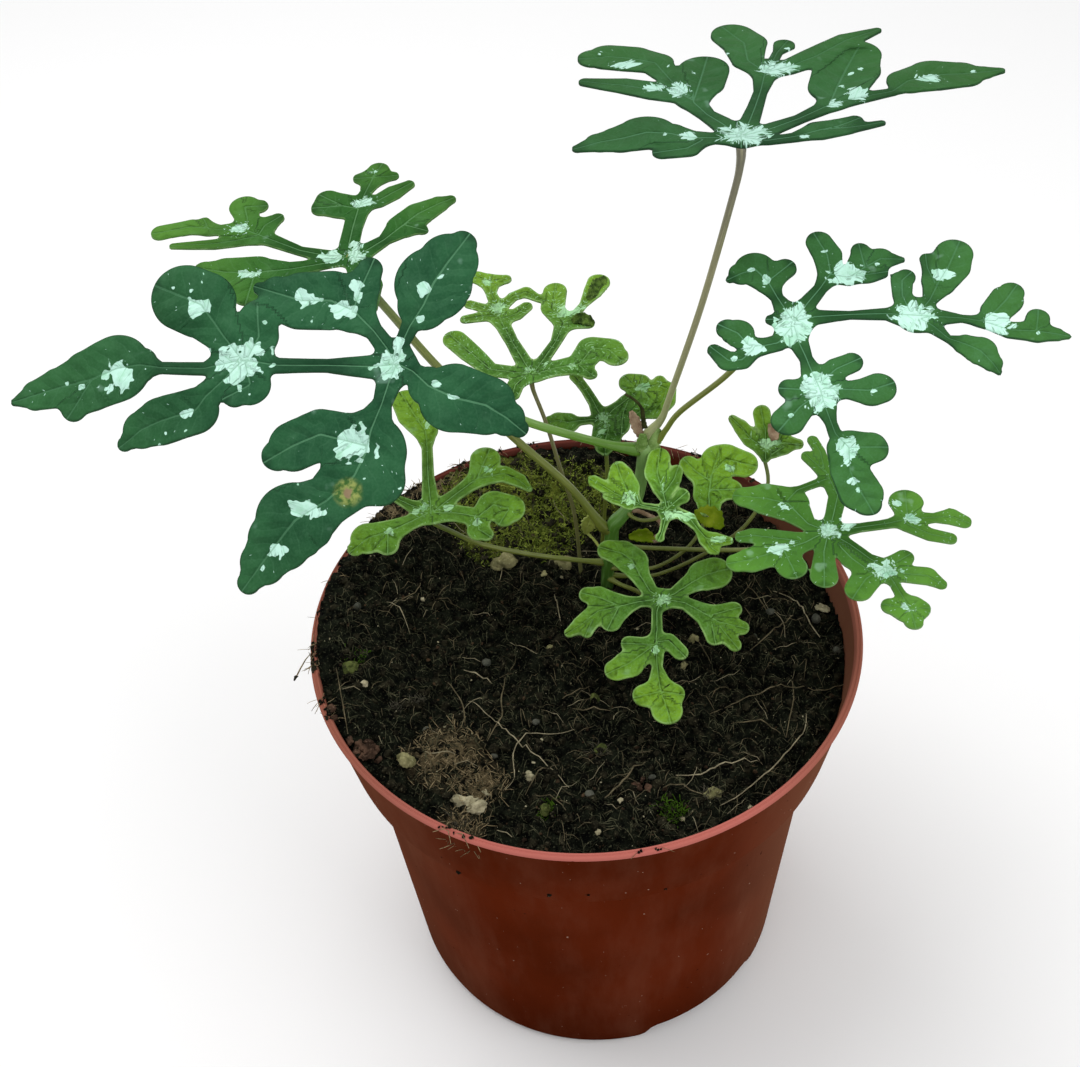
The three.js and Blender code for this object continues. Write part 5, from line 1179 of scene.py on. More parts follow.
def wire_mesh(name: str, strands: Iterable[tuple[Sequence[Vector], float]]) -> bpy.types.Mesh:
    """Turns many thin four-sided strands, in millimetres, into one mesh in metres.

    Args:
        name: The mesh's name.
        strands: Each strand's places and radius; it tapers to its ends.

    Returns:
        The mesh.
    """
    curve = bpy.data.curves.new(name, "CURVE")
    curve.dimensions = "3D"
    curve.bevel_depth = MM
    curve.bevel_resolution = 0
    curve.use_fill_caps = True
    for places, radius in strands:
        spline = curve.splines.new("POLY")
        spline.points.add(len(places) - 1)
        for index, (point, place) in enumerate(zip(spline.points, places)):
            share = index / (len(places) - 1)
            point.co = (*(place * MM), 1.0)
            point.radius = radius * (0.35 + 0.65 * math.sin(math.pi * min(max(share, 0.04), 0.96)) ** 0.5)
    holder = bpy.data.objects.new(name, curve)
    mesh = bpy.data.meshes.new_from_object(holder)
    bpy.data.objects.remove(holder)
    bpy.data.curves.remove(curve)
    return mesh


# Pot


@dataclass(frozen=True)
class NurseryPot:
    """The moulded pot: its wall, rim, collar, rounded foot, drain notches and drain holes."""

    height: float = 105.5
    rim_radius: float = 60.0
    collar_top: float = 59.5
    collar_foot: float = 55.8
    collar_height: float = 23.0
    shoulder_radius: float = 52.1
    base_radius: float = 46.2
    wall: float = 1.1
    floor: float = 2.2
    notch_turns: tuple[float, ...] = (-58.0, 122.0)
    notch_width: float = 34.0
    notch_height: float = 5.1
    notch_reach: float = 4.5
    notch_fade: float = 2.0
    notch_corner: float = 0.2
    hole_ring: float = 27.0
    hole_radius: float = 4.0
    holes: int = 4
    hole_sides: int = 32
    drill_depth: float = 8.0
    band_height: float = 1.3
    weld: float = 0.001
    sharp_turn: float = 38.0
    facets: int = 192

    def outer(self, level: float) -> float:
        """Gives the outside radius.

        Args:
            level: The height.

        Returns:
            The radius there.
        """
        shoulder = self.height - self.collar_height
        if level > shoulder:
            share = (level - shoulder) / self.collar_height
            return self.collar_foot + (self.collar_top - self.collar_foot) * share
        return self.base_radius + (self.shoulder_radius - self.base_radius) * level / shoulder

    def inner(self, level: float) -> float:
        """Gives the inside radius at a height."""
        return self.outer(level) - self.wall

    def profile(self) -> list[tuple[float, float]]:
        """Lists the wall's section, from the middle of the foot up, over the rim and down inside.

        Returns:
            Radius and height of each corner.
        """
        shoulder = self.height - self.collar_height
        band = self.height - self.band_height
        walls = [(self.outer(z), z) for z in (6.0, 12.0, 24.0, 40.0, 56.0, 70.0, shoulder - 4.0)]
        collar = [(self.outer(z), z) for z in (shoulder + 2.0, shoulder + 8.0, shoulder + 15.0, band - 0.5)]
        bead = [(self.rim_radius - drawn, self.height - lowered) for drawn, lowered in (
            (0.3, 1.15), (0.08, 0.9), (0.0, 0.6), (0.1, 0.25), (0.35, 0.04), (0.55, 0.0), (0.7, 0.14),
            (0.85, 0.14), (1.0, 0.0), (1.3, 0.04), (1.55, 0.3))]
        inside = [(self.inner(z), z) for z in (band, shoulder + 9.0, shoulder + self.wall + 0.5)]
        lower = [(self.inner(z), z) for z in (shoulder - 0.2, 70.0, 40.0, 20.0, self.floor + 7.0)]
        return [
            (0.0, 0.5), (self.hole_ring - 6.0, 0.5), (self.base_radius - 9.0, 0.5),
            (self.base_radius - 6.5, 0.0), (self.base_radius - 2.4, 0.0), (self.base_radius - 1.0, 0.4),
            (self.base_radius - 0.2, 1.4), (self.outer(3.0), 3.0), *walls,
            (self.shoulder_radius - 0.1, shoulder - 1.4), (self.shoulder_radius + 0.5, shoulder - 0.7),
            (self.collar_foot - 0.5, shoulder - 0.15), (self.collar_foot, shoulder + 0.5), *collar,
            (self.outer(band), band), *bead, *inside, *lower, (self.inner(self.floor) - 8.0, self.floor),
            (0.0, self.floor),
        ]

    def notch(self, place: Vector) -> float:
        """Says how far a drain notch lifts the foot.

        Args:
            place: A place on the foot.

        Returns:
            The lift, 0 away from the notches.
        """
        radius = math.hypot(place.x, place.y)
        if place.z > self.notch_height or radius < self.base_radius - self.notch_reach - self.notch_fade:
            return 0.0
        turn = math.degrees(math.atan2(place.y, place.x))
        nearest = min(abs((turn - at + 180) % 360 - 180) for at in self.notch_turns)
        half = math.degrees(self.notch_width / 2 / self.base_radius)
        side = clipped((half - nearest) / (half * self.notch_corner))
        deep = clipped((radius - self.base_radius + self.notch_reach + self.notch_fade) / self.notch_fade)
        return self.notch_height * math.sin(side * math.pi / 2) * deep

    def build(self, finish: Material) -> Piece:
        """Spins the section, lifts the notches and opens the drain holes.

        Args:
            finish: The pot's material.

        Returns:
            The pot.
        """
        shape = bmesh.new()
        corners = [shape.verts.new((radius, 0.0, z)) for radius, z in self.profile()]
        edges = [shape.edges.new(pair) for pair in zip(corners, corners[1:])]
        bmesh.ops.spin(shape, geom=corners + edges, cent=(0, 0, 0), axis=(0, 0, 1), angle=math.tau,
                       steps=self.facets, use_merge=True)
        bmesh.ops.remove_doubles(shape, verts=shape.verts, dist=self.weld)
        for vert in shape.verts:
            if vert.co.z < self.notch_height:
                vert.co.z += self.notch(vert.co) * (1 - vert.co.z / self.notch_height)
        bmesh.ops.recalc_face_normals(shape, faces=shape.faces)
        pot = finished("nursery_pot", shape, [finish], ["pot"])
        self.drill(pot)
        return pot

    def drill(self, pot: Piece) -> None:
        """Cuts the round drain holes through the floor.

        Args:
            pot: The pot, whose mesh is changed.
        """
        cutter = bmesh.new()
        for number in range(self.holes):
            turn = math.tau * (number + 0.5) / self.holes
            spot = Matrix.Translation((self.hole_ring * math.cos(turn), self.hole_ring * math.sin(turn), 1.0))
            bmesh.ops.create_cone(cutter, cap_ends=True, segments=self.hole_sides, radius1=self.hole_radius,
                                  radius2=self.hole_radius, depth=self.drill_depth, matrix=spot)
        drill = bpy.data.objects.new("drain_drill", in_metres("drain_drill", cutter))
        bpy.context.scene.collection.objects.link(drill)
        holes = pot.modifiers.new("drain holes", "BOOLEAN")
        holes.operation = "DIFFERENCE"
        holes.object = drill
        result = bpy.data.meshes.new_from_object(pot.evaluated_get(bpy.context.evaluated_depsgraph_get()))
        pot.modifiers.clear()
        pot.data = result
        result.set_sharp_from_angle(angle=math.radians(self.sharp_turn))
        bpy.data.objects.remove(drill)


POT = NurseryPot()


# Potting mix

# The gap to the wall, crumbs made at a time, steps along fibres and roots, and where a hair bends.
EDGE_GAP = 1.2
CRUMB_BATCH = 60
FIBRE_STEP = 1.4
ROOT_STEP = 1.2
HAIR_STEPS = (0, 0.35, 0.7, 1.0)


@dataclass(frozen=True)
class PottingMix:
    """The body of potting mix and its crumbly surface, which is tilted and banks up at one side.

    Clods, lumps and crumbs are pairs: how close they lie, in turns of the pattern a millimetre, and
    how high they stand.
    """

    level: float = 98.3
    tilt: float = 2.4
    bank: float = 7.0
    bank_turn: float = 130.0
    bank_foot: float = 34.0
    bank_width: float = 22.0
    overspill_reach: float = 1.3
    overspill_turn: float = 140.0
    cell: float = 0.5
    clearance: float = 0.3
    depth: float = 8.0
    swell: float = 0.8
    clods: Span = (0.13, 1.6)
    lumps: Span = (0.3, 1.9)
    crumbs: tuple[Span, ...] = ((0.9, 0.7), (2.1, 0.6))

    def coarse(self, x: float, y: float) -> float:
        """Gives the height of the settled surface, without clods.

        Args:
            x: Place to the right.
            y: Place to the back.

        Returns:
            The height.
        """
        tilt = (-x * 0.8 - y * 0.35) / POT.rim_radius * self.tilt
        swell = math.sin(x * 0.11 + 1.3) * math.cos(y * 0.13 - 0.4) * self.swell
        out = clipped((math.hypot(x, y) - self.bank_foot) / self.bank_width)
        apart = (math.degrees(math.atan2(y, x)) - self.bank_turn + 180) % 360 - 180
        side = max(math.cos(math.radians(apart * 0.8)), 0.0)
        return self.level + tilt + swell + self.bank * side * out * out * (3 - 2 * out)

    def overspill(self, x: float, y: float) -> float:
        """Says how far the soil lies over the rim, from 0 to 1, in the direction of a place."""
        apart = math.atan2(y, x) - math.radians(self.overspill_turn)
        return max(math.cos(apart * 2.4), 0.0) if y > 0 else 0.0

    def height(self, x: float, y: float) -> float:
        """Gives the height of the crumbly surface.

        Args:
            x: Place to the right.
            y: Place to the back.

        Returns:
            The height.
        """
        place = Vector((x, y, 4.0))
        fine, deep = self.clods
        clods = noise.fractal(place * fine, 1.0, 2.0, 2) * deep
        fine, deep = self.lumps
        lumps = (0.5 - noise.turbulence(place * fine, 2, True, amplitude_scale=0.5)) * deep
        crumbs = sum(noise.noise(place * fine) * deep for fine, deep in self.crumbs)
        near_wall = min((POT.inner(self.level) - math.hypot(x, y)) / 3.0, 1.0)
        return self.coarse(x, y) + clods * max(near_wall, 0.2) + lumps + crumbs

    def ground(self, x: float, y: float, sunk: float) -> float:
        """Gives the height of something that may lie so far under the settled surface."""
        return max(self.height(x, y), self.coarse(x, y) - sunk)

    def holds(self, x: float, y: float) -> bool:
        """Says whether a place on the surface is clear of the wall."""
        return math.hypot(x, y) <= POT.inner(self.level) - EDGE_GAP

    def spot(self, draw: random.Random, margin: float = 2.0) -> Span:
        """Draws a random place on the surface.

        Args:
            draw: The random draw.
            margin: How far it stays from the wall.

        Returns:
            The place.
        """
        turn = draw.uniform(0, math.tau)
        wall = POT.inner(self.coarse(56 * math.cos(turn), 56 * math.sin(turn)))
        reach = math.sqrt(draw.random()) * (wall - margin)
        return reach * math.cos(turn), reach * math.sin(turn)

    def build(self) -> Piece:
        """Builds the body of soil with its crumbly top.

        Returns:
            The soil.
        """
        shape = bmesh.new()
        reach = POT.inner(self.level) - self.clearance
        count = round(reach / self.cell) * 2
        bmesh.ops.create_grid(shape, x_segments=count, y_segments=count, size=reach)
        outside = [face for face in shape.faces if face.calc_center_median().length > reach - self.cell * 0.4]
        bmesh.ops.delete(shape, geom=outside, context="FACES")
        for vert in shape.verts:
            if vert.is_boundary:
                ahead = vert.co.xy.normalized()
                wall = POT.inner(self.coarse(*(ahead * reach)))
                vert.co.xy = ahead * (wall - 0.1 + self.overspill_reach * self.overspill(*ahead))
        edge_band = [v for v in shape.verts if v.co.length > reach - 2.0 and not v.is_boundary]
        bmesh.ops.smooth_vert(shape, verts=edge_band, factor=0.5, use_axis_x=True, use_axis_y=True)
        rim = [edge for edge in shape.edges if edge.is_boundary]
        self.cover(shape)
        below = self.level - self.depth
        knee = POT.height - POT.collar_height - 1.0
        section = ((below, POT.inner(below) - 0.5), (knee, 50.4), (POT.floor + 8.0, POT.inner(10.0) - 1.0),
                   (POT.floor + 0.3, 34.0))
        for level, radius in section:
            grown = bmesh.ops.extrude_edge_only(shape, edges=rim)["geom"]
            for item in grown:
                if isinstance(item, bmesh.types.BMVert):
                    item.co.xy = item.co.xy.normalized() * radius
                    item.co.z = level
            rim = [item for item in grown if isinstance(item, bmesh.types.BMEdge)]
        bmesh.ops.holes_fill(shape, edges=rim)
        bmesh.ops.recalc_face_normals(shape, faces=shape.faces)
        return finished("potting_mix", shape, [material_of(POTTING_MIX)], ["soil"])

    def cover(self, shape: Mesh) -> None:
        """Lifts the surface and stores where moss and root mat grow on it.

        Args:
            shape: The flat surface.
        """
        covers = {name: shape.verts.layers.float.new(name) for name in ("moss", "straw")}
        for vert in shape.verts:
            x, y, _ = vert.co
            vert.co.z = self.height(x, y)
            for name, spots in (("moss", MOSS_SPOTS), ("straw", STRAW_SPOTS)):
                vert[covers[name]] = max(
                    0.0, *(1.6 - 1.6 * math.hypot(x - at_x, y - at_y) / width for at_x, at_y, width in spots))


MIX = PottingMix()


def add_crumb(shape: Mesh, place: Sequence[float], radius: float, draw: random.Random, detail: int = 1,
              rough: float = 0.5) -> None:
    """Adds one rough crumb.

    Args:
        shape: The mesh to add to.
        place: Its middle.
        radius: Its size.
        draw: The random draw.
        detail: How finely it is faceted.
        rough: How uneven it is.
    """
    verts = bmesh.ops.create_icosphere(shape, subdivisions=detail, radius=radius)["verts"]
    stretch = Vector((1.0, draw.uniform(0.55, 1.0), draw.uniform(0.5, 0.9)))
    shift = Vector((draw.uniform(0, 50), draw.uniform(0, 50), draw.uniform(0, 50)))
    for vert in verts:
        vert.co *= 1 + rough * noise.noise(vert.co / radius * 1.2 + shift) * 1.6
        if detail > 1:
            vert.co *= 1 + rough * 0.4 * noise.noise(vert.co / radius * 3.5 + shift)
        vert.co *= stretch
    turn = Matrix.Rotation(draw.uniform(0, math.tau), 4, "Z")
    tip = Matrix.Rotation(draw.uniform(-0.7, 0.7), 4, "X")
    bmesh.ops.transform(shape, matrix=Matrix.Translation(place) @ (turn @ tip), verts=verts)


def bent_hair(foot: Vector, lean: Vector, size: float, curl: Vector) -> list[Vector]:
    """Draws a hair of one size that leans out from its foot and curls over."""
    return [foot + lean * (size * share) + curl * (share * share) for share in HAIR_STEPS]


@dataclass(frozen=True)
class Litter:
    """What lies on the mix as one piece of one finish, set out by its own random draw."""

    name: str
    finish: EarthFinish
    seed: int

    def show(self, strands: Sequence[tuple[Sequence[Vector], float]]) -> None:
        """Shows strands, each one's places and radius, as the piece."""
        finished(self.name, wire_mesh(self.name, strands), [material_of(self.finish)])


@dataclass(frozen=True)
class Crumbs(Litter):
    """Scattered crumbs, with the span of their radii."""

    count: int
    sizes: Span

    def build(self) -> None:
        """Builds the piece in batches, which keeps the operators fast."""
        draw = random.Random(self.seed)
        shape = bmesh.new()
        batch = bmesh.new()
        mesh = bpy.data.meshes.new(self.name)
        small, large = self.sizes
        for index in range(self.count):
            x, y = MIX.spot(draw, 0.8)
            radius = small + (large - small) * draw.random() ** 3
            add_crumb(batch, (x, y, MIX.height(x, y) + radius * 0.15), radius, draw)
            if (index + 1) % CRUMB_BATCH == 0 or index == self.count - 1:
                batch.to_mesh(mesh)
                shape.from_mesh(mesh)
                batch.clear()
        batch.free()
        bpy.data.meshes.remove(mesh)
        finished(self.name, shape, [material_of(self.finish)], smooth=False)


@dataclass(frozen=True)
class Fibres(Litter):
    """Scattered fibres that arch over the surface, and roots that lie at given places."""

    count: int
    length: Span
    radius: Span
    lift: float
    bend: float
    placed: Sequence[tuple[float, Chain]] = ()

    def strand(self, draw: random.Random, start: Span, length: float) -> list[Vector]:
        """Draws one fibre that lies over the surface.

        Args:
            draw: The random draw.
            start: Where it starts.
            length: Its length.

        Returns:
            Places along it.
        """
        x, y = start
        heading = draw.uniform(0, math.tau)
        turn = draw.uniform(-self.bend, self.bend)
        steps = max(3, round(length / FIBRE_STEP))
        hump = draw.uniform(0.0, 1.0) * self.lift
        places = []
        for index in range(steps + 1):
            if not MIX.holds(x, y):
                break
            arch = hump * math.sin(math.pi * index / steps) + draw.uniform(-0.1, 0.25)
            places.append(Vector((x, y, MIX.height(x, y) + 0.15 + arch)))
            heading += turn + draw.uniform(-self.bend, self.bend) * 0.6
            x += math.cos(heading) * length / steps
            y += math.sin(heading) * length / steps
        return places

    def build(self) -> None:
        """Builds the piece."""
        draw = random.Random(self.seed)
        strands = []
        for thick, route in self.placed:
            places = smooth_route([(x, y, MIX.coarse(x, y)) for x, y in route], ROOT_STEP)
            hump = draw.uniform(0.5, 1.3)
            for index, place in enumerate(places):
                arch = hump * math.sin(math.pi * (index / (len(places) - 1)))
                place.z = MIX.ground(place.x, place.y, 0.4) + thick + 0.2 + arch
            strands.append((places, thick))
        while len(strands) < self.count + len(self.placed):
            places = self.strand(draw, MIX.spot(draw), draw.uniform(*self.length))
            if len(places) > 3:
                strands.append((places, draw.uniform(*self.radius)))
        self.show(strands)


@dataclass(frozen=True)
class Tufts(Litter):
    """Patches of short curled moss or matted root hair: each one's place, radius and number of hairs."""

    patches: Sequence[tuple[float, float, float, int]]
    length: Span
    radius: float

    def build(self) -> None:
        """Builds the piece."""
        draw = random.Random(self.seed)
        strands = []
        for x, y, width, count in self.patches:
            for _ in range(count):
                turn = draw.uniform(0, math.tau)
                reach = width * draw.random() ** 0.7
                foot_x = x + reach * math.cos(turn)
                foot_y = y + reach * math.sin(turn)
                if not MIX.holds(foot_x, foot_y):
                    continue
                foot = Vector((foot_x, foot_y, MIX.height(foot_x, foot_y) - 0.2))
                lean = Vector((draw.uniform(-1, 1), draw.uniform(-1, 1), draw.uniform(0.3, 1.1))).normalized()
                size = draw.uniform(*self.length)
                curl = Vector((draw.uniform(-1, 1), draw.uniform(-1, 1), -0.5)) * size * 0.35
                strands.append((bent_hair(foot, lean, size, curl), self.radius * draw.uniform(0.7, 1.3)))
        self.show(strands)


def with_hairs(spots: Sequence[tuple[float, float, float]],
               dense: int) -> list[tuple[float, float, float, int]]:
    """Adds a number of hairs, so many for each millimetre of radius, to patches."""
    return [(x, y, width, round(width * dense)) for x, y, width in spots]


@dataclass(frozen=True)
class Grains(Litter):
    """Larger grains that lie at given places: each one's place and radius."""

    grains: Sequence[tuple[float, float, float]]
    rough: float

    def build(self) -> None:
        """Builds the piece."""
        draw = random.Random(self.seed)
        shape = bmesh.new()
        for x, y, radius in self.grains:
            place = (x, y, MIX.ground(x, y, 0.3) + radius * 0.4)
            add_crumb(shape, place, radius, draw, 4 if radius > 1.0 else 3, self.rough)
        finished(self.name, shape, [material_of(self.finish)])


@dataclass(frozen=True)
class Spill:
    """Crumbs and root hair that lie on the rim and stick to the wall."""

    crumb: EarthFinish
    hair: EarthFinish
    seed: int
    rim_depth: float = 5
    skin: float = 0.1
    crumb_radius: Span = (0.15, 0.5)
    hair_length: Span = (1.0, 3.2)
    hair_radius: Span = (0.05, 0.09)
    hanging_radius: float = 0.12
    slacks: tuple[float, ...] = (0.0, 0.25, 0.5)
    tail: tuple[float, ...] = (0.0, 0.3, 0.6, 0.9, 1.2)

    def settle(self, x: float, y: float, level: float) -> tuple[float, float, float]:
        """Lays a crumb down on the wall, on the rim or on the soil beside it.

        Args:
            x: Its place to the right.
            y: Its place to the back.
            level: The height of crumbs that stick to the wall.

        Returns:
            Where it lies.
        """
        reach = math.hypot(x, y)
        if level < POT.height - self.rim_depth:
            share = (POT.outer(level) + self.skin) / reach
            return x * share, y * share, level
        if reach > POT.rim_radius - 0.2:
            share = (POT.rim_radius - 0.5) / reach
            x, y, reach = x * share, y * share, reach * share
        if reach > POT.inner(POT.height):
            return x, y, POT.height + self.skin
        return x, y, MIX.height(x, y) + self.skin

    def build(self) -> None:
        """Builds the two pieces."""
        draw = random.Random(self.seed)
        shape = bmesh.new()
        strands = []
        for x, y, z, width, crumbs, hairs in SPILLS:
            for _ in range(crumbs):
                place = self.settle(x + draw.gauss(0, width / 2), y + draw.gauss(0, width / 2), z)
                add_crumb(shape, place, draw.uniform(*self.crumb_radius), draw)
            for _ in range(hairs):
                foot = Vector(self.settle(x + draw.gauss(0, width / 2), y + draw.gauss(0, width / 2), z))
                lean = Vector((draw.gauss(0, 1), draw.gauss(0, 1), draw.uniform(-0.4, 0.5))).normalized()
                curl = Vector((draw.gauss(0, 0.5), draw.gauss(0, 0.5), -0.5))
                hair = bent_hair(foot, lean, draw.uniform(*self.hair_length), curl)
                strands.append((hair, draw.uniform(*self.hair_radius)))
        rootlet = [Vector(place) for place in HANGING]
        for slack in self.slacks:
            pull = Vector((0, slack, -slack))
            strands.append(([place + pull * step for step, place in enumerate(rootlet)], self.hanging_radius))
        for step in self.tail:
            add_crumb(shape, rootlet[-1] + Vector((-0.3, -0.6, -0.3)) * step, 0.45 - 0.2 * step, draw)
        finished("rim_crumbs", shape, [material_of(self.crumb)], smooth=False)
        finished("rim_hairs", wire_mesh("rim_hairs", strands), [material_of(self.hair)])


MOSS_SPOTS = ((-14, 45, 14), (-3, 42, 11), (-20, 34, 9), (-27, 44, 9), (7, 45, 8), (-8, 34, 8))
STRAW_SPOTS = ((-31, -31, 9), (-24, -36, 6), (-33, 47, 7), (-42, 38, 6), (-28, -47, 5))

HANGING = ((-59.2, -3, 105.6), (-60.8, -5, 105.3), (-62, -7.2, 104.8), (-62.8, -8.9, 104.4))
SPILLS = (
    (-59.2, -2, 105.4, 1.8, 34, 16), (-59.4, -7, 105.4, 1.8, 34, 20),
    (-56.5, -17, 105.2, 1.4, 14, 12), (-54.5, -20.5, 105.3, 1.6, 30, 16), (-29.5, -49.5, 105.3, 1.8, 26, 30),
    (-25.5, -52, 105.5, 1.5, 20, 24), (6.5, -59.2, 105.6, 0.5, 3, 1), (10.4, -58.8, 105.6, 0.5, 3, 1),
    (-46, 36, 105.6, 3, 40, 40), (-37, 46, 105.6, 3, 40, 44), (26, 51, 105.2, 2.4, 14, 30),
    (36, 44, 105.2, 2.4, 14, 26), (12, 58, 105.2, 2, 30, 24), (19, 56.5, 105.2, 1.6, 16, 20),
    (-10, 58.5, 105.2, 3, 16, 12), (-26, 53, 105.2, 2.6, 26, 26), (-38, 45, 105.3, 2.4, 26, 20),
    (31, 50, 105, 2, 12, 24), (-48, 33, 105.2, 2, 18, 14), (-55, 18, 105.2, 1.6, 16, 12),
    (-29.6, -47.4, 84.5, 0.5, 3, 0), (-3.7, -55.6, 87, 0.4, 2, 0), (11.7, -53.4, 84.5, 0.4, 2, 0),
    (-11.6, -54.8, 86, 0.4, 2, 0), (-57.5, 8, 105.2, 1.6, 12, 10), (-41, 41, 105.3, 2.4, 24, 20),
    (-18, 56, 105.3, 2.4, 20, 18), (4, 58.6, 105.2, 1.8, 14, 14), (42, 40, 103.8, 1.8, 8, 16),
)
PERLITE_GRAINS = (
    (-28, -41, 2.0), (-25, -43, 1.8), (-23, -39, 1.0), (-26, -41.5, 1.4), (-14, -36, 1.0), (16, -48, 0.6),
    (4, -44, 0.6), (-1, -51, 0.6), (-48, -12, 0.9), (-36, 14, 0.5), (-31, -23, 0.4), (-13, -33, 0.4),
    (-11, -26, 0.4), (54, 6, 1.3), (-4, 20, 0.4), (12, 3, 0.4), (30, -46, 0.4),
)
LIME_GRAINS = (
    (-17, 25, 2.6), (-3, 25, 2.1), (-8, 21, 0.7), (-39, -33, 1.8), (24, -1, 1.2), (33, -3, 1.0),
    (21, -8, 1.0), (-8, -1, 0.8), (23, -42, 1.6),
)
GREY_GRAINS = (
    (-22, -4, 1.0), (-50, 9, 1.0), (-35, -23, 0.8), (-21, -30, 0.8), (52, 3, 1.2), (42, 5, 1.0), (38, 0, 0.8),
    (11, -38, 0.8), (-2, -41, 1.0), (55, -6, 0.9), (-12, -22, 0.9),
)
BROWN_LUMPS = (
    (-47, -29, 1.5), (-48.5, -28, 1.2), (-46, -30.5, 1.2), (-49.3, -29.8, 1.0), (-45.3, -28.4, 1.0),
    (-47.6, -31, 0.9), (-50.5, -27, 1.0), (-46.6, -27.2, 1.0), (-44.6, -31.5, 0.8), (-55, -19, 1.1),
    (-54.2, -20.6, 0.9), (8, -40, 1.1), (10, -40.5, 0.9), (9, -38.8, 0.7),
)
MOSS_BALLS = ((-51, -8, 1.7), (-11, -44, 1.3), (1, -16, 1.6), (1, -30, 1.3))
GREEN_PATCHES = ((14, -46, 3.2, 170), (-11, -44, 2.0, 60), (-50, -5, 4, 60))
HAIR_PATCHES = (
    (-37, -16, 1.8, 50), (-41, -17, 1.8, 50), (1, -30, 2, 60), (23, -42, 2.6, 90), (-28, -47, 3.0, 110),
    (55, -6, 1.6, 40),
)
PALE_ROOTS = (
    (0.16, ((-27, -6), (-21, -11))),
    (0.13, ((-26, -16), (-22, -20), (-19, -24), (-15, -29), (-10, -34), (-6, -39))),
    (0.15, ((-35, -30), (-33, -30.5), (-29, -30))),
    (0.16, ((44, 13), (48, 9), (50, 3), (52, -2))),
    (0.15, ((45, -24), (44, -28), (41, -32), (37, -36), (33, -39), (29, -42), (24, -45))),
    (0.18, ((16, -37), (21, -37.5), (25, -36), (29, -35), (33, -35))),
    (0.12, ((-19, -39), (-17, -36), (-17, -31), (-15, -27), (-13, -25), (-9, -25), (-4, -24))),
    (0.12, ((-6, 15), (-5, 4))),
    (0.12, ((-21, -48), (-18, -50))),
)
BROWN_ROOTS = (
    (0.14, ((-31, -9), (-28, -15), (-27, -19), (-27, -23), (-29, -26))),
    (0.16, ((-18, -9), (-19, -16), (-19, -21), (-21, -24), (-23, -28))),
    (0.13, ((-44, 8), (-41, 12), (-37, 17), (-36, 22))),
    (0.12, ((-30, 19), (-33, 15))),
    (0.13, ((-54, -8), (-52, -19), (-51, -25))),
    (0.13, ((-13, -40), (-10, -42), (-7, -45))),
    (0.13, ((-15, -40), (-12, -36), (-8, -33))),
    (0.14, ((2, -11), (-2, -14), (-6, -16))),
    (0.16, ((-4, -19), (4, -20))),
    (0.14, ((38, 15), (41, 8), (42, 6))),
    (0.15, ((47, 4), (44, 1), (39, -3), (36, -5))),
    (0.12, ((25, -2), (27, -8))),
    (0.15, ((25, -22), (31, -20), (36, -18), (40, -16), (49, -17), (55, -15))),
    (0.16, ((29, -25), (35, -26), (39, -28))),
    (0.17, ((13, -41), (17, -41), (21, -42))),
    (0.13, ((44, -13), (43, -20), (41, -26), (40, -29))),
    (0.2, ((1, -43), (5, -39), (10, -34))),
)

POTTING_MIX = EarthFinish("potting mix", (3, 4, 3), (26, 29, 20), (92, 94, 72), 0.5, bump_depth=0.0014)
PEAT = EarthFinish("peat crumb", (6, 6, 4), (42, 40, 29), (108, 102, 80), 0.5)
BARK = EarthFinish("bark crumb", (34, 26, 19), (76, 60, 44), (112, 94, 74), 0.35)
DARK_ROOT = EarthFinish("dark rootlet", (38, 39, 28), (90, 90, 68), (146, 144, 116), 0.5)
BROWN_ROOT = EarthFinish("brown rootlet", (76, 70, 52), (116, 106, 82), (150, 140, 114), 0.4)
PALE_ROOT = EarthFinish("pale root", (128, 120, 96), (172, 162, 132), (204, 196, 166), 0.4)
OLIVE_MOSS = EarthFinish("olive moss", (88, 104, 36), (166, 182, 80), (206, 214, 130), 0.4, patch_scale=900.0)
ROOT_MAT = EarthFinish("tan root mat", (98, 86, 62), (170, 152, 116), (206, 190, 152), 0.4, patch_scale=900.0)
GREEN_MOSS = EarthFinish("green moss", (28, 44, 10), (66, 96, 24), (104, 136, 44), 0.4, patch_scale=900.0)
ROOT_HAIR = EarthFinish("grey root hair", (54, 52, 44), (96, 92, 78), (134, 130, 112), 0.4, patch_scale=900.0)
PERLITE = EarthFinish("perlite", (128, 122, 96), (186, 178, 146), (222, 216, 188), 0.5, bump_depth=0.0003)
OCHRE = EarthFinish("ochre grain", (98, 96, 64), (148, 143, 102), (196, 190, 152), 0.4, bump_depth=0.0003)
GREY = EarthFinish("grey grain", (60, 62, 54), (92, 92, 82), (128, 128, 116), 0.4, bump_depth=0.0002)
BROWN = EarthFinish("brown lump", (48, 36, 28), (92, 70, 56), (138, 112, 94), 0.5)
MOSS_BALL = EarthFinish("moss ball", (54, 62, 30), (96, 104, 56), (138, 146, 98), 0.4, patch_scale=900.0)

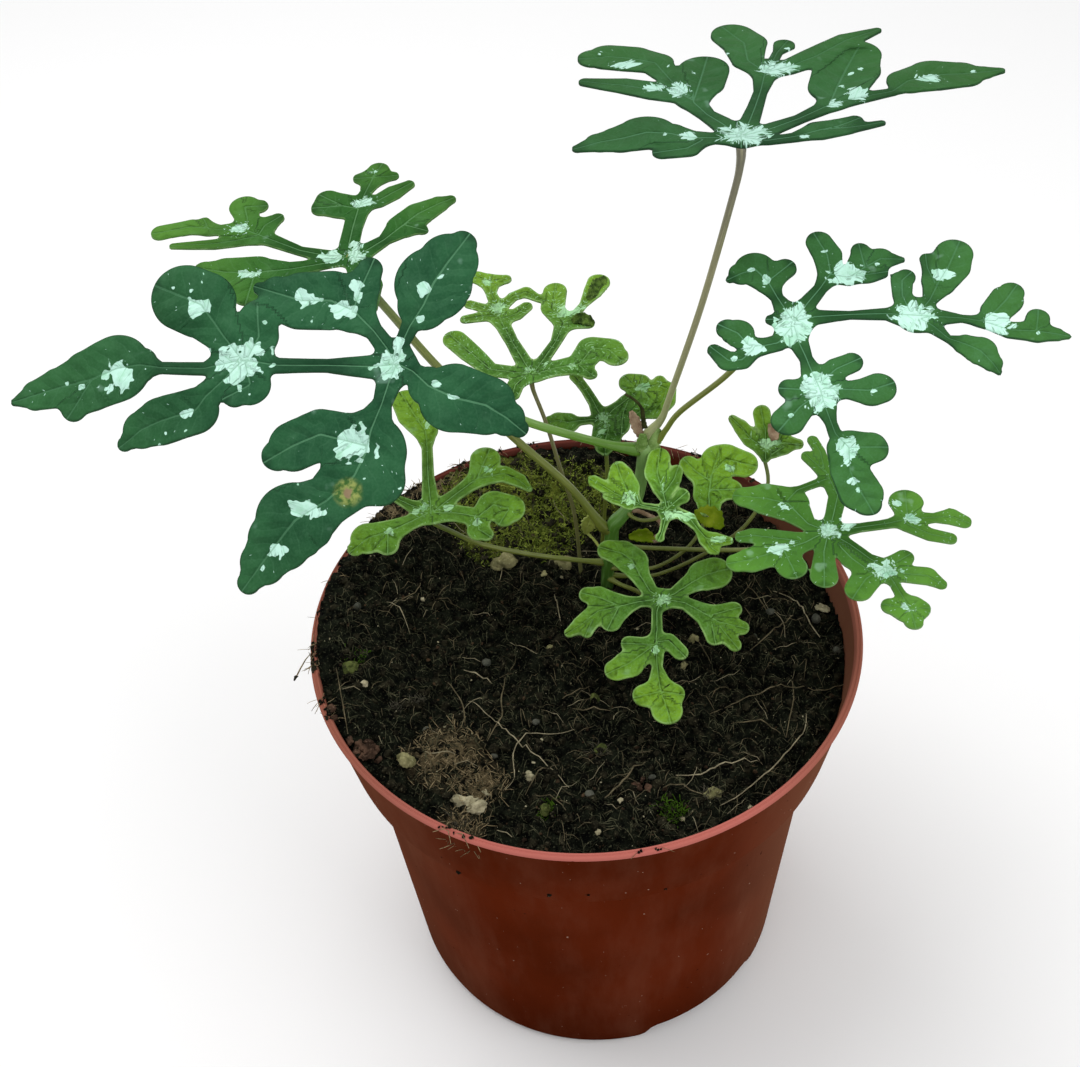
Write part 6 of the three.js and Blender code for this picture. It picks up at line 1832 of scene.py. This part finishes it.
LITTER = (
    Crumbs("peat_crumbs", PEAT, 31, 4200, (0.25, 1.3)),
    Crumbs("bark_crumbs", BARK, 32, 460, (0.2, 0.7)),
    Fibres("dark_rootlets", DARK_ROOT, 21, 3300, (1.0, 3.6), (0.05, 0.085), 1.0, 0.3),
    Fibres("brown_rootlets", BROWN_ROOT, 22, 460, (1.5, 5.5), (0.05, 0.09), 1.3, 0.3, BROWN_ROOTS),
    Fibres("pale_roots", PALE_ROOT, 23, 60, (2.0, 9.0), (0.06, 0.1), 1.5, 0.25, PALE_ROOTS),
    Tufts("olive_moss", OLIVE_MOSS, 41, with_hairs(MOSS_SPOTS, 100), (0.6, 1.7), 0.11),
    Tufts("tan_mat", ROOT_MAT, 44, with_hairs(STRAW_SPOTS, 42), (1.0, 3.0), 0.08),
    Tufts("green_moss", GREEN_MOSS, 42, GREEN_PATCHES, (0.8, 2.0), 0.14),
    Tufts("root_hair", ROOT_HAIR, 43, HAIR_PATCHES, (0.8, 2.4), 0.07),
    Grains("perlite", PERLITE, 28, PERLITE_GRAINS, 0.5),
    Crumbs("perlite_dust", PERLITE, 33, 420, (0.08, 0.26)),
    Grains("lime_grains", OCHRE, 20, LIME_GRAINS, 0.45),
    Grains("grey_grains", GREY, 22, GREY_GRAINS, 0.12),
    Grains("brown_lumps", BROWN, 25, BROWN_LUMPS, 0.4),
    Grains("moss_balls", MOSS_BALL, 15, MOSS_BALLS, 0.25),
    Spill(PEAT, ROOT_MAT, 45),
)


# Stems


# Shares of a stalk's length that its two flares take.
FOOT_LENGTH = 0.06
TOP_LENGTH = 0.05
# How much wider than its shaft a stalk is at its top, at a foot in the mix and at a foot on the stem.
TOP_FLARE = 0.35
ROOTED_FLARE = 0.25
SOCKET_FLARE = 0.7
# The steps along the stem and the stalks, and how far under its blade a stalk bends in and ends.
STEM_STEP = 0.6
STALK_STEP = 1.1
SEAT_DROP = 3.6
HUB_DROP = 0.1
# How far a stalk's foot goes on towards the stem's middle, as a share of the way.
SOCKET_DEPTH = 0.6
# How olive single stalks are.
OLIVE_SHARES = {"e": 0.85}


def flared(foot: float, top: float, shaft: float) -> Callable[[float], float]:
    """Makes the radius rule of a stalk that widens at both ends.

    Args:
        foot: How much wider its foot is.
        top: How much wider its top is.
        shaft: Its radius between them.

    Returns:
        The radius at a share of its length.
    """
    def radius(share: float) -> float:
        """Gives the radius.

        Args:
            share: The share of the length.

        Returns:
            The radius there.
        """
        at_foot = foot * math.exp(-((share / FOOT_LENGTH) ** 2))
        at_top = top * math.exp(-(((1 - share) / TOP_LENGTH) ** 2))
        return shaft * (1 + at_foot + at_top)

    return radius


@dataclass(frozen=True)
class Stems:
    """The main stem and the leaf stalks.

    A swelling is its place along the stem and how much wider the stem is there. The cap is where the
    top starts to close and how long that takes. All of these are shares of the length or the radius.
    """

    stem_radius: float = 1.45
    stem_sides: int = 20
    stalk_sides: int = 12
    rooted: str = "ef"
    swellings: tuple[Span, ...] = ((0.42, 0.1), (0.52, 0.18), (0.96, 0.3))
    swelling_length: float = 0.035
    cap: Span = (0.97, 0.03)

    def build_stem(self, finish: Material) -> Piece:
        """Builds the crooked main stem with its swollen nodes.

        Args:
            finish: Its material.

        Returns:
            The main stem.
        """
        cap_start, cap_length = self.cap

        def radius(share: float) -> float:
            """Widens the stem at its nodes and rounds its top.

            Args:
                share: The share of the length.

            Returns:
                The radius there.
            """
            swell = sum(more * math.exp(-(((share - at) / self.swelling_length) ** 2))
                        for at, more in self.swellings)
            closing = math.sqrt(max(1 - max((share - cap_start) / cap_length, 0.0) ** 2, 0.02))
            return self.stem_radius * (1 + swell) * closing

        shape = bmesh.new()
        sweep(shape, smooth_route(STEM_ROUTE, STEM_STEP), radius, self.stem_sides)
        return finished("green_stem", shape, [finish], ["main_stem"])

    def build_stalk(self, stalk: StalkShape, blade: "Blade", finish: Material) -> Piece:
        """Builds one stalk from its foot to the underside of its blade.

        Args:
            stalk: Its shape.
            blade: The blade that it carries.
            finish: Its material.

        Returns:
            The stalk.
        """
        seat = blade.to_part(0.0, 0.0, -SEAT_DROP)
        hub = blade.to_part(0.0, 0.0, -HUB_DROP)
        rooted = stalk.letter in self.rooted
        start = [stalk.route[0]] if rooted else [self.socket(stalk), stalk.route[0]]
        route = smooth_route([*start, *stalk.route[1:], seat, hub], STALK_STEP)
        flare = ROOTED_FLARE if rooted else SOCKET_FLARE
        shape = bmesh.new()
        sweep(shape, route, flared(flare, TOP_FLARE, stalk.radius), self.stalk_sides)
        olive = shape.verts.layers.float.new("olive")
        for vert in shape.verts:
            vert[olive] = OLIVE_SHARES.get(stalk.letter, 0.0)
        return finished(f"leaf_stalk_{stalk.letter}", shape, [finish], [f"stalk_{stalk.letter}"])

    def socket(self, stalk: StalkShape) -> tuple[float, float, float]:
        """Finds the place inside the main stem where a stalk leaves it.

        Args:
            stalk: The stalk.

        Returns:
            The place, a little way towards the stem's middle.
        """
        foot = Vector(stalk.route[0])
        nearest = min(smooth_route(STEM_ROUTE, STEM_STEP), key=lambda place: (place - foot).length)
        return tuple(foot.lerp(nearest, SOCKET_DEPTH))


# Blades


# How close two ribs' outlines come before they run together.
WEB = 1.3
# Lifts of the sheet: folds beside the ribs, long ripples, short ruffles and a groove over each rib.
FOLD = 0.1
FOLD_REACH = 4
RIPPLE = 0.35
RIPPLE_LENGTH = 13
RUFFLE = 0.22
VEIN_GROOVE = 0.16
GROOVE_WIDTH = 0.6
LIFT_SPREAD = 1.5
# Half the width of a drawn rib: a base, and a share of the lobe's own half width.
VEIN_BASE = 0.1
VEIN_GROWTH = 0.024
# The least half width and strength of a splash, and how the strength grows with its size.
SPLASH_LEAST = 0.35
SPLASH_GAIN = 0.3
# The grid's margin, and how its border is drawn onto the outline in rounds along the slope.
BORDER = 1
BORDER_ROUNDS = 3
SLOPE_STEP = 0.02
LEAST_SLOPE = 0.3


def thicken(piece: Piece, thickness: float, underside: int = 0) -> None:
    """Gives a sheet its thickness.

    Args:
        piece: The sheet.
        thickness: How thick it gets.
        underside: How far its second side's material is from the first.
    """
    skin = piece.modifiers.new("thickness", "SOLIDIFY")
    skin.thickness = thickness * MM
    skin.offset = 0.0
    skin.material_offset = underside


class Blade:
    """One leaf blade: a thin, cut and waved sheet."""

    thickness: float = 0.42
    cell: float = 0.5

    def __init__(self, shape: BladeShape) -> None:
        """Works out the blade's own plane and the way its lifts go.

        Args:
            shape: What the blade looks like in its plane.
        """
        self.shape = shape
        turn = Matrix.Rotation(math.radians(shape.turn), 4, "Z")
        tip = Matrix.Rotation(math.radians(shape.tip), 4, "X")
        self.plane = Matrix.Translation(shape.hub) @ turn @ tip
        self.towards_light = (LIGHT - Vector(shape.hub)).normalized()
        self.chains = (*shape.ribs, *shape.swells)
        self.bars = [(number, start[:3], end[:3], self.lift_at(start), self.lift_at(end))
                     for number, chain in enumerate(self.chains) for start, end in zip(chain, chain[1:])]

    @staticmethod
    def lift_at(point: tuple[float, ...]) -> float:
        """Gives the lift of a chain's point, 0 where the table gives none."""
        return point[3] if len(point) > 3 else 0.0

    def to_part(self, x: float, y: float, z: float) -> Vector:
        """Takes a place in the blade's plane to the part's frame."""
        return self.plane @ Vector((x, y, z))

    def edge_distance(self, x: np.ndarray, y: np.ndarray) -> np.ndarray:
        """Gives the distance to the blade's outline, below zero inside it.

        Args:
            x: Places to the right.
            y: Places to the back.

        Returns:
            The distances.
        """
        total = np.full_like(x, np.inf)
        for number in range(len(self.chains)):
            nearest = np.full_like(x, np.inf)
            for chain, (ax, ay, ar), (bx, by, br), _, _ in self.bars:
                if chain == number:
                    share, reach = self.bar_reach(x, y, ax, ay, bx, by)
                    nearest = np.minimum(nearest, reach - (ar + (br - ar) * share))
            apart = np.where(np.isinf(total), WEB, np.abs(total - nearest))
            blend = np.maximum(WEB - apart, 0) / WEB
            total = np.minimum(total, nearest) - blend * blend * WEB / 4
        return total

    @staticmethod
    def bar_reach(x: np.ndarray, y: np.ndarray, ax: float, ay: float, bx: float,
                  by: float) -> tuple[np.ndarray, np.ndarray]:
        """Gives how far along a bar each place is, and how far off it.

        Args:
            x: Places to the right.
            y: Places to the back.
            ax: The bar's start, to the right.
            ay: The bar's start, to the back.
            bx: The bar's end, to the right.
            by: The bar's end, to the back.

        Returns:
            The share of the bar's length and the distance.
        """
        length = (bx - ax) ** 2 + (by - ay) ** 2
        share = np.clip(((x - ax) * (bx - ax) + (y - ay) * (by - ay)) / length, 0, 1)
        return share, np.hypot(x - ax - share * (bx - ax), y - ay - share * (by - ay))

    def fields(self, x: np.ndarray, y: np.ndarray) -> dict[str, np.ndarray]:
        """Works out what the blade's form and markings follow.

        Args:
            x: Places to the right.
            y: Places to the back.

        Returns:
            The lift, and the numbers that the leaf's finish reads.
        """
        total = np.zeros_like(x)
        weights = np.zeros_like(x)
        nearest = np.full_like(x, np.inf)
        across = np.zeros_like(x)
        along = np.zeros_like(x)
        vein = np.zeros_like(x)
        travelled = {}
        for number, (chain, (ax, ay, ar), (bx, by, br), start_lift, end_lift) in enumerate(self.bars):
            if chain >= len(self.shape.ribs):
                break
            length = math.hypot(bx - ax, by - ay)
            last = number + 1 == len(self.bars) or self.bars[number + 1][0] != chain
            share, reach = self.bar_reach(x, y, ax, ay, bx, by)
            onward = ((x - bx) * (bx - ax) + (y - by) * (by - ay)) / length
            past = np.maximum(onward, 0) if last else 0.0
            weight = 1 / (reach * reach + LIFT_SPREAD) ** 2
            total += weight * (start_lift + (end_lift - start_lift) * share)
            weights += weight
            before = travelled.get(chain, math.hypot(ax, ay))
            signed = ((bx - ax) * (y - ay) - (by - ay) * (x - ax)) / length
            beside = signed if last else np.where(signed < 0, -reach, reach)
            closer = reach < nearest
            across = np.where(closer, beside, across)
            along = np.where(closer, before + share * length + past, along)
            vein = np.where(closer, VEIN_BASE + VEIN_GROWTH * (ar + (br - ar) * share), vein)
            nearest = np.minimum(nearest, reach)
            travelled[chain] = before + length
        wave = np.sin(x * math.tau / RIPPLE_LENGTH) * np.cos(y * math.tau / RIPPLE_LENGTH + 1)
        folded = total / weights + FOLD * np.minimum(nearest, FOLD_REACH)
        lift = folded + RIPPLE * wave * np.minimum(nearest / 2, 1)
        ruffle = np.sin(x * 1.1 + y * 0.6 + len(self.bars)) * np.sin(y * 0.9 - x * 0.5)
        groove = VEIN_GROOVE * np.exp(-((nearest / GROOVE_WIDTH) ** 2))
        lift += RUFFLE * ruffle * np.minimum(nearest / 3, 1) - groove
        splash = np.full_like(x, -1.0)
        for sx, sy, rx, ry in self.shape.splashes:
            inside = 1 - np.hypot((x - sx) / max(rx, SPLASH_LEAST), (y - sy) / max(ry, SPLASH_LEAST))
            strength = min(1.0, SPLASH_LEAST + SPLASH_GAIN * max(rx, ry))
            splash = np.maximum(splash, np.maximum(inside, -1) * strength)
        furthest = np.hypot(x, y).max()
        scar = np.zeros_like(x)
        for sx, sy, size in self.shape.scars:
            scar = np.maximum(scar, 1 - np.hypot(x - sx, y - sy) / size)
        return {"lift": lift, "across": across, "along": along, "vein": vein, "splash": splash,
                "reach": np.hypot(x, y) / furthest, "scar": scar, "tone": np.full_like(x, self.shape.tone),
                "light": np.full_like(x, self.shape.light), "flecked": np.full_like(x, self.shape.flecked),
                "streaky": np.full_like(x, self.shape.streaky)}

    def build(self, upper: Material, lower: Material, slot: str) -> Piece:
        """Cuts the blade from a fine grid, lifts it and gives it its thickness.

        Args:
            upper: The upper side's material.
            lower: The underside's material.
            slot: A material slot's name; not used.

        Returns:
            The blade.
        """
        points = [point for chain in self.chains for point in chain]
        low = [min(point[axis] - point[2] for point in points) - BORDER for axis in (0, 1)]
        high = [max(point[axis] + point[2] for point in points) + BORDER for axis in (0, 1)]
        counts = [math.ceil((top - bottom) / self.cell) for bottom, top in zip(low, high)]
        shape = bmesh.new()
        middle = Matrix.Translation(((low[0] + high[0]) / 2, (low[1] + high[1]) / 2, 0))
        scaled = Matrix.Diagonal((counts[0] * self.cell, counts[1] * self.cell, 1, 1))
        bmesh.ops.create_grid(shape, x_segments=counts[0], y_segments=counts[1], size=0.5,
                              matrix=middle @ scaled)
        self.trim(shape)
        x, y = self.columns(shape.verts)
        margin = -self.edge_distance(x, y)
        values = self.fields(x, y)
        lifts = values.pop("lift")
        values["margin"] = np.maximum(margin, 0)
        layers = dict(zip(values, stored(shape, tuple(values))))
        normal = self.plane.to_3x3() @ Vector((0, 0, 1))
        for index, vert in enumerate(shape.verts):
            for name, layer in layers.items():
                vert[layer] = values[name][index]
            vert.co = self.plane @ vert.co + self.towards_light * lifts[index]
        bmesh.ops.recalc_face_normals(shape, faces=shape.faces)
        if sum(face.normal.dot(normal) for face in shape.faces) < 0:
            bmesh.ops.reverse_faces(shape, faces=shape.faces)
        letter = self.shape.letter
        piece = finished(f"leaf_{letter}", shape, [upper, lower], [f"blade_{letter}"])
        thicken(piece, self.thickness, 1)
        return piece

    def trim(self, shape: Mesh) -> None:
        """Deletes the grid outside the outline and draws its border onto the outline.

        Args:
            shape: The flat grid.
        """
        x, y = self.columns(shape.verts)
        inside = self.edge_distance(x, y)
        for index, vert in enumerate(shape.verts):
            vert.index = index
        away = [face for face in shape.faces if sum(inside[vert.index] for vert in face.verts) > 0]
        bmesh.ops.delete(shape, geom=away, context="FACES")
        border = [vert for vert in shape.verts if vert.is_boundary]
        for _ in range(BORDER_ROUNDS):
            x, y = self.columns(border)
            distance = self.edge_distance(x, y)
            slope_x = (self.edge_distance(x + SLOPE_STEP, y) - distance) / SLOPE_STEP
            slope_y = (self.edge_distance(x, y + SLOPE_STEP) - distance) / SLOPE_STEP
            steep = np.maximum(slope_x ** 2 + slope_y ** 2, LEAST_SLOPE)
            for vert, back_x, back_y in zip(border, distance * slope_x / steep, distance * slope_y / steep):
                vert.co.x -= back_x
                vert.co.y -= back_y
        near = {other for vert in border for edge in vert.link_edges for other in edge.verts} - set(border)
        bmesh.ops.smooth_vert(shape, verts=list(near), factor=0.5, use_axis_x=True, use_axis_y=True)

    @staticmethod
    def columns(verts: Iterable[bmesh.types.BMVert]) -> tuple[np.ndarray, np.ndarray]:
        """Lists the vertices' places in the plane."""
        places = np.array([(vert.co.x, vert.co.y) for vert in verts])
        return places[:, 0], places[:, 1]


# Small leaves, scales and buds


@dataclass(frozen=True)
class Scrap:
    """A small leaf, scale or bud: a cupped sheet along a route whose points end in a half width."""

    route: Chain
    cup: float = 0.35
    columns: int = 6
    step: float = 0.35

    def add(self, shape: Mesh) -> None:
        """Adds the sheet to a mesh, its upper side towards the viewer.

        Args:
            shape: The mesh to add to.
        """
        layers = stored(shape, ("across", "along", "vein", "reach", "margin", "light", "splash"))
        places = smooth_route(self.route, self.step)
        knots = np.linspace(0, 1, len(self.route))
        wide = np.interp(np.linspace(0, 1, len(places)), knots, [point[3] for point in self.route])
        grid = bmesh.ops.create_grid(shape, x_segments=len(places) - 1, y_segments=self.columns, size=1.0)
        for vert in grid["verts"]:
            row = round((vert.co.x + 1) / 2 * (len(places) - 1))
            side = vert.co.y
            ahead = places[min(row + 1, len(places) - 1)] - places[max(row - 1, 0)]
            facing = (LIGHT - places[row]).normalized()
            sideways = facing.cross(ahead).normalized()
            half = wide[row] * (1 + 0.12 * math.sin(row * 1.9 + side))
            vert.co = places[row] + sideways * (side * half) + facing * (self.cup * half * side * side)
            values = (side * half, row * self.step, 0.12, 0.5, (1 - abs(side)) * half, 1.0, -1.0)
            for layer, value in zip(layers, values):
                vert[layer] = value


@dataclass(frozen=True)
class Scraps:
    """Scraps of one finish, shown as one piece."""

    name: str
    finish: LeafFinish | EarthFinish
    slot: str
    scraps: tuple[Scrap, ...]
    thickness: float = 0.3

    def build(self) -> None:
        """Builds the piece."""
        shape = bmesh.new()
        for scrap in self.scraps:
            scrap.add(shape)
        thicken(finished(self.name, shape, [self.finish.build()]), self.thickness)


FRESH_LEAF = LeafFinish("leaflet", deep=(160, 176, 74), fresh=(184, 196, 96), tip=(170, 184, 80),
                        vein=(190, 200, 120), margin=(180, 190, 110), flecks=0.0, bloom=0.1)
SHEATH = EarthFinish("pale sheath", (96, 130, 60), (140, 170, 100), (180, 202, 146), 0.4, 0.5, 500.0, 0.0002)
OLIVE_LEAF = EarthFinish("olive leaf", (100, 124, 16), (132, 150, 34), (150, 156, 70), 0.4, 0.5, 300.0,
                         0.0003)
DRY_SCALE = EarthFinish("dry scale", (130, 106, 84), (170, 148, 122), (196, 178, 150), 0.4, 0.7, 500.0,
                        0.0002)
DARK_STUB = EarthFinish("dark stub", (36, 38, 20), (62, 66, 34), (90, 92, 56), 0.4, 0.6, 500.0, 0.0002)
CURLED_TIP = EarthFinish("curled tip", (40, 60, 22), (92, 122, 48), (168, 190, 118), 0.4, 0.6, 620.0, 0.0003)

SCRAPS = (
    Scraps("leaflets", FRESH_LEAF, "leaf_young", (
        Scrap(((2.4, 30, 102.1, 0.4), (2.7, 30, 103.8, 1.5), (3.2, 30, 105.7, 1.7), (3.8, 30, 107.6, 0.8))),
        Scrap(((5.4, 26, 101.2, 0.25), (4.2, 28, 102, 0.25), (2.7, 30, 102.4, 0.25))),
    )),
    Scraps("stem_sheaths", SHEATH, "green_stem", (
        Scrap(((15.2, 17.3, 135.7, 1.2), (15.9, 17.4, 139, 1.9), (16.7, 17.6, 141.8, 1.8),
               (17.8, 18.2, 144.3, 0.7)), cup=-0.6),
        Scrap(((13.9, 17.2, 138.8, 0.9), (14.3, 17, 141.2, 1.3), (14.6, 17.2, 143.8, 0.6)), cup=-0.6),
    )),
    Scraps("olive_leaves", OLIVE_LEAF, "leaf_young", (
        Scrap(((25.6, 15.4, 120.9, 0.8), (27.7, 14.9, 120.9, 2.2), (29.5, 13.7, 121, 2.3),
               (31.3, 11.8, 119.6, 0.6)), cup=0.15),
        Scrap(((12.5, 29.9, 100.2, 0.5), (14.6, 29.6, 100.7, 1.4), (16.5, 29.5, 100.6, 1.6),
               (18.3, 28.7, 99.5, 0.5))),
    )),
    Scraps("dry_scales", DRY_SCALE, "pale_stalk", (
        Scrap(((14.2, 18.6, 141.9, 0.6), (13.5, 19.8, 143.9, 1.1), (12.9, 20.6, 145.7, 1.0),
               (12.4, 21, 147, 0.3)), cup=0.7),
        Scrap(((17.8, 28.7, 99.6, 0.5), (19.3, 29.1, 100, 1), (20.6, 30.1, 100.6, 0.4)), cup=-0.8),
        Scrap(((43.2, 20.8, 136.1, 0.6), (42.9, 22.2, 137.4, 1.5), (42.6, 23.3, 138.8, 0.5)), cup=-0.6),
        Scrap(((11.7, 17.1, 121.5, 0.4), (13.3, 15.6, 122.9, 0.35), (15.4, 14.2, 122.8, 0.35),
               (17.6, 12.9, 122.1, 0.33), (18.4, 11.7, 120.4, 0.3)), cup=-0.9),
    )),
    Scraps("dark_stubs", DARK_STUB, "olive_stalk", (
        Scrap(((15, 17.5, 145.1, 0.5), (14.6, 17.3, 148.1, 0.38), (14.4, 17.2, 150.9, 0.3)), cup=-0.9),
        Scrap(((14.4, 17.2, 150.7, 0.2), (13.6, 17.6, 152, 0.17), (12.4, 18, 153.1, 0.15),
               (11, 18.5, 153.9, 0.15)), cup=-0.9),
    )),
    Scraps("curled_tips", CURLED_TIP, "leaf_young", (
        Scrap(((5.7, 49.5, 155.3, 0.5), (7.2, 51.9, 155.3, 1.4), (8.8, 55, 155, 1.8),
               (10.1, 57.5, 155, 0.5)), cup=0.3),
        Scrap(((1.8, 42.8, 154.6, 0.5), (3.5, 43.4, 154.9, 1.2), (5.2, 43, 154.5, 1.1),
               (6.4, 42.1, 153.9, 0.4)), cup=0.5),
    )),
)


# Studio


@dataclass(frozen=True)
class Studio:
    """A plain pale floor, soft light and the camera at the photograph's angle."""

    focal: float = 50.0
    eye: tuple[float, float, float] = (-8.3, -215.7, 353.4)
    dip: float = 45.5
    roll: float = -4.0
    sensor: float = 36.0
    aim: tuple[float, float, float] = (0, 0, 0.13)
    floor_size: float = 3.0
    sky: float = 0.7

    def build_camera(self) -> None:
        """Places the camera."""
        data = bpy.data.cameras.new("camera")
        data.lens = self.focal
        data.sensor_fit = "HORIZONTAL"
        data.sensor_width = self.sensor
        data.clip_start = 0.01
        camera = bpy.data.objects.new("camera", data)
        bpy.context.scene.collection.objects.link(camera)
        tilt = Matrix.Rotation(math.radians(90 - self.dip), 4, "X")
        spin = Matrix.Rotation(math.radians(self.roll), 4, "Z")
        camera.matrix_world = Matrix.Translation(Vector(self.eye) * MM) @ tilt @ spin
        bpy.context.scene.camera = camera

    def build_lamp(self, name: str, place: tuple[float, float, float], size: float, power: float) -> None:
        """Hangs one soft lamp that looks at the plant.

        Args:
            name: Its name.
            place: Where it hangs, in metres.
            size: How wide it is, in metres.
            power: How strong it is.
        """
        data = bpy.data.lights.new(name, "AREA")
        data.size = size
        data.energy = power
        lamp = bpy.data.objects.new(name, data)
        bpy.context.scene.collection.objects.link(lamp)
        aim = Vector(self.aim) - Vector(place)
        lamp.matrix_world = Matrix.Translation(place) @ aim.to_track_quat("-Z", "Y").to_matrix().to_4x4()

    def build_floor(self) -> None:
        """Lays a plain pale floor."""
        shape = bmesh.new()
        bmesh.ops.create_grid(shape, x_segments=1, y_segments=1, size=self.floor_size)
        mesh = bpy.data.meshes.new("floor")
        shape.to_mesh(mesh)
        shape.free()
        floor = bpy.data.objects.new("floor", mesh)
        material, _, shader = new_material("pale floor")
        shader.inputs["Base Color"].default_value = (0.95, 0.95, 0.95, 1)
        shader.inputs["Roughness"].default_value = 0.9
        mesh.materials.append(material)
        bpy.context.scene.collection.objects.link(floor)

    def build(self) -> None:
        """Builds the floor, the light and the camera."""
        self.build_camera()
        self.build_floor()
        self.build_lamp("window", (-0.25, 0.2, 0.85), 0.6, 3.4)
        self.build_lamp("fill", (0.5, -0.35, 0.6), 0.5, 1.4)
        world = bpy.data.worlds.new("soft sky")
        world.use_nodes = True
        world.node_tree.nodes["Background"].inputs["Color"].default_value = (1, 1, 1, 1)
        world.node_tree.nodes["Background"].inputs["Strength"].default_value = self.sky
        bpy.context.scene.world = world
        bpy.context.scene.view_settings.view_transform = "Standard"


LEAF_FINISHES = {
    Age.OLD: LeafFinish("old leaf", deep=(28, 72, 46), fresh=(42, 92, 58), tip=(70, 120, 48),
                        vein=(92, 142, 106), margin=(36, 68, 42), splash=(190, 232, 216), tip_share=0.22,
                        grain=0.1, margin_width=0.15, scatter=0.05, side_veins=0.08, bloom=0.14, ragged=2.5),
    Age.MIDDLE: LeafFinish("middle leaf", deep=(38, 88, 34), fresh=(50, 102, 38), tip=(92, 144, 52),
                           vein=(104, 152, 102), margin=(104, 142, 82), splash=(192, 234, 212), tip_share=0.8,
                           margin_width=0.12, scatter=0.13, relief=0.0004, pucker=0.001),
    Age.YOUNG: LeafFinish("young leaf", deep=(50, 98, 28), fresh=(78, 130, 44), tip=(110, 152, 34),
                          vein=(122, 170, 100), margin=(138, 176, 102), splash=(164, 212, 158), tip_share=1.0,
                          margin_width=0.27, scatter=0.19, mint=(128, 186, 122), side_veins=0.16,
                          relief=0.0009, grain=0.26, gloss=0.1, pucker=0.0022),
}
UNDERSIDES = {
    Age.OLD: UndersideFinish("old leaf underside", (78, 118, 80), (130, 165, 118)),
    Age.MIDDLE: UndersideFinish("middle leaf underside", (88, 132, 74), (140, 172, 112)),
    Age.YOUNG: UndersideFinish("young leaf underside", (108, 150, 78), (150, 186, 112)),
}
LEAF_SLOTS = {Age.OLD: "leaf_deep", Age.MIDDLE: "leaf_mid", Age.YOUNG: "leaf_young"}
STEM_FINISH = StalkFinish("green stem", (50, 84, 24), (80, 128, 42), (132, 170, 98), (142, 182, 110))
STALK_FINISHES = {
    Tint.GREEN: StalkFinish("green stalk", (84, 128, 34), (106, 150, 56), (104, 144, 70), (150, 186, 112)),
    Tint.OLIVE: StalkFinish("olive stalk", (112, 124, 46), (106, 116, 46), (92, 112, 44), (156, 160, 84)),
    Tint.BEIGE: StalkFinish("pale stalk", (152, 160, 108), (138, 136, 96), (106, 102, 84), (174, 172, 132)),
}


def main() -> None:
    """Builds the plant's pieces in order and the studio round them."""
    logging.basicConfig(level=logging.INFO)
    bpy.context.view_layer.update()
    POT.build(PotFinish().build())
    MIX.build()
    for litter in LITTER:
        litter.build()
    stems = Stems()
    blades = {shape.letter: Blade(shape) for shape in BLADES}
    stalk_materials = {tint: finish.build() for tint, finish in STALK_FINISHES.items()}
    upper = {age: finish.build() for age, finish in LEAF_FINISHES.items()}
    lower = {age: finish.build() for age, finish in UNDERSIDES.items()}
    stems.build_stem(STEM_FINISH.build())
    for stalk in STALKS:
        stems.build_stalk(stalk, blades[stalk.letter], stalk_materials[stalk.tint])
    for blade in blades.values():
        age = blade.shape.age
        blade.build(upper[age], lower[age], LEAF_SLOTS[age])
    for scraps in SCRAPS:
        scraps.build()
    Studio().build()


if __name__ == "__main__":
    main()
